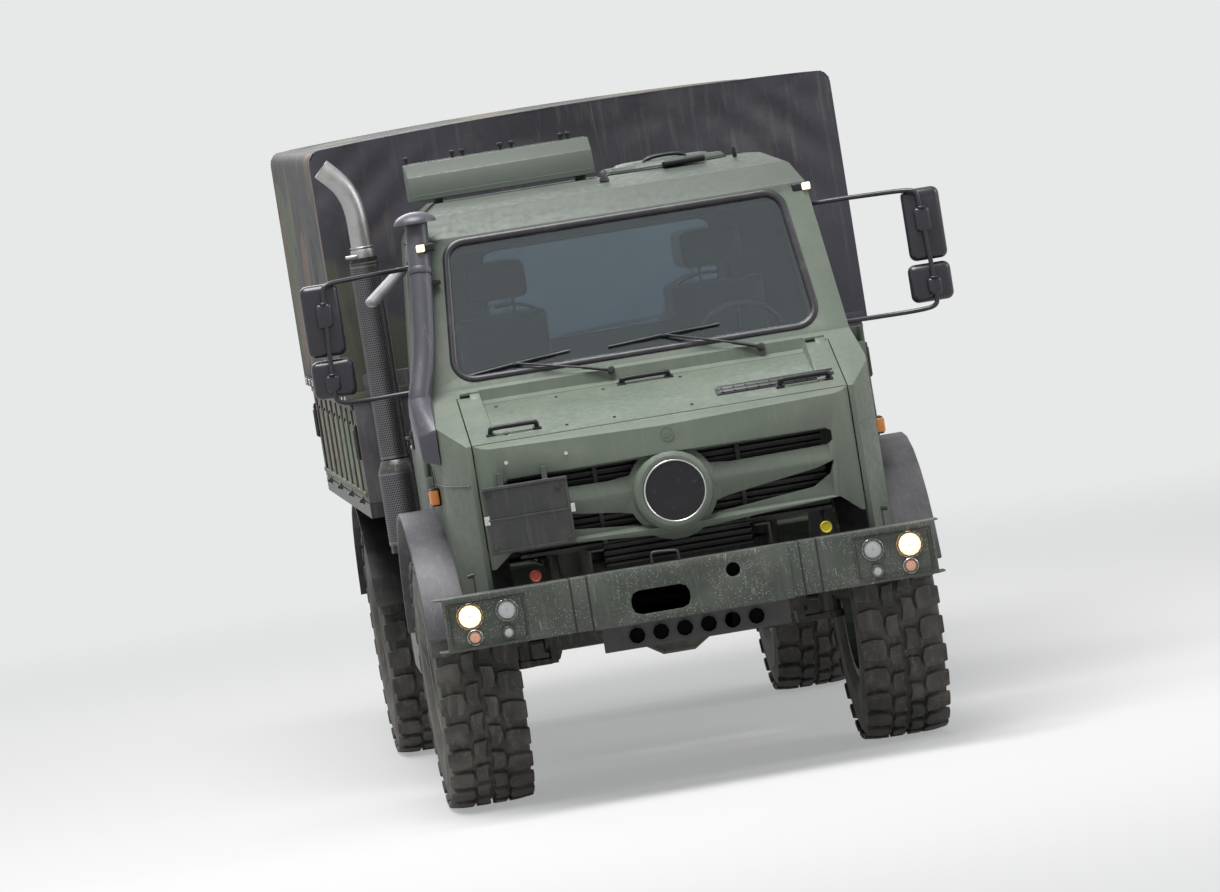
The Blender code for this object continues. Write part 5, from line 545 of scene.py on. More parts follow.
def bow(start, end, rise, radius, inset=0.0):
    """A rod bent to a flat U: out from start by rise, across, and back to end."""
    inward = [(b - a) / math.dist(start, end) * inset for a, b in zip(start, end)]
    top_start = [a + out + way for a, out, way in zip(start, rise, inward)]
    top_end = [b + out - way for b, out, way in zip(end, rise, inward)]
    return wire([start, top_start, top_end, end], radius)


print("blocks, rods, rings and wires are ready")


# %% Steps that every piece shares: editing and settling
def done():
    bpy.ops.object.mode_set(mode="OBJECT")
    return bpy.context.object


def edit_all(piece):
    """Edit mode with the whole mesh selected."""
    choose(piece)
    bpy.ops.object.mode_set(mode="EDIT")
    bpy.ops.mesh.select_all(action="SELECT")


def merged(piece, distance):
    """Points closer than the distance become one, and every face looks outwards."""
    edit_all(piece)
    bpy.ops.mesh.remove_doubles(threshold=distance)
    bpy.ops.mesh.normals_make_consistent(inside=False)
    return done()


def pick(piece, wanted):
    """Edit mode, with those faces selected for which wanted(centre, normal) is true."""
    choose(piece)
    bpy.ops.object.mode_set(mode="EDIT")
    bpy.ops.mesh.select_mode(type="FACE")
    bpy.ops.mesh.select_all(action="DESELECT")
    bpy.ops.object.mode_set(mode="OBJECT")
    for face in piece.data.polygons:
        face.select = bool(wanted(face.center, face.normal))
    bpy.ops.object.mode_set(mode="EDIT")


def pressed(piece, wanted, *steps):
    """Insets the wanted faces and moves what is inside, once for each (inset, move)."""
    pick(piece, wanted)
    for inset, move in steps:
        bpy.ops.mesh.inset(thickness=inset)
        bpy.ops.transform.translate(value=move)
    return done()


def faces_back(place, normal):
    return normal.y > 0.9


def join(*parts):
    deselect()
    for part in parts:
        part.select_set(True)
    bpy.context.view_layer.objects.active = parts[0]
    if len(parts) > 1:
        bpy.ops.object.join()
    return bpy.context.object


def duplicate(piece):
    choose(piece)
    bpy.ops.object.duplicate()
    return bpy.context.object


def settle(parts, name, finish, body="chassis", smooth=32):
    """Joins the parts to one piece with a name, a finish and the body that it moves with."""
    piece = join(*parts) if isinstance(parts, list) else parts
    choose(piece)
    bpy.ops.object.transform_apply(location=True, rotation=True, scale=True)
    bpy.ops.object.shade_smooth_by_angle(angle=math.radians(smooth))
    piece.name = name
    piece.data.name = name
    piece.data.materials.clear()
    piece.data.materials.append(finish)
    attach(piece, body)
    return piece


print("editing and settling are ready")

# %% [markdown]
# Sheet metal is folded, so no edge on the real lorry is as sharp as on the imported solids. Each painted panel gets
# a copy that takes its place in the picture: its loose triangles are merged and its flat faces joined again, and
# a narrow bevel then rounds every edge, which catches a thin line of light.
# %% Rounded edges on the painted panels
def rounded(node, body, width):
    piece = duplicate(nodes[node])
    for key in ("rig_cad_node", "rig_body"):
        if key in piece:
            del piece[key]
    edit_all(piece)
    bpy.ops.mesh.remove_doubles(threshold=0.00005)
    bpy.ops.mesh.dissolve_limited(angle_limit=math.radians(0.8))
    with_modifier(
        done(), "BEVEL", width=width, segments=2, limit_method="ANGLE", angle_limit=math.radians(24),
        use_clamp_overlap=True, miter_outer="MITER_ARC",
    )
    settle(piece, f"{node}_soft", nodes[node].material_slots[0].material, body, 34)
    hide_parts(node)
    return piece


SOFT_EDGES = {
    "cab_body": 0.006, "hood": 0.006, "front_mask": 0.0035, "front_bumper": 0.004, "door_left": 0.004,
    "door_right": 0.004, "roof_locker": 0.005, "battery_box": 0.004, "fuel_tank": 0.004,
    "front_mudguard_left": 0.006, "front_mudguard_right": 0.006, "folding_plate": 0.002, "bed_headboard": 0.004,
    "tailgate": 0.004, "side_board_left": 0.004, "side_board_right": 0.004,
}
MOVING = ("hood", "door_left", "door_right", "tailgate", "side_board_left", "side_board_right")
soft = {node: rounded(node, node if node in MOVING else "chassis", width) for node, width in SOFT_EDGES.items()}
print("rounded panels", len(soft), sum(len(piece.data.polygons) for piece in soft.values()), "faces")

# %% [markdown]
# The face of the lorry is its mask. The big round badge place carries a plain black disc with a bright ring, and
# a small plain disc sits above it. Both start as a cylinder whose front face is inset and pushed in by steps, so
# that the light draws circles on it, as it does on a pressed cover.
# %% Plain badge discs and rivets
def stepped_disc(centre, radius, thick, sides, steps):
    """A disc that faces forward. Each step insets its face by a share of the radius and pushes it along Y."""
    disc = rod(centre + Vector((0, thick, 0)), centre, radius, sides)
    for share, push in steps:
        step = (radius * share, (0, push, 0))
        disc = pressed(disc, lambda place, normal: normal.y < -0.9 and (place - centre).length < radius * 0.5, step)
    return disc


BADGE = Vector((0.006, -3.0875, 1.355))
SMALL_BADGE = Vector((0.011, -3.0725, 1.613))
disc = stepped_disc(BADGE, 0.137, 0.006, 56, ((0.10, 0.002), (0.05, -0.0015), (0.32, 0.0), (0.04, 0.0015)))
settle(disc, "badge_disc", handle_black)
settle(ring(BADGE + Vector((0, -0.001, 0)), ALONG_Y, 0.1395, 0.0042, 72), "badge_ring", bright_metal)
settle(stepped_disc(SMALL_BADGE, 0.030, 0.006, 56, ((0.16, 0.0015), (0.1, -0.001))), "small_disc", cab_paint)
rivet_places = ((-0.730, -3.036), (-0.455, -3.048))
rivets = [rod((x, y, 1.600), (x, y - 0.005, 1.600), 0.009, 16, 0.002) for x, y in rivet_places]
settle(rivets, "mask_rivets", bright_metal)
print("discs and rivets on the mask")

# %% [markdown]
# Behind the mask stand the louvres of the radiator. Dust lies along each louvre's edge, so a thin pale bar is
# laid there: the heights are read from the imported radiator itself, and posts divide the row as on the real one.
# The slots and holes of the bumper show only shade, so black sheets stand behind them as painted shade.
# %% Louvre edges, posts and the painted shade behind the bumper's openings
tips = sorted({round(v.co.z, 3) for v in nodes["radiator"].data.vertices if v.co.y < -2.905})
rows = []
for z in tips:
    if not rows or z - rows[-1] > 0.012:
        rows.append(z)
edges = [block((0, -2.913, z + 0.002), (1.40 if z > 1.15 else 0.66, 0.004, 0.005), 0.001) for z in rows]
settle(edges, "louvre_edges", chassis_steel)
posts = [block((x, -2.918, 1.355), (0.022, 0.012, 0.40), 0.003) for x in (-0.33, 0.33)]
settle(posts, "louvre_posts", black_plastic)
# Painted shade: a black sheet behind the tow slot.
settle(block((0, -3.090, 0.885), (1.10, 0.004, 0.16), 0.001), "tow_slot_shade_sheet", handle_black)
# Painted shade: a matt black sheet behind the holes of the guard plate.
hole_shade_black = plain("hole_shade_black", (0.003, 0.003, 0.003), 0.9)
tune(hole_shade_black, {"Specular IOR Level": 0.05})
settle(block((0, -3.153, 0.745), (0.840, 0.004, 0.120), 0.001), "guard_backing", hole_shade_black)
rims = [ring((0.110 * k - 0.275, -3.1705, 0.738), ALONG_Y, 0.0395, 0.0028, 32, 8) for k in range(6)]
settle(rims, "guard_hole_rims", bumper_paint)
settle(rod((-0.030, -3.130, 0.835), (-0.030, -3.130, 0.965), 0.013, 20, 0.002), "towing_pin", dark_metal)
print("louvre rows", len(rows))

# %% [markdown]
# The folding plate on the lorry's right half of the mask covers a light or a sign. It is a sheet-steel panel with
# a rib along each edge and one across its middle, four bolts on washers, two small hinges at the sides and a
# round latch hole.
# %% Folding plate
plate_paint = army_paint("plate_grey_green", (0.038, 0.041, 0.039), (0.050, 0.054, 0.052), 1.6, 0.3)
soft["folding_plate"].material_slots[0].material = plate_paint
ribs = [block((-0.668, -3.0925, 1.353), (0.372, 0.004, 0.010), 0.0018)]
ribs += [block((-0.668, -3.0915, z), (0.372, 0.004, 0.008), 0.0015) for z in (1.482, 1.207)]
ribs += [block((x, -3.0915, 1.345), (0.008, 0.004, 0.27), 0.0015) for x in (-0.855, -0.481)]
settle(ribs, "plate_ribs", plate_paint)
bolts = []
for x in (-0.838, -0.498):
    for z in (1.468, 1.222):
        bolts.append(rod((x, -3.088, z), (x, -3.0985, z), 0.0095, 6, 0.0015))
        bolts.append(rod((x, -3.087, z), (x, -3.0935, z), 0.0135, 20, 0.001))
settle(bolts, "plate_bolts", dark_metal)
hinges = []
for x in (-0.866, -0.470):
    hinges.append(rod((x, -3.094, 1.335), (x, -3.094, 1.375), 0.006, 14, 0.001))
    hinges.append(block((x * 0.99, -3.092, 1.355), (0.020, 0.004, 0.040), 0.001))
settle(hinges, "plate_hinges", bright_metal)
hole = ring((-0.520, -3.0925, 1.445), ALONG_Y, 0.010, 0.003, 24, 8)
settle([hole, rod((-0.520, -3.088, 1.445), (-0.520, -3.0915, 1.445), 0.009, 20)], "plate_latch", dark_metal)
print("folding plate is dressed")

# %% [markdown]
# On the hood are three black grab handles, a double slatted vent on the lorry's left, and the screws of the
# inner panel. A handle is a rod bent at both ends that stands on two small feet.
# %% Hood fittings
HOOD_TILT = 0.293
HOOD_NORMAL = Vector((0, -0.29, 0.96))


def hood_z(y):
    """Height of the sunk middle of the hood."""
    return 1.766 + 0.302 * (y + 2.769)


def grab_handle(name, left, right, y, lift, rise):
    feet = [Vector((x, y, hood_z(y) + lift)) for x in (left, right)]
    full, knee, inset = HOOD_NORMAL * rise, HOOD_NORMAL * rise * 0.9, Vector((0.012, 0, 0))
    line = [feet[0], feet[0] + knee, feet[0] + full + inset, feet[1] + full - inset, feet[1] + knee, feet[1]]
    pads = [block(foot + HOOD_NORMAL * 0.003, (0.040, 0.036, 0.010), 0.003, (0.29, 0, 0)) for foot in feet]
    return settle([wire(line, 0.0115), *pads], name, handle_black, "hood")


grab_handle("hood_handle_right", -0.770, -0.555, -2.895, -0.001, 0.034)
grab_handle("hood_handle_left", 0.575, 0.800, -2.880, 0.001, 0.034)
grab_handle("hood_handle_middle", -0.110, 0.112, -2.500, -0.001, 0.026)

VENT_X = 0.565
slats = [block((VENT_X, -2.815, hood_z(-2.815) + 0.002), (0.560, 0.092, 0.006), 0.002, (HOOD_TILT, 0, 0))]
for y in (-2.838, -2.794):
    slats.append(block((VENT_X, y, hood_z(y) + 0.010), (0.535, 0.022, 0.006), 0.0015, (0.70, 0, 0)))
    for k in range(10):
        place = (VENT_X - 0.252 + 0.056 * k, y, hood_z(y) + 0.007)
        slats.append(block(place, (0.005, 0.032, 0.012), 0.0, (HOOD_TILT, 0, 0)))
settle(slats, "hood_vent", handle_black, "hood")
screws = []
for x in (-0.70, -0.42, -0.20, 0.16):
    for y in (-2.915, -2.53):
        screws.append(rod((x, y, hood_z(y) - 0.002), (x, y - 0.0012, hood_z(y) + 0.004), 0.0075, 12, 0.001))
settle(screws, "hood_screws", dark_metal, "hood")

# %% [markdown]
# The bumper's lower lip shows four bolt heads, a bent wire guard stands on top in the middle, and the air
# couplings for a trailer peep over it, with a yellow and a red cap.
# %% Bumper fittings
heads = [rod((x, -3.1695, 0.798), (x, -3.178, 0.798), 0.009, 6, 0.001) for x in (-0.40, -0.22, 0.05, 0.40)]
settle(heads, "bumper_bolts", cast_metal)
guard_line = (
    (-0.152, 1.036), (-0.152, 1.060), (-0.152, 1.085), (-0.146, 1.094), (-0.130, 1.096),
    (-0.050, 1.090), (-0.034, 1.088), (-0.028, 1.080), (-0.028, 1.055), (-0.028, 1.036),
)
settle(wire([(x, -3.12, z) for x, z in guard_line], 0.0062), "bumper_wire_guard", dark_metal)

yellow_cap = plain("yellow_cap", (0.62, 0.50, 0.02), 0.4)
red_cap = plain("red_cap", (0.35, 0.05, 0.03), 0.45)
for name, x, z, finish in (("yellow", 0.663, 1.078, yellow_cap), ("red", -0.680, 1.072, red_cap)):
    cap = rod((x, -3.035, z), (x, -3.075, z), 0.026, 28, 0.004)
    cap = pressed(cap, lambda place, normal: normal.y < -0.9, (0.007, (0, 0.006, 0)))
    settle(cap, f"coupling_cap_{name}", finish)
    stem = [rod((x, -3.036, z), (x, -2.975, z), 0.017, 20, 0.002)]
    stem.append(block((x, -3.0, z - 0.045), (0.040, 0.010, 0.10), 0.002))
    stem.append(block((x, -3.045, z - 0.062), (0.052, 0.085, 0.010), 0.002))
    settle(stem, f"coupling_{name}", cast_metal)
print("bumper fittings are on")

# %% [markdown]
# Each lamp bay holds four round lamps. A lamp glass bulges, so its front face is inset four times, and each time
# it is pushed a little less far out. The two big outer lamps are lit.
# %% Lamps in the bumper
BULGE = 0.006
BULGE_STEPS = [(share, -BULGE * push) for share, push in ((0.10, 0.45), (0.16, 0.28), (0.2, 0.18), (0.22, 0.09))]
LAMPS = (
    (1.013, 0.947, 0.060, lit_lens, warm_rim), (0.843, 0.950, 0.050, clear_lens, bright_metal),
    (1.004, 0.850, 0.034, pink_lens, bright_metal), (0.850, 0.848, 0.029, clear_lens, dark_metal),
)
for side, word in BOTH:
    for k, (x, z, radius, lens, rim) in enumerate(LAMPS):
        place = Vector((side * x, -3.1905, z))
        settle(stepped_disc(place, radius * 0.86, 0.004, 40, BULGE_STEPS), f"lamp_glass_{word}_{k}", lens)
        rim_ring = ring(place + Vector((0, -0.002, 0)), ALONG_Y, radius * 0.93, 0.0045, 40)
        settle(rim_ring, f"lamp_rim_{word}_{k}", rim)
    low, high = side * 0.935 - 0.168, side * 0.935 + 0.168
    corners = [(x, -3.1935, z) for x, z in ((low, 0.822), (high, 0.822), (high, 1.003), (low, 1.003))]
    settle(wire(corners, 0.004, True, False), f"lamp_frame_{word}", dark_metal)
print("lamps", len(LAMPS) * 2)

# %% [markdown]
# The windscreen sits in a thick black rubber seal. The outline is the pane's own: four corners in the leaning
# plane of the screen, rounded, and the seal is a wire bent along it. The side and rear panes get thinner ones.
# %% Windscreen seal
def rounded_outline(corners, radius, steps=8):
    """A closed outline in a plane, its corners rounded."""
    points = []
    for i, corner in enumerate(corners):
        here = Vector(corner)
        before = (Vector(corners[i - 1]) - here).normalized()
        after = (Vector(corners[(i + 1) % len(corners)]) - here).normalized()
        half = before.angle(after) / 2
        reach = radius / math.tan(half)
        centre = here + (before + after).normalized() * (radius / math.sin(half))
        start, end = here + before * reach - centre, here + after * reach - centre
        for k in range(steps + 1):
            points.append(centre + start.normalized().slerp(end.normalized(), k / steps) * radius)
    return points


low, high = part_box("windscreen")
SCREEN_LEAN = Vector((0, -0.94, 0.34)).normalized()
bottom, top = (low.y + 0.004, low.z + 0.004), (high.y - 0.004, high.z - 0.004)
corners = [(-0.858, *bottom), (0.858, *bottom), (0.790, *top), (-0.790, *top)]
outline = [point + SCREEN_LEAN * 0.006 for point in rounded_outline(corners, 0.095)]
settle(wire(outline, 0.0205, True, False, 5), "windscreen_seal", seal_rubber, smooth=60)
print("seal points", len(outline))

# %% [markdown]
# Two wipers are parked towards the lorry's right. Each has a pivot on the cowl, an arm that tapers and bends
# towards the glass, and a blade that is held by a long bow.
# %% Wipers
def on_screen(x, z):
    """A point 12 mm in front of the glass."""
    share = (z - bottom[1]) / (top[1] - bottom[1])
    return Vector((x, bottom[0] + share * (top[0] - bottom[0]), z)) + SCREEN_LEAN * 0.012


def wiper(name, pivot, tip, heel):
    middle = (tip + heel) / 2
    parts = [rod(pivot, pivot + Vector((0, -0.030, 0.006)), 0.017, 24, 0.003)]
    start = pivot + Vector((0, -0.022, 0.004))
    knee = start.lerp(middle, 0.30) + Vector((0, -0.010, 0.004))
    parts.append(wire([start, knee], 0.0085, smooth=False))
    parts.append(wire([knee, middle + SCREEN_LEAN * 0.014], 0.0055, smooth=False))
    parts.append(rod(middle + SCREEN_LEAN * 0.018, middle - SCREEN_LEAN * 0.004, 0.008, 12))
    blade, arch = (heel - tip).normalized(), SCREEN_LEAN * 0.012
    bow_line = [tip + blade * 0.05, middle - blade * 0.09 + arch, middle + blade * 0.09 + arch, heel - blade * 0.05]
    parts.append(wire(bow_line, 0.0045))
    parts.append(wire([tip, heel], 0.0060, smooth=False))
    return settle(parts, name, dark_metal)


wiper("wiper_right", Vector((-0.141, -2.418, 1.915)), on_screen(-0.830, 1.985), on_screen(-0.310, 2.030))
wiper("wiper_left", Vector((0.561, -2.418, 1.910)), on_screen(-0.130, 2.018), on_screen(0.395, 2.040))
print("wipers are parked")

# %% [markdown]
# The load cover is one heavy coated cloth over four steel hoops: a top with two sides, a front and a rear wall
# whose middle is rolled up over the way in. Cloth like this hangs in long shallow curves between what holds it.
# Each wall is laid out as a flat grid, as it was cut, and its points are then moved to where the hoops, the
# lacing and its own weight put them. The walls are merged along their seams, and get a thickness at the end.
# %% Where the cloth goes
from mathutils import noise as folds

HALF, HEM, TOP, CROWN, ROUND = 1.273, 1.893, 3.148, 0.030, 0.055
FRONT, REAR = -0.660, 3.198
HOOPS = [-0.517 + 1.191 * k for k in range(4)]
SHOULDER = HALF - ROUND


def roof_height(x):
    """Height of the cloth across the bed, round at both edges."""
    over_edge = max(0.0, abs(x) - SHOULDER)
    drop = ROUND - math.sqrt(max(0.0, ROUND**2 - over_edge**2))
    return TOP - CROWN * (min(abs(x), SHOULDER) / SHOULDER) ** 2 - drop


def across(share):
    """A point of the cross section at a share of the way from hem over the top to hem, and the way out of it."""
    side = roof_height(HALF) - HEM
    arc = ROUND * math.pi / 2
    whole = 2 * side + 2 * arc + 2 * SHOULDER
    reach = share * whole
    sign = -1
    if reach > whole / 2:
        sign, reach = 1, whole - reach
    if reach < side:
        return Vector((sign * HALF, 0, HEM + reach)), Vector((sign, 0, 0))
    if reach < side + arc:
        angle = (reach - side) / ROUND
        centre_z = roof_height(SHOULDER) - ROUND
        place = Vector((sign * (SHOULDER + ROUND * math.cos(angle)), 0, centre_z + ROUND * math.sin(angle)))
        return place, Vector((sign * math.cos(angle), 0, math.sin(angle)))
    x = SHOULDER - (reach - side - arc)
    return Vector((sign * x, 0, roof_height(x))), Vector((0, 0, 1))


def between_hoops(y):
    """0 at a hoop and 1 midway between two."""
    return min(1.0, min(abs(y - hoop) for hoop in HOOPS) / 0.45) ** 1.3


def crease(place, seed, scale=2.2):
    return folds.noise(Vector((place.x * scale + seed, place.y * scale, place.z * scale)))


print("cloth from", FRONT, "to", REAR)


# %% Lay out the walls and move their points
def cloth_grid(columns, lines, where):
    deselect()
    bpy.ops.mesh.primitive_grid_add(x_subdivisions=columns, y_subdivisions=lines, size=1)
    grid = bpy.context.object
    for v in grid.data.vertices:
        v.co = where(v.co.x + 0.5, v.co.y + 0.5)
    return grid


def main_point(u, v):
    place, out = across(u)
    place.y = FRONT + v * (REAR - FRONT)
    slack = between_hoops(place.y)
    on_top = max(0.0, out.z)
    on_side = 1 - on_top
    sag = 0.020 * slack * on_top * (1 - (abs(place.x) / HALF) ** 4)
    low = (roof_height(HALF) - place.z) / 1.2
    drawn = 0.012 * slack * on_side * min(1, 3 * low)
    wave = 0.008 * on_side * math.sin(place.y * 13 + 2 * crease(place, 3.0)) * max(0, low - 0.35)
    rough = 0.010 * (crease(place, 7.0) - 0.35 + 0.5 * crease(place, 21.0, 6.0))
    rim = min(1.0, min(v, 1 - v) * 22)
    inward = max(0.0, sag + drawn + wave - rough * 0.6 + 0.004)
    return place - out * inward * rim


def wall_point(y, out):
    def where(u, v):
        x = (2 * u - 1) * HALF
        z = HEM + v * (roof_height(x) - HEM)
        place = Vector((x, y, z))
        rim = min(1.0, min(u, 1 - u) * 16, (1 - v) * 9)
        belly = 0.020 * math.sin(math.pi * u) * math.sin(math.pi * min(1, v * 1.1))
        corner = math.exp(-((abs(x) - HALF) ** 2 + (z - TOP) ** 2) * 3)
        pull = 0.010 * corner * math.sin(26 * (abs(x) + z))
        rough = 0.012 * crease(place, 11.0) + 0.005 * crease(place, 31.0, 7.0)
        return place - Vector((0, out, 0)) * max(0.0, belly + pull + 0.012 + rough) * rim

    return where


main_cloth = cloth_grid(150, 110, main_point)
front_wall = cloth_grid(72, 36, wall_point(FRONT, -1))
rear_wall = cloth_grid(64, 40, wall_point(REAR, 1))
pick(rear_wall, lambda place, normal: abs(place.x) < 0.92 and place.z < 2.90)
bpy.ops.mesh.delete(type="FACE")
cover = merged(join(main_cloth, front_wall, done()), 0.006)
with_modifier(cover, "SOLIDIFY", thickness=0.004, offset=-1)

# %% [markdown]
# The cloth is a dull polymer coating on a coarse weave, printed in the same three colours as the bed. The front
# wall lies in shade, so its print is painted in darker tones as painted shade: almost violet grey, with one paler
# olive island low at the lorry's right. Rain has left thin runs on it.
# %% Canvas finish
canvas_cloth = plain("coated_canvas", (0.050, 0.049, 0.054), 0.62)
island = noise(canvas_cloth, 0.95, 2.5, stretch=(1, 0.8, 1), distortion=0.5)
stain(canvas_cloth, (0.082, 0.094, 0.060), island, 0.52, 0.535)
earth = noise(canvas_cloth, 1.2, 2.0, stretch=(1, 1.1, 0.8), distortion=0.4)
stain(canvas_cloth, (0.130, 0.088, 0.066), earth, 0.59, 0.605)
dark_island = noise(canvas_cloth, 1.05, 2.0, stretch=(0.8, 1.2, 1.2), distortion=0.3)
stain(canvas_cloth, (0.026, 0.026, 0.030), dark_island, 0.58, 0.60)
# Painted shade: the print on the front wall is painted in darker tones, violet grey with an olive island.
shaded_front_wall = mask(canvas_cloth, along(canvas_cloth, "Y"), -0.62, -0.64)
over(canvas_cloth, (0.043, 0.042, 0.051), shaded_front_wall)
far_right = mask(canvas_cloth, along(canvas_cloth, "X"), -0.55, -1.15, 0.62)
low_down = mask(canvas_cloth, along(canvas_cloth, "Z"), 2.75, 2.25, 0.55)
low_right = sums(canvas_cloth, "MULTIPLY", sums(canvas_cloth, "ADD", far_right, low_down), 0.7)
ragged = sums(canvas_cloth, "MULTIPLY", noise(canvas_cloth, 2.0, 3), 0.5)
olive = mask(canvas_cloth, sums(canvas_cloth, "ADD", ragged, low_right), 0.80, 0.86)
over(canvas_cloth, (0.064, 0.066, 0.050), sums(canvas_cloth, "MULTIPLY", shaded_front_wall, olive))
stain(canvas_cloth, DUST, noise(canvas_cloth, 5, 6, stretch=(6, 6, 0.4)), 0.55, 0.85, 0.20)
stain(canvas_cloth, DUST, noise(canvas_cloth, 2.2, 8, roughness=0.7), 0.5, 0.8, 0.16)
for stretch in ((1, 1, 0.02), (1, 0.02, 1)):
    relief(canvas_cloth, noise(canvas_cloth, 620, 1, stretch=stretch), 0.12, 0.0006)
relief(canvas_cloth, noise(canvas_cloth, 7, 5, distortion=0.8), 0.35, 0.006)
matter(canvas_cloth, noise(canvas_cloth, 12, 5), 0.50, 0.78)
tune(canvas_cloth, {"Specular IOR Level": 0.22})

settle(cover, "canvas_cloth_cover", canvas_cloth, smooth=50)
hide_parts("canvas_cover")
print("canvas is printed")

# %% [markdown]
# A sewn piping runs round both ends of the top, the hem is a doubled band with brass eyelets, and the rear wall's
# middle is rolled up and tied with four straps. The roll is laid in three lengths of slightly different thickness.
# %% Piping and hem band with its eyelets
for name, y in (("front", FRONT + 0.008), ("rear", REAR - 0.008)):
    line = [place - out * 0.006 + Vector((0, y, 0)) for place, out in (across(k / 60) for k in range(61))]
    settle(wire(line, 0.0075, False, False, 3), f"canvas_piping_{name}", canvas_cloth, smooth=60)

BAND_Z = HEM + 0.024
hems = [block((side * 1.2715, 1.27, BAND_Z), (0.006, 3.83, 0.048), 0.002) for side in (-1, 1)]
hems.append(block((0, FRONT + 0.004, BAND_Z), (2.52, 0.006, 0.048), 0.002))
for side in (-1, 1):
    hems.append(block((side * 1.095, REAR - 0.004, BAND_Z), (0.345, 0.006, 0.048), 0.002))
    hems.append(block((side * 0.932, REAR - 0.004, 2.38), (0.036, 0.006, 1.02), 0.002))
settle(hems, "canvas_hem", canvas_cloth)
holes = [((side * 1.2745, -0.52 + k * 0.298, BAND_Z), (1, 0, 0)) for side in (-1, 1) for k in range(13)]
holes += [((-1.12 + 0.28 * k, FRONT - 0.0005, BAND_Z), ALONG_Y) for k in range(9)]
settle([ring(place, facing, 0.0125, 0.0035, 16, 6) for place, facing in holes], "canvas_eyelets", bright_metal)
print("eyelets", len(holes))

# %% Roll of the rear wall and its ties
ROLL_Y, ROLL_Z = 3.142, 2.892
rolls = []
for k, radius in enumerate((0.050, 0.0535, 0.051)):
    start = -0.915 + 0.61 * k
    rolls.append(rod((start, ROLL_Y, ROLL_Z), (start + 0.61, ROLL_Y, ROLL_Z + 0.002 * k), radius, 28, 0.006))
settle(rolls, "canvas_roll", canvas_cloth, smooth=50)
ties = []
for x in (-0.72, -0.24, 0.24, 0.72):
    ties.append(ring((x, ROLL_Y, ROLL_Z + 0.001), (1, 0, 0), 0.0545, 0.0035, 32, 6))
    ties.append(block((x, 3.193, 2.835), (0.030, 0.004, 0.13), 0.0012))
    ties.append(block((x, 3.1945, 2.80), (0.040, 0.005, 0.022), 0.001))
settle(ties, "canvas_ties", handle_black)
print("canvas is dressed")

# %% [markdown]
# An off-road tyre has a round carcass and a tread of separate blocks. The carcass is a profile of the tyre's
# section, drawn once and spun a full turn about the axle. The tread is one shoulder block and one middle block,
# each a small outline that is extruded to the lug height and bevelled. They are copied round the tread, one
# side half a pitch behind the other, and bent to its radius.
# %% Carcass and tread blocks
RADIUS, LUG, PITCHES = 0.590, 0.024, 26
BAND = RADIUS - LUG
ROOT = 0.012
HALF_SECTION = [
    (0.000, BAND), (0.060, BAND), (0.120, BAND - 0.001), (0.165, BAND - 0.006), (0.181, BAND - 0.016),
    (0.186, BAND - 0.034), (0.191, 0.500), (0.1925, 0.480), (0.196, 0.474), (0.196, 0.462), (0.193, 0.456),
    (0.1945, 0.430), (0.1935, 0.400), (0.190, 0.372), (0.191, 0.366), (0.188, 0.358), (0.182, 0.335),
    (0.172, 0.310), (0.166, 0.300), (0.162, 0.288), (0.150, 0.2695),
]


def outlined(points, fill="NOTHING"):
    """A circle of as many corners as there are points, moved onto them."""
    deselect()
    bpy.ops.mesh.primitive_circle_add(vertices=len(points), radius=1, fill_type=fill)
    outline = bpy.context.object
    for v, point in zip(outline.data.vertices, points):
        v.co = point
    return outline


def carcass():
    section = HALF_SECTION + [(-x, r) for x, r in reversed(HALF_SECTION[1:])]
    edit_all(outlined([(x, 0, r) for x, r in section]))
    bpy.ops.mesh.spin(steps=104, angle=math.tau, center=(0, 0, 0), axis=(1, 0, 0))
    return merged(done(), 0.0004)


def lug(outline, drop=0.0):
    """A tread block standing on the band at the top of the tyre, from its outline across and along the tread."""
    edit_all(outlined([(x, s, BAND - ROOT) for x, s in outline], "NGON"))
    bpy.ops.mesh.normals_make_consistent(inside=False)
    bpy.ops.mesh.extrude_region_move(TRANSFORM_OT_translate={"value": (0, 0, LUG + ROOT)})
    bpy.ops.mesh.select_all(action="SELECT")
    bpy.ops.mesh.normals_make_consistent(inside=False)
    raised = applied(done(), 0.0035, 1)
    for v in raised.data.vertices:
        x, s, h = v.co
        lower = drop * max(0.0, abs(x) - 0.12) / 0.06
        r = min(h, RADIUS) - lower * (1 if h > BAND else 0)
        v.co = (x, r * math.sin(s / RADIUS), r * math.cos(s / RADIUS))
    return raised


def round_tread(one, share):
    """Copies of a block all the way round, turned on by a share of a pitch."""
    copies = []
    for k in range(PITCHES):
        copies.append(duplicate(one))
        copies[-1].data.transform(Matrix.Rotation(math.tau * (k + share) / PITCHES, 4, "X"))
    bpy.data.objects.remove(one)
    return join(*copies)


SHOULDER_BLOCK = (
    (0.086, -0.046), (0.128, -0.050), (0.196, -0.036), (0.196, 0.042), (0.134, 0.052), (0.092, 0.044), (0.080, 0.0),
)
MIDDLE_BLOCK = ((0.006, -0.050), (0.066, -0.042), (0.072, 0.0), (0.064, 0.046), (0.012, 0.052), (0.018, 0.0))
pitch = math.tau * RADIUS / PITCHES
tread = [carcass()]
for sign, share in ((1, 0.0), (-1, 0.5)):
    for outline, drop, turn_on in ((SHOULDER_BLOCK, 0.008, 0.0), (MIDDLE_BLOCK, 0.0, 0.28)):
        one = lug([(sign * x, s * pitch / 0.134) for x, s in outline], drop)
        tread.append(round_tread(one, share + turn_on))
tyre = join(*tread)
wide = max(abs(v.co.x) for v in tyre.data.vertices)
print("tyre faces", len(tyre.data.polygons), "half width", round(wide, 4))


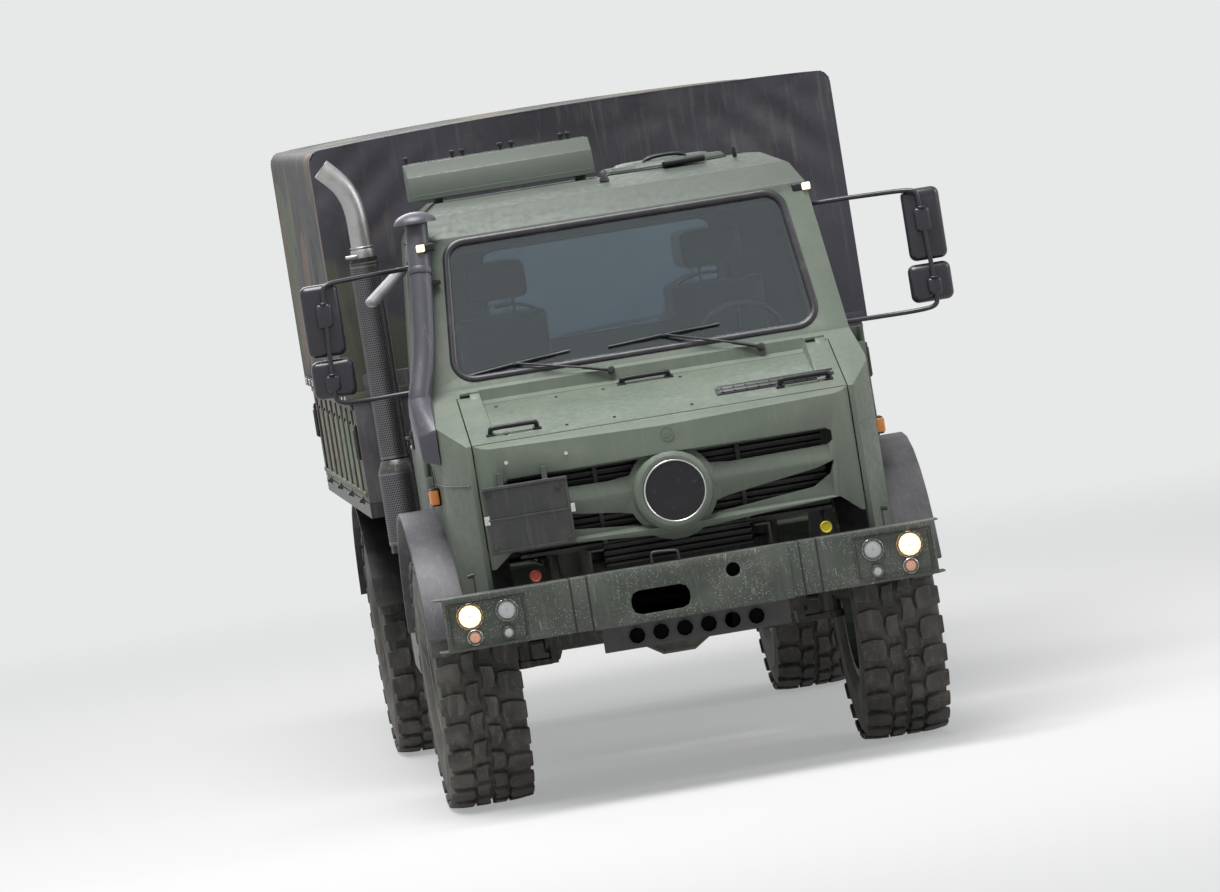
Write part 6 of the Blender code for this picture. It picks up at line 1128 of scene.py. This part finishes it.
# %% Four tyres, wheel nuts and hub bolts
def wheel_part(master, name, corner, finish):
    side, word, axle_y, end = corner
    piece = duplicate(master)
    if side < 0:
        piece.data.transform(Matrix.Rotation(math.pi, 4, "Z"))
    piece.data.transform(Matrix.Translation((side * 0.98, axle_y, RADIUS)))
    return settle(piece, f"{name}_{end}_{word}", finish, f"wheel_{end}_{word}")


CORNERS = [(side, word, y, end) for side, word in reversed(BOTH) for y, end in ((-2.05, "front"), (1.80, "rear"))]
for corner in CORNERS:
    piece = wheel_part(tyre, "treaded_tyre", corner, rubber)
    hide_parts("tyre_" + piece.name.removeprefix("treaded_tyre_"))

WASHER_NUT_STUD = (
    (0.048, 0.056, 0.021, 24, 0.002), (0.050, 0.078, 0.0155, 6, 0.002), (0.070, 0.088, 0.009, 14, 0.002),
)
HUB_BOLT = ((0.122, 0.1315, 0.0085, 6, 0.001),)
HUB_CAP = ((0.122, 0.1345, 0.026, 28, 0.003),)
BOLT_CIRCLES = ((10, 0.5, 0.176, WASHER_NUT_STUD), (8, 0.0, 0.066, HUB_BOLT), (1, 0.0, 0.0, HUB_CAP))
nuts = []
for count, turn_on, circle, steps in BOLT_CIRCLES:
    for k in range(count):
        angle = math.tau * (k + turn_on) / count
        y, z = circle * math.cos(angle), circle * math.sin(angle)
        for low, high, radius, corners, bevel in steps:
            nuts.append(rod((low, y, z), (high, y, z), radius, corners, bevel))
nut_set = join(*nuts)
for corner in CORNERS:
    wheel_part(nut_set, "wheel_nuts", corner, cast_metal)
bpy.data.objects.remove(tyre)
bpy.data.objects.remove(nut_set)
print("wheels are dressed")

# %% [markdown]
# The seats show through the panes. A seat cushion is foam under tight cloth: its faces crown and its sides pull
# in between the corners. Each pad starts as a rounded block a little too small, is remeshed to an even skin, and
# is blown up by a short cloth simulation with gravity off. Sewn channels are pressed in afterwards, because the
# remesh would wipe them out.
# %% One padded piece
CELL = SWELL = 0.014
CLOTH_STEPS = 12


def pad(name, place, size, channels=()):
    shape = block(place, [side - 0.9 * SWELL for side in size], 0.028, segments=3)
    with_modifier(shape, "REMESH", mode="VOXEL", voxel_size=CELL)
    start = [v.co.copy() for v in shape.data.vertices]
    cloth = shape.modifiers.new("stuffing", "CLOTH")
    cloth.settings.use_pressure = True
    cloth.settings.uniform_pressure_force = 4
    cloth.settings.effector_weights.gravity = 0
    cloth.point_cache.frame_start, cloth.point_cache.frame_end = 1, CLOTH_STEPS
    for step in range(1, CLOTH_STEPS + 1):
        bpy.context.scene.frame_set(step)
    bpy.ops.object.modifier_apply(modifier=cloth.name)
    bpy.context.scene.frame_set(1)
    low, high = Vector(place) - Vector(size) / 2, Vector(place) + Vector(size) / 2
    for v, before in zip(shape.data.vertices, start):
        moved = v.co - before
        if moved.length > SWELL:
            v.co = before + moved.normalized() * SWELL
        for axis, at, half in channels:
            near = abs(v.co[axis] - at)
            if near < half:
                v.co -= v.normal * 0.007 * (1 - near / half) ** 2
        v.co = Vector([min(max(c, a), b) for c, a, b in zip(v.co, low, high)])
    with_modifier(shape, "SUBSURF", levels=1, render_levels=1)
    settle(shape, name, seat_cloth, smooth=70)
    return shape


print("pads are", CELL, "m fine")


# %% Two seats
SEAT_Y, BACK_Y = -1.46, -1.232
for side, word in ((1, "driver"), (-1, "passenger")):
    x = side * 0.52
    seams = [(0, x - 0.14, 0.02), (0, x + 0.14, 0.02)]
    cushion = pad(f"{word}_cushion", (x, -1.475, 1.695), (0.488, 0.485, 0.128), [*seams, (1, -1.50, 0.018)])
    pad(f"{word}_backrest", (x, BACK_Y, 1.985), (0.470, 0.112, 0.50), [*seams, (2, 1.93, 0.018)])
    pad(f"{word}_headrest", (x, BACK_Y, 2.375), (0.300, 0.100, 0.190))
    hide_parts(f"{word}_seat")
    stalks = [rod((x + s * 0.07, BACK_Y, 2.21), (x + s * 0.07, BACK_Y, 2.30), 0.008, 16) for s in (-1, 1)]
    rails = [block((x + s * 0.17, SEAT_Y, 1.615), (0.036, 0.44, 0.030), 0.006) for s in (-1, 1)]
    base = block((x, SEAT_Y, 1.525), (0.36, 0.40, 0.155), 0.02, segments=3)
    pick(base, lambda place, normal: abs(normal.z) < 0.3)
    bpy.ops.mesh.subdivide(number_cuts=4)
    base = done()
    for v in base.data.vertices:
        ripple = 1 + 0.035 * math.cos((v.co.z - 1.45) * 120)
        v.co.x = x + (v.co.x - x) * ripple
        v.co.y = SEAT_Y + (v.co.y - SEAT_Y) * ripple
    settle([*stalks, *rails, base], f"{word}_seat_frame", handle_black)
    belt_line = [(x - side * 0.20, -1.165, 2.20), (x - side * 0.12, -1.172, 2.27), (x + side * 0.02, -1.172, 2.25)]
    settle(wire(belt_line, 0.007), f"{word}_belt_guide", dark_metal)

# %% [markdown]
# The dashboard is one moulded shelf under the windscreen with a hood over the dials. It is a block whose rear
# edge is pulled down and whose face is inset twice, so that it reads as a moulding through the glass.
# %% Dashboard
shelf = block((0, -2.215, 1.845), (1.76, 0.22, 0.14), 0.0)
shelf = pressed(shelf, faces_back, (0.02, (0, -0.015, -0.01)), (0.012, (0, 0.008, 0)))
shelf = applied(shelf, 0.012, 3)
cowl = block((0.52, -2.13, 1.925), (0.40, 0.13, 0.075), 0.022, (0.25, 0, 0), 4)
settle([shelf, cowl], "dashboard", black_plastic)
dial_places = ((0.42, 0.040), (0.52, 0.045), (0.62, 0.040))
dials = [ring((x, -2.060, 1.918), (0, 1, -0.25), radius, 0.005, 32, 8) for x, radius in dial_places]
settle(dials, "dial_rims", bright_metal)
visors = [block((side * 0.44, -1.99, 2.605), (0.62, 0.20, 0.014), 0.006, (0.55, 0, 0), 3) for side in (-1, 1)]
settle(visors, "sun_visors", seat_cloth)
print("dashboard is in")

# %% [markdown]
# The exhaust climbs behind the cab on the lorry's right. Its upper pipe and the silencer below wear a guard of
# perforated steel. The guard is a flat grid whose cells are inset and whose inner faces are deleted, which leaves
# a net, and the net is then rolled round the pipe. A bright clamp holds the bare tail pipe on top.
# %% Perforated guards
STACK = (-1.100, -0.850)
HOLE_PITCH, WEB = 0.0125, 0.0021


def perforated(radius, low, high):
    """A net of staggered holes, laid out flat in real metres and then rolled round the pipe."""
    girth, rise = math.tau * radius, high - low
    columns, lines = round(girth / HOLE_PITCH), round(rise / (HOLE_PITCH * 0.87))
    line = rise / lines
    net = cloth_grid(columns, lines, lambda u, v: (u * girth, v * rise, 0))
    pick(net, lambda place, normal: 1.2 * line < place.y < rise - 1.2 * line)
    bpy.ops.mesh.inset(thickness=WEB, use_individual=True)
    bpy.ops.mesh.delete(type="FACE")
    net = done()
    for v in net.data.vertices:
        angle = v.co.x / radius + 0.5 * math.tau / columns * (v.co.y / line)
        v.co = (STACK[0] + radius * math.cos(angle), STACK[1] + radius * math.sin(angle), low + v.co.y)
    return with_modifier(merged(net, 0.0003), "SOLIDIFY", thickness=0.0012, offset=1)


guard_steel = plain("guard_steel", (0.16, 0.155, 0.165), 0.36, 0.8)
stain(guard_steel, (0.12, 0.095, 0.08), noise(guard_steel, 11, 6), 0.52, 0.75, 0.5)
for name, radius, low, high in (("upper", 0.0690, 1.612, 2.545), ("lower", 0.0910, 1.205, 1.545)):
    settle(perforated(radius, low, high), f"exhaust_guard_{name}", guard_steel, smooth=40)
collar = rod((*STACK, 1.545), (*STACK, 1.604), 0.0925, 40, 0.003, 0.071)
rims = [rod((*STACK, z), (*STACK, z + 0.012), radius, 40, 0.003) for z, radius in ((2.546, 0.0705), (1.196, 0.0920))]
settle([collar, *rims], "exhaust_collar", lamp_body)

# %% [markdown]
# The bare tail pipe is one smooth bend that leans out to the lorry's right, cut square and open at its end. A
# clamp with a swivel bolt holds it on the guarded pipe.
# %% Tail pipe and clamp
tail_line = (
    (-1.100, -0.85, 2.582), (-1.100, -0.85, 2.70), (-1.101, -0.85, 2.79), (-1.118, -0.85, 2.88),
    (-1.160, -0.85, 2.960), (-1.232, -0.85, 3.030),
)
pipe_end, outward = Vector(tail_line[-1]), Vector((-0.7, 0, 0.7))
tail = pressed(
    wire(tail_line, 0.0497, sides=8),
    lambda place, normal: (place - pipe_end).length < 0.03 and normal.dot(outward) > 0.8,
    (0.004, (0.060, 0, -0.060)),
)
pipe_grey = plain("bare_pipe_steel", (0.40, 0.40, 0.40), 0.38, 0.9)
stain(pipe_grey, (0.22, 0.20, 0.18), noise(pipe_grey, 8, 6), 0.5, 0.75, 0.6)
matter(pipe_grey, noise(pipe_grey, 40, 5), 0.28, 0.55)
settle(tail, "tail_pipe_bend", pipe_grey, smooth=50)
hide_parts("exhaust_tail_pipe")
clamp = [rod((*STACK, 2.566), (*STACK, 2.622), 0.0560, 40, 0.004)]
clamp.append(ring((*STACK, 2.630), UPWARD, 0.0530, 0.0045, 40, 8))
bolt = [(STACK[0] + dx, STACK[1] + dy, 2.592) for dx, dy in ((-0.085, -0.045), (-0.03, -0.052))]
clamp.append(rod(*bolt, 0.009, 12, 0.002))
settle(clamp, "tail_pipe_clamp", pipe_grey)
print("tail pipe is on")

# %% [markdown]
# The intake pipe is a smooth plastic moulding. It runs down in front of the screen pillar, under a domed rain cap,
# and ends in a slanted wedge round the cab's corner. The pipe is a bent wire, the cap a flattened half sphere,
# and the wedge the hull of the pipe's end and of eight corners, with rounded edges.
# %% Intake pipe
intake_black = plain("intake_black", (0.050, 0.049, 0.062), 0.40)
relief(intake_black, noise(intake_black, 500, 2), 0.12, 0.0006)
stain(intake_black, (0.24, 0.23, 0.25), noise(intake_black, 7, 7, stretch=(5, 5, 0.5)), 0.56, 0.8, 0.35)
pipe_line = (
    (-0.910, -2.205, 2.735), (-0.914, -2.222, 2.65), (-0.930, -2.275, 2.50), (-0.954, -2.335, 2.30),
    (-0.980, -2.392, 2.12), (-1.015, -2.440, 2.00), (-1.040, -2.475, 1.92), (-1.046, -2.490, 1.85),
)
stalk = wire(pipe_line, 0.0535, sides=8)
wedge_corners = [
    (-1.098, -2.500, 1.870), (-1.084, -2.690, 1.765), (-1.003, -2.765, 1.785), (-1.018, -2.470, 1.900),
    (-1.094, -2.490, 1.690), (-1.080, -2.680, 1.645), (-1.004, -2.750, 1.620), (-1.018, -2.480, 1.660),
]
for k in range(16):
    angle = math.tau * k / 16
    wedge_corners.append((-1.036 + 0.054 * math.cos(angle), -2.466 + 0.054 * math.sin(angle), 1.938))
wedge_mesh = bpy.data.meshes.new("wedge")
wedge_mesh.from_pydata([(min(x, -1.0025 if y < -2.5 else x), y, z) for x, y, z in wedge_corners], [], [])
wedge = bpy.data.objects.new("wedge", wedge_mesh)
bpy.context.scene.collection.objects.link(wedge)
edit_all(wedge)
bpy.ops.mesh.convex_hull()
bpy.ops.mesh.dissolve_limited(angle_limit=math.radians(4))
wedge = applied(done(), 0.008, 3)

CAP_Z = 2.724
bpy.ops.mesh.primitive_uv_sphere_add(segments=40, ring_count=24, radius=0.099, location=(-0.914, -2.203, CAP_Z))
cap = bpy.context.object
cap.scale = (1, 1, 0.54)
for v in applied(cap).data.vertices:
    v.co.z = max(v.co.z, CAP_Z)
neck_rings = [ring((-0.9155, -2.226, 2.640), (0.09, 0.34, -1), 0.0525, 0.0035, 32, 8)]
neck_rings.append(rod((-0.9285, -2.270, 2.515), (-0.9320, -2.281, 2.483), 0.0575, 32, 0.004))
intake = settle([stalk, wedge, cap, *neck_rings], "intake_pipe", intake_black, smooth=40)
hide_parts("air_intake_snorkel")
strap = block((-0.880, -2.215, 2.440), (0.060, 0.080, 0.022), 0.004, (0, 0, 0.3))
settle(strap, "intake_bracket", handle_black)
print("intake pipe", len(intake.data.polygons), "faces")

# %% [markdown]
# Each mirror set is one bent steel tube from the pillar out, down in front of two mirror heads, and back. The
# heads are thick rounded plastic shells, each held by one clamp, with the glass in a lip on the driver's side.
# One side is modelled and the other is its mirror image.
# %% Mirror sets
shell_black = plain("mirror_shell", (0.018, 0.017, 0.024), 0.30)
relief(shell_black, noise(shell_black, 300, 2), 0.06, 0.0006)
stain(shell_black, (0.20, 0.19, 0.21), noise(shell_black, 16, 6), 0.60, 0.9, 0.2)
HEADS = ((-1.4120, 2.350, 0.178, 0.335), (-1.4020, 2.078, 0.199, 0.178))
CLAMPS = ((-1.403, 2.372, 0.074, 0.115), (-1.413, 2.060, 0.068, 0.080))
bend = (
    (-0.932, -2.121, 2.520), (-1.06, -2.185, 2.522), (-1.22, -2.285, 2.520), (-1.340, -2.360, 2.518),
    (-1.392, -2.378, 2.508), (-1.398, -2.380, 2.455), (-1.404, -2.380, 2.30), (-1.412, -2.380, 2.12),
    (-1.414, -2.379, 2.005), (-1.405, -2.374, 1.968), (-1.345, -2.355, 1.958), (-1.20, -2.315, 1.956),
    (-0.984, -2.320, 1.9595),
)
frame_parts = [wire(bend, 0.0112, sides=5)]
shells, panes, lips = [], [], []
for x, z, wide, deep in HEADS:
    shells.append(block((x, -2.3190, z), (wide, 0.076, deep), 0.034, segments=6))
    pane = block((x, -2.2810, z), (wide - 0.034, 0.004, deep - 0.034), 0.0)
    panes.append(pressed(pane, faces_back, (0.006, (0, 0.0012, 0))))
    half_w, half_d = wide / 2 - 0.016, deep / 2 - 0.016
    corners = [(x + a * half_w, -2.2800, z + b * half_d) for a, b in ((-1, -1), (1, -1), (1, 1), (-1, 1))]
    lips.append(wire(rounded_outline(corners, 0.022, 5), 0.0050, True, False))
for x, z, wide, deep in CLAMPS:
    frame_parts.append(block((x, -2.371, z), (wide, 0.046, deep), 0.019, segments=5))
    frame_parts.append(ring((x, -2.380, z + deep / 2), UPWARD, 0.016, 0.005, 24, 8))
right_set = {
    name: join(*parts)
    for name, parts in (("frame", frame_parts), ("shells", shells), ("glass", panes), ("lips", lips))
}
left_set = {}
for name, piece in right_set.items():
    left_set[name] = duplicate(piece)
    left_set[name].data.transform(Matrix.Scale(-1, 4, (1, 0, 0)))
    left_set[name].data.flip_normals()
for word, pieces in (("right", right_set), ("left", left_set)):
    for name, piece in pieces.items():
        settle(piece, f"mirror_{name}_{word}", mirror_silver if name == "glass" else shell_black, smooth=45)
    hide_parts(f"mirrors_{word}")
kerb = block((-1.085, -2.06, 2.450), (0.235, 0.110, 0.046), 0.021, (0, math.radians(-37), 0.2), 5)
kerb_arm = wire([(-1.03, -2.07, 2.485), (-0.99, -2.08, 2.53), (-0.94, -2.09, 2.535)], 0.008)
dusty_grey = plain("dusty_grey", (0.20, 0.20, 0.205), 0.5)
stain(dusty_grey, (0.05, 0.05, 0.055), noise(dusty_grey, 14, 6), 0.5, 0.75, 0.6)
settle([kerb, kerb_arm], "kerb_mirror", dusty_grey)

# %% [markdown]
# The panes of the doors and the rear pane sit in thinner seals. Each pane is convex, so the outline of its seal
# is the hull of the pane's own corners, seen from its side.
# %% Seals of the other panes
def hull_of(points):
    """The corners of the convex outline of 2-D points, anticlockwise."""
    points = sorted(set(points))
    outline = []
    for run in (points, list(reversed(points))):
        chain = []
        for point in run:
            while len(chain) > 1:
                (ax, ay), (bx, by) = chain[-2:]
                if (bx - ax) * (point[1] - ay) - (by - ay) * (point[0] - ax) > 1e-9:
                    break
                chain.pop()
            chain.append(point)
        outline += chain[:-1]
    return outline


def pane_seal(node, name, body, facing, outward):
    """A seal round the outer face of a pane, which faces along that axis, outward being 1 or -1."""
    first, second = [axis for axis in range(3) if axis != facing]
    corners = sorted((v.co for v in nodes[node].data.vertices), key=lambda c: c[facing] * outward)
    flat = {(round(c[first], 4), round(c[second], 4)): c for c in corners}
    line = [flat[key].copy() for key in hull_of(list(flat))]
    spread = [here for here, after in zip(line, line[1:] + line[:1]) if (after - here).length > 0.004]
    return settle(wire(spread, 0.009, True, False), name, seal_rubber, body, 60)


for side, word in BOTH:
    pane_seal(f"door_glass_{word}", f"door_seal_{word}", f"door_{word}", 0, side)
pane_seal("rear_window", "rear_window_seal", "chassis", 1, 1)
print("seals", sum("seal" in o.name for o in bpy.context.scene.objects))

# %% [markdown]
# Small things on the cab: an indicator lamp on each front corner, two pressed slots beside it, a marker lamp at
# each top corner, a handle and a lock on each door, and the stays that carry the front mudguards.
# %% Cab corners and doors
for side, word in BOTH:
    box = block((side * 1.038, -2.462, 1.470), (0.044, 0.090, 0.082), 0.008, segments=3)
    settle(box, f"indicator_box_{word}", handle_black)
    lens = block((side * 1.043, -2.510, 1.470), (0.040, 0.020, 0.066), 0.006, segments=3)
    side_lens = block((side * 1.062, -2.475, 1.470), (0.006, 0.070, 0.058), 0.002)
    settle([lens, side_lens], f"indicator_lens_{word}", amber_lens)
    marker_y = -2.300 if side < 0 else -2.150
    marker = block((side * 0.890, marker_y + 0.014, 2.607), (0.085, 0.044, 0.040), 0.010, segments=3)
    settle(marker, f"marker_box_{word}", handle_black)
    marker_lens = block((side * 0.914, marker_y - 0.012, 2.607), (0.040, 0.014, 0.034), 0.006, segments=3)
    settle(marker_lens, f"marker_lens_{word}", lit_lens)
    slot_places = ((-2.325, 1.575), (-2.405, 1.566))
    slots = [block((side * 1.0305, y, z), (0.005, 0.020, 0.085), 0.002) for y, z in slot_places]
    settle(slots, f"cab_slots_{word}", handle_black)
    dish = block((side * 1.032, -1.270, 1.700), (0.010, 0.170, 0.085), 0.004)
    dish = pressed(dish, lambda place, normal: normal.x * side > 0.9, (0.010, (-side * 0.006, 0, 0)))
    grip = bow((side * 1.034, -1.335, 1.712), (side * 1.034, -1.205, 1.712), (side * 0.020, 0, 0), 0.009, 0.010)
    settle([dish, grip], f"door_handle_{word}", handle_black, f"door_{word}")
    lock = rod((side * 1.030, -1.185, 1.660), (side * 1.038, -1.185, 1.660), 0.011, 20, 0.002)
    settle(lock, f"door_lock_{word}", bright_metal, f"door_{word}")
creases, stays = [], []
for side in (-1, 1):
    crease_line = [(side * 1.031, -2.34, 1.528), (side * 0.9995, -2.752, 1.522), (side * 0.903, -2.970, 1.518)]
    creases.append(wire(crease_line, 0.0035, smooth=False))
    stays.append(rod((side * 0.975, -2.865, 1.105), (side * 0.90, -2.865, 1.120), 0.010, 16, 0.002))
    stays.append(rod((side * 0.945, -2.865, 1.112), (side * 0.945, -2.865, 0.99), 0.008, 16, 0.002))
settle(creases, "corner_creases", cab_paint)
settle(stays, "mudguard_stays", dark_metal)
print("cab corners are dressed")

# %% [markdown]
# On the roof the long locker has a lid edge and a row of bolts, the hatch has a seal, a dome and a handle, and a
# whip antenna stands on a rubber foot beside them.
# %% Roof fittings
knobs = []
for x in (-0.862, -0.640, -0.590, -0.410, -0.355, -0.120, -0.085):
    knobs.append(rod((x, -1.425, 2.985), (x, -1.425, 3.018), 0.008, 14, 0.003))
    knobs.append(rod((x, -1.425, 3.008), (x, -1.425, 3.024), 0.013, 14, 0.003))
settle(knobs, "locker_bolts", handle_black)
low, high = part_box("roof_locker")
middle_x, wide = (low.x + high.x) / 2, high.x - low.x
lid = [block((middle_x, high.y - 0.01, high.z + 0.001), (wide - 0.02, 0.06, 0.006), 0.002)]
lid.append(block((middle_x, low.y + 0.010, low.z + 0.045), (wide - 0.03, 0.010, 0.010), 0.003))
settle(lid, "locker_lid_edge", cab_paint)

low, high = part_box("roof_hatch")
x, y = (low.x + high.x) / 2, -1.450
handle = bow((x - 0.10, y - 0.19, high.z), (x + 0.10, y - 0.19, high.z), (0, 0, 0.028), 0.009)
settle(handle, "hatch_handle", handle_black, "roof_hatch")
dome = pressed(
    rod((x, y, high.z - 0.002), (x, y, high.z + 0.010), 0.235, 56, 0.006, 0.215),
    lambda place, normal: normal.z > 0.9 and place.z > high.z,
    (0.03, (0, 0, 0.004)), (0.10, (0, 0, -0.003)),
)
settle(dome, "hatch_dome", cab_paint, "roof_hatch")
settle(ring((x, y, low.z + 0.004), UPWARD, 0.303, 0.005, 64, 8), "hatch_seal", seal_rubber)
low_box = block((0.405, -1.775, 2.808), (0.205, 0.050, 0.030), 0.012, segments=3)
stub = rod((0.645, -1.80, 2.785), (0.645, -1.80, 2.835), 0.010, 16, 0.003)
settle([low_box, stub], "roof_black_fittings", handle_black)
settle(rod((0.016, -1.85, 2.770), (0.019, -1.85, 2.822), 0.024, 24, 0.004, 0.010), "antenna_foot", seal_rubber)
settle(rod((0.019, -1.85, 2.818), (0.006, -1.85, 3.147), 0.0035, 10, 0.0, 0.0022), "antenna_whip", dark_metal)
print("roof is dressed")

# %% [markdown]
# The drop sides of the load bed are pressed boards with upright ribs between two long edges, latches at the ends
# and hooks for the cover's cord. They are all on the board's own body, so that they fold down with it.
# %% Drop sides and tailgate
RIB_YS = [-0.35 + k * 0.46 for k in range(8)]
for side, word in BOTH:
    x = side * 1.2455
    ribs = [block((x + side * 0.005, y, 1.650), (0.008, 0.060, 0.40), 0.003) for y in RIB_YS]
    ribs.append(block((x + side * 0.004, 1.25, 1.868), (0.012, 3.66, 0.022), 0.004))
    ribs.append(block((x + side * 0.004, 1.25, 1.445), (0.010, 3.66, 0.024), 0.004))
    settle(ribs, f"board_ribs_{word}", camouflage, f"side_board_{word}")
    latches = []
    for y in RIB_YS:
        latches.append(block((x + side * 0.010, y + 0.115, 1.790), (0.012, 0.034, 0.012), 0.003))
        foot = x + side * 0.004
        ends = (foot, y + 0.098, 1.796), (foot, y + 0.134, 1.796)
        latches.append(bow(*ends, (side * 0.014, 0, -0.020), 0.0035, 0.002))
    for y in (-0.57, 3.07):
        latches.append(block((x + side * 0.007, y, 1.700), (0.016, 0.045, 0.17), 0.005))
        latches.append(rod((x + side * 0.012, y, 1.62), (x + side * 0.012, y, 1.76), 0.009, 16, 0.003))
    settle(latches, f"board_latches_{word}", handle_black, f"side_board_{word}")

GATE_Y = 3.1502
ribs = [block((x, GATE_Y + 0.006, 1.650), (0.060, 0.012, 0.40), 0.005) for x in (-1.02, -0.51, 0, 0.51, 1.02)]
ribs.append(block((0, GATE_Y + 0.005, 1.868), (2.36, 0.012, 0.022), 0.004))
settle(ribs, "tailgate_ribs", camouflage, "tailgate")
latches = []
for x in (-1.17, 1.17):
    latches.append(block((x, GATE_Y + 0.008, 1.72), (0.050, 0.016, 0.16), 0.005))
    latches.append(rod((x, GATE_Y + 0.014, 1.65), (x, GATE_Y + 0.014, 1.79), 0.009, 16, 0.003))
for x in (-0.255, 0.255):
    latches.append(bow((x - 0.06, GATE_Y, 1.56), (x + 0.06, GATE_Y, 1.56), (0, 0.024, 0), 0.008))
settle(latches, "tailgate_latches", handle_black, "tailgate")

skirt = []
for side in (-1, 1):
    skirt.append(block((side * 1.2025, 1.27, 1.880), (0.003, 3.66, 0.075), 0.001))
    skirt.append(block((side * 1.2365, 1.27, 1.9165), (0.069, 3.80, 0.003), 0.001))
settle(skirt, "canvas_skirt", canvas_cloth)
print("load bed is dressed")

# %% [markdown]
# At the back, lamp clusters stand on the underrun bar beside a blank plate holder, and a towing jaw is bolted to
# the last cross member of the frame.
# %% Rear lamps, plate holder and towing jaw
for side, word in BOTH:
    x = side * 0.94
    shell = block((x, 2.938, 0.905), (0.330, 0.070, 0.125), 0.012, segments=3)
    settle(pressed(shell, faces_back, (0.010, (0, -0.010, 0))), f"rear_lamp_{word}", handle_black)
    for k, (dx, finish) in enumerate(((-0.100, amber_lens), (0.0, red_lens), (0.100, clear_lens))):
        lens = rod((x + side * dx, 2.962, 0.905), (x + side * dx, 2.976, 0.905), 0.042, 32, 0.003)
        settle(pressed(lens, faces_back, (0.010, (0, 0.003, 0))), f"rear_lens_{word}_{k}", finish)
holder = block((0.36, 2.984, 0.780), (0.520, 0.006, 0.112), 0.002)
settle(pressed(holder, faces_back, (0.006, (0, -0.002, 0))), "blank_plate_holder", dark_metal)
jaw = block((0, 3.085, 1.02), (0.16, 0.10, 0.11), 0.018, segments=3)
jaw = pressed(jaw, faces_back, (0.022, (0, -0.050, 0)))
settle([jaw, rod((0, 3.105, 1.10), (0, 3.105, 0.94), 0.018, 24, 0.003)], "towing_jaw", dark_metal)
print("rear is dressed")
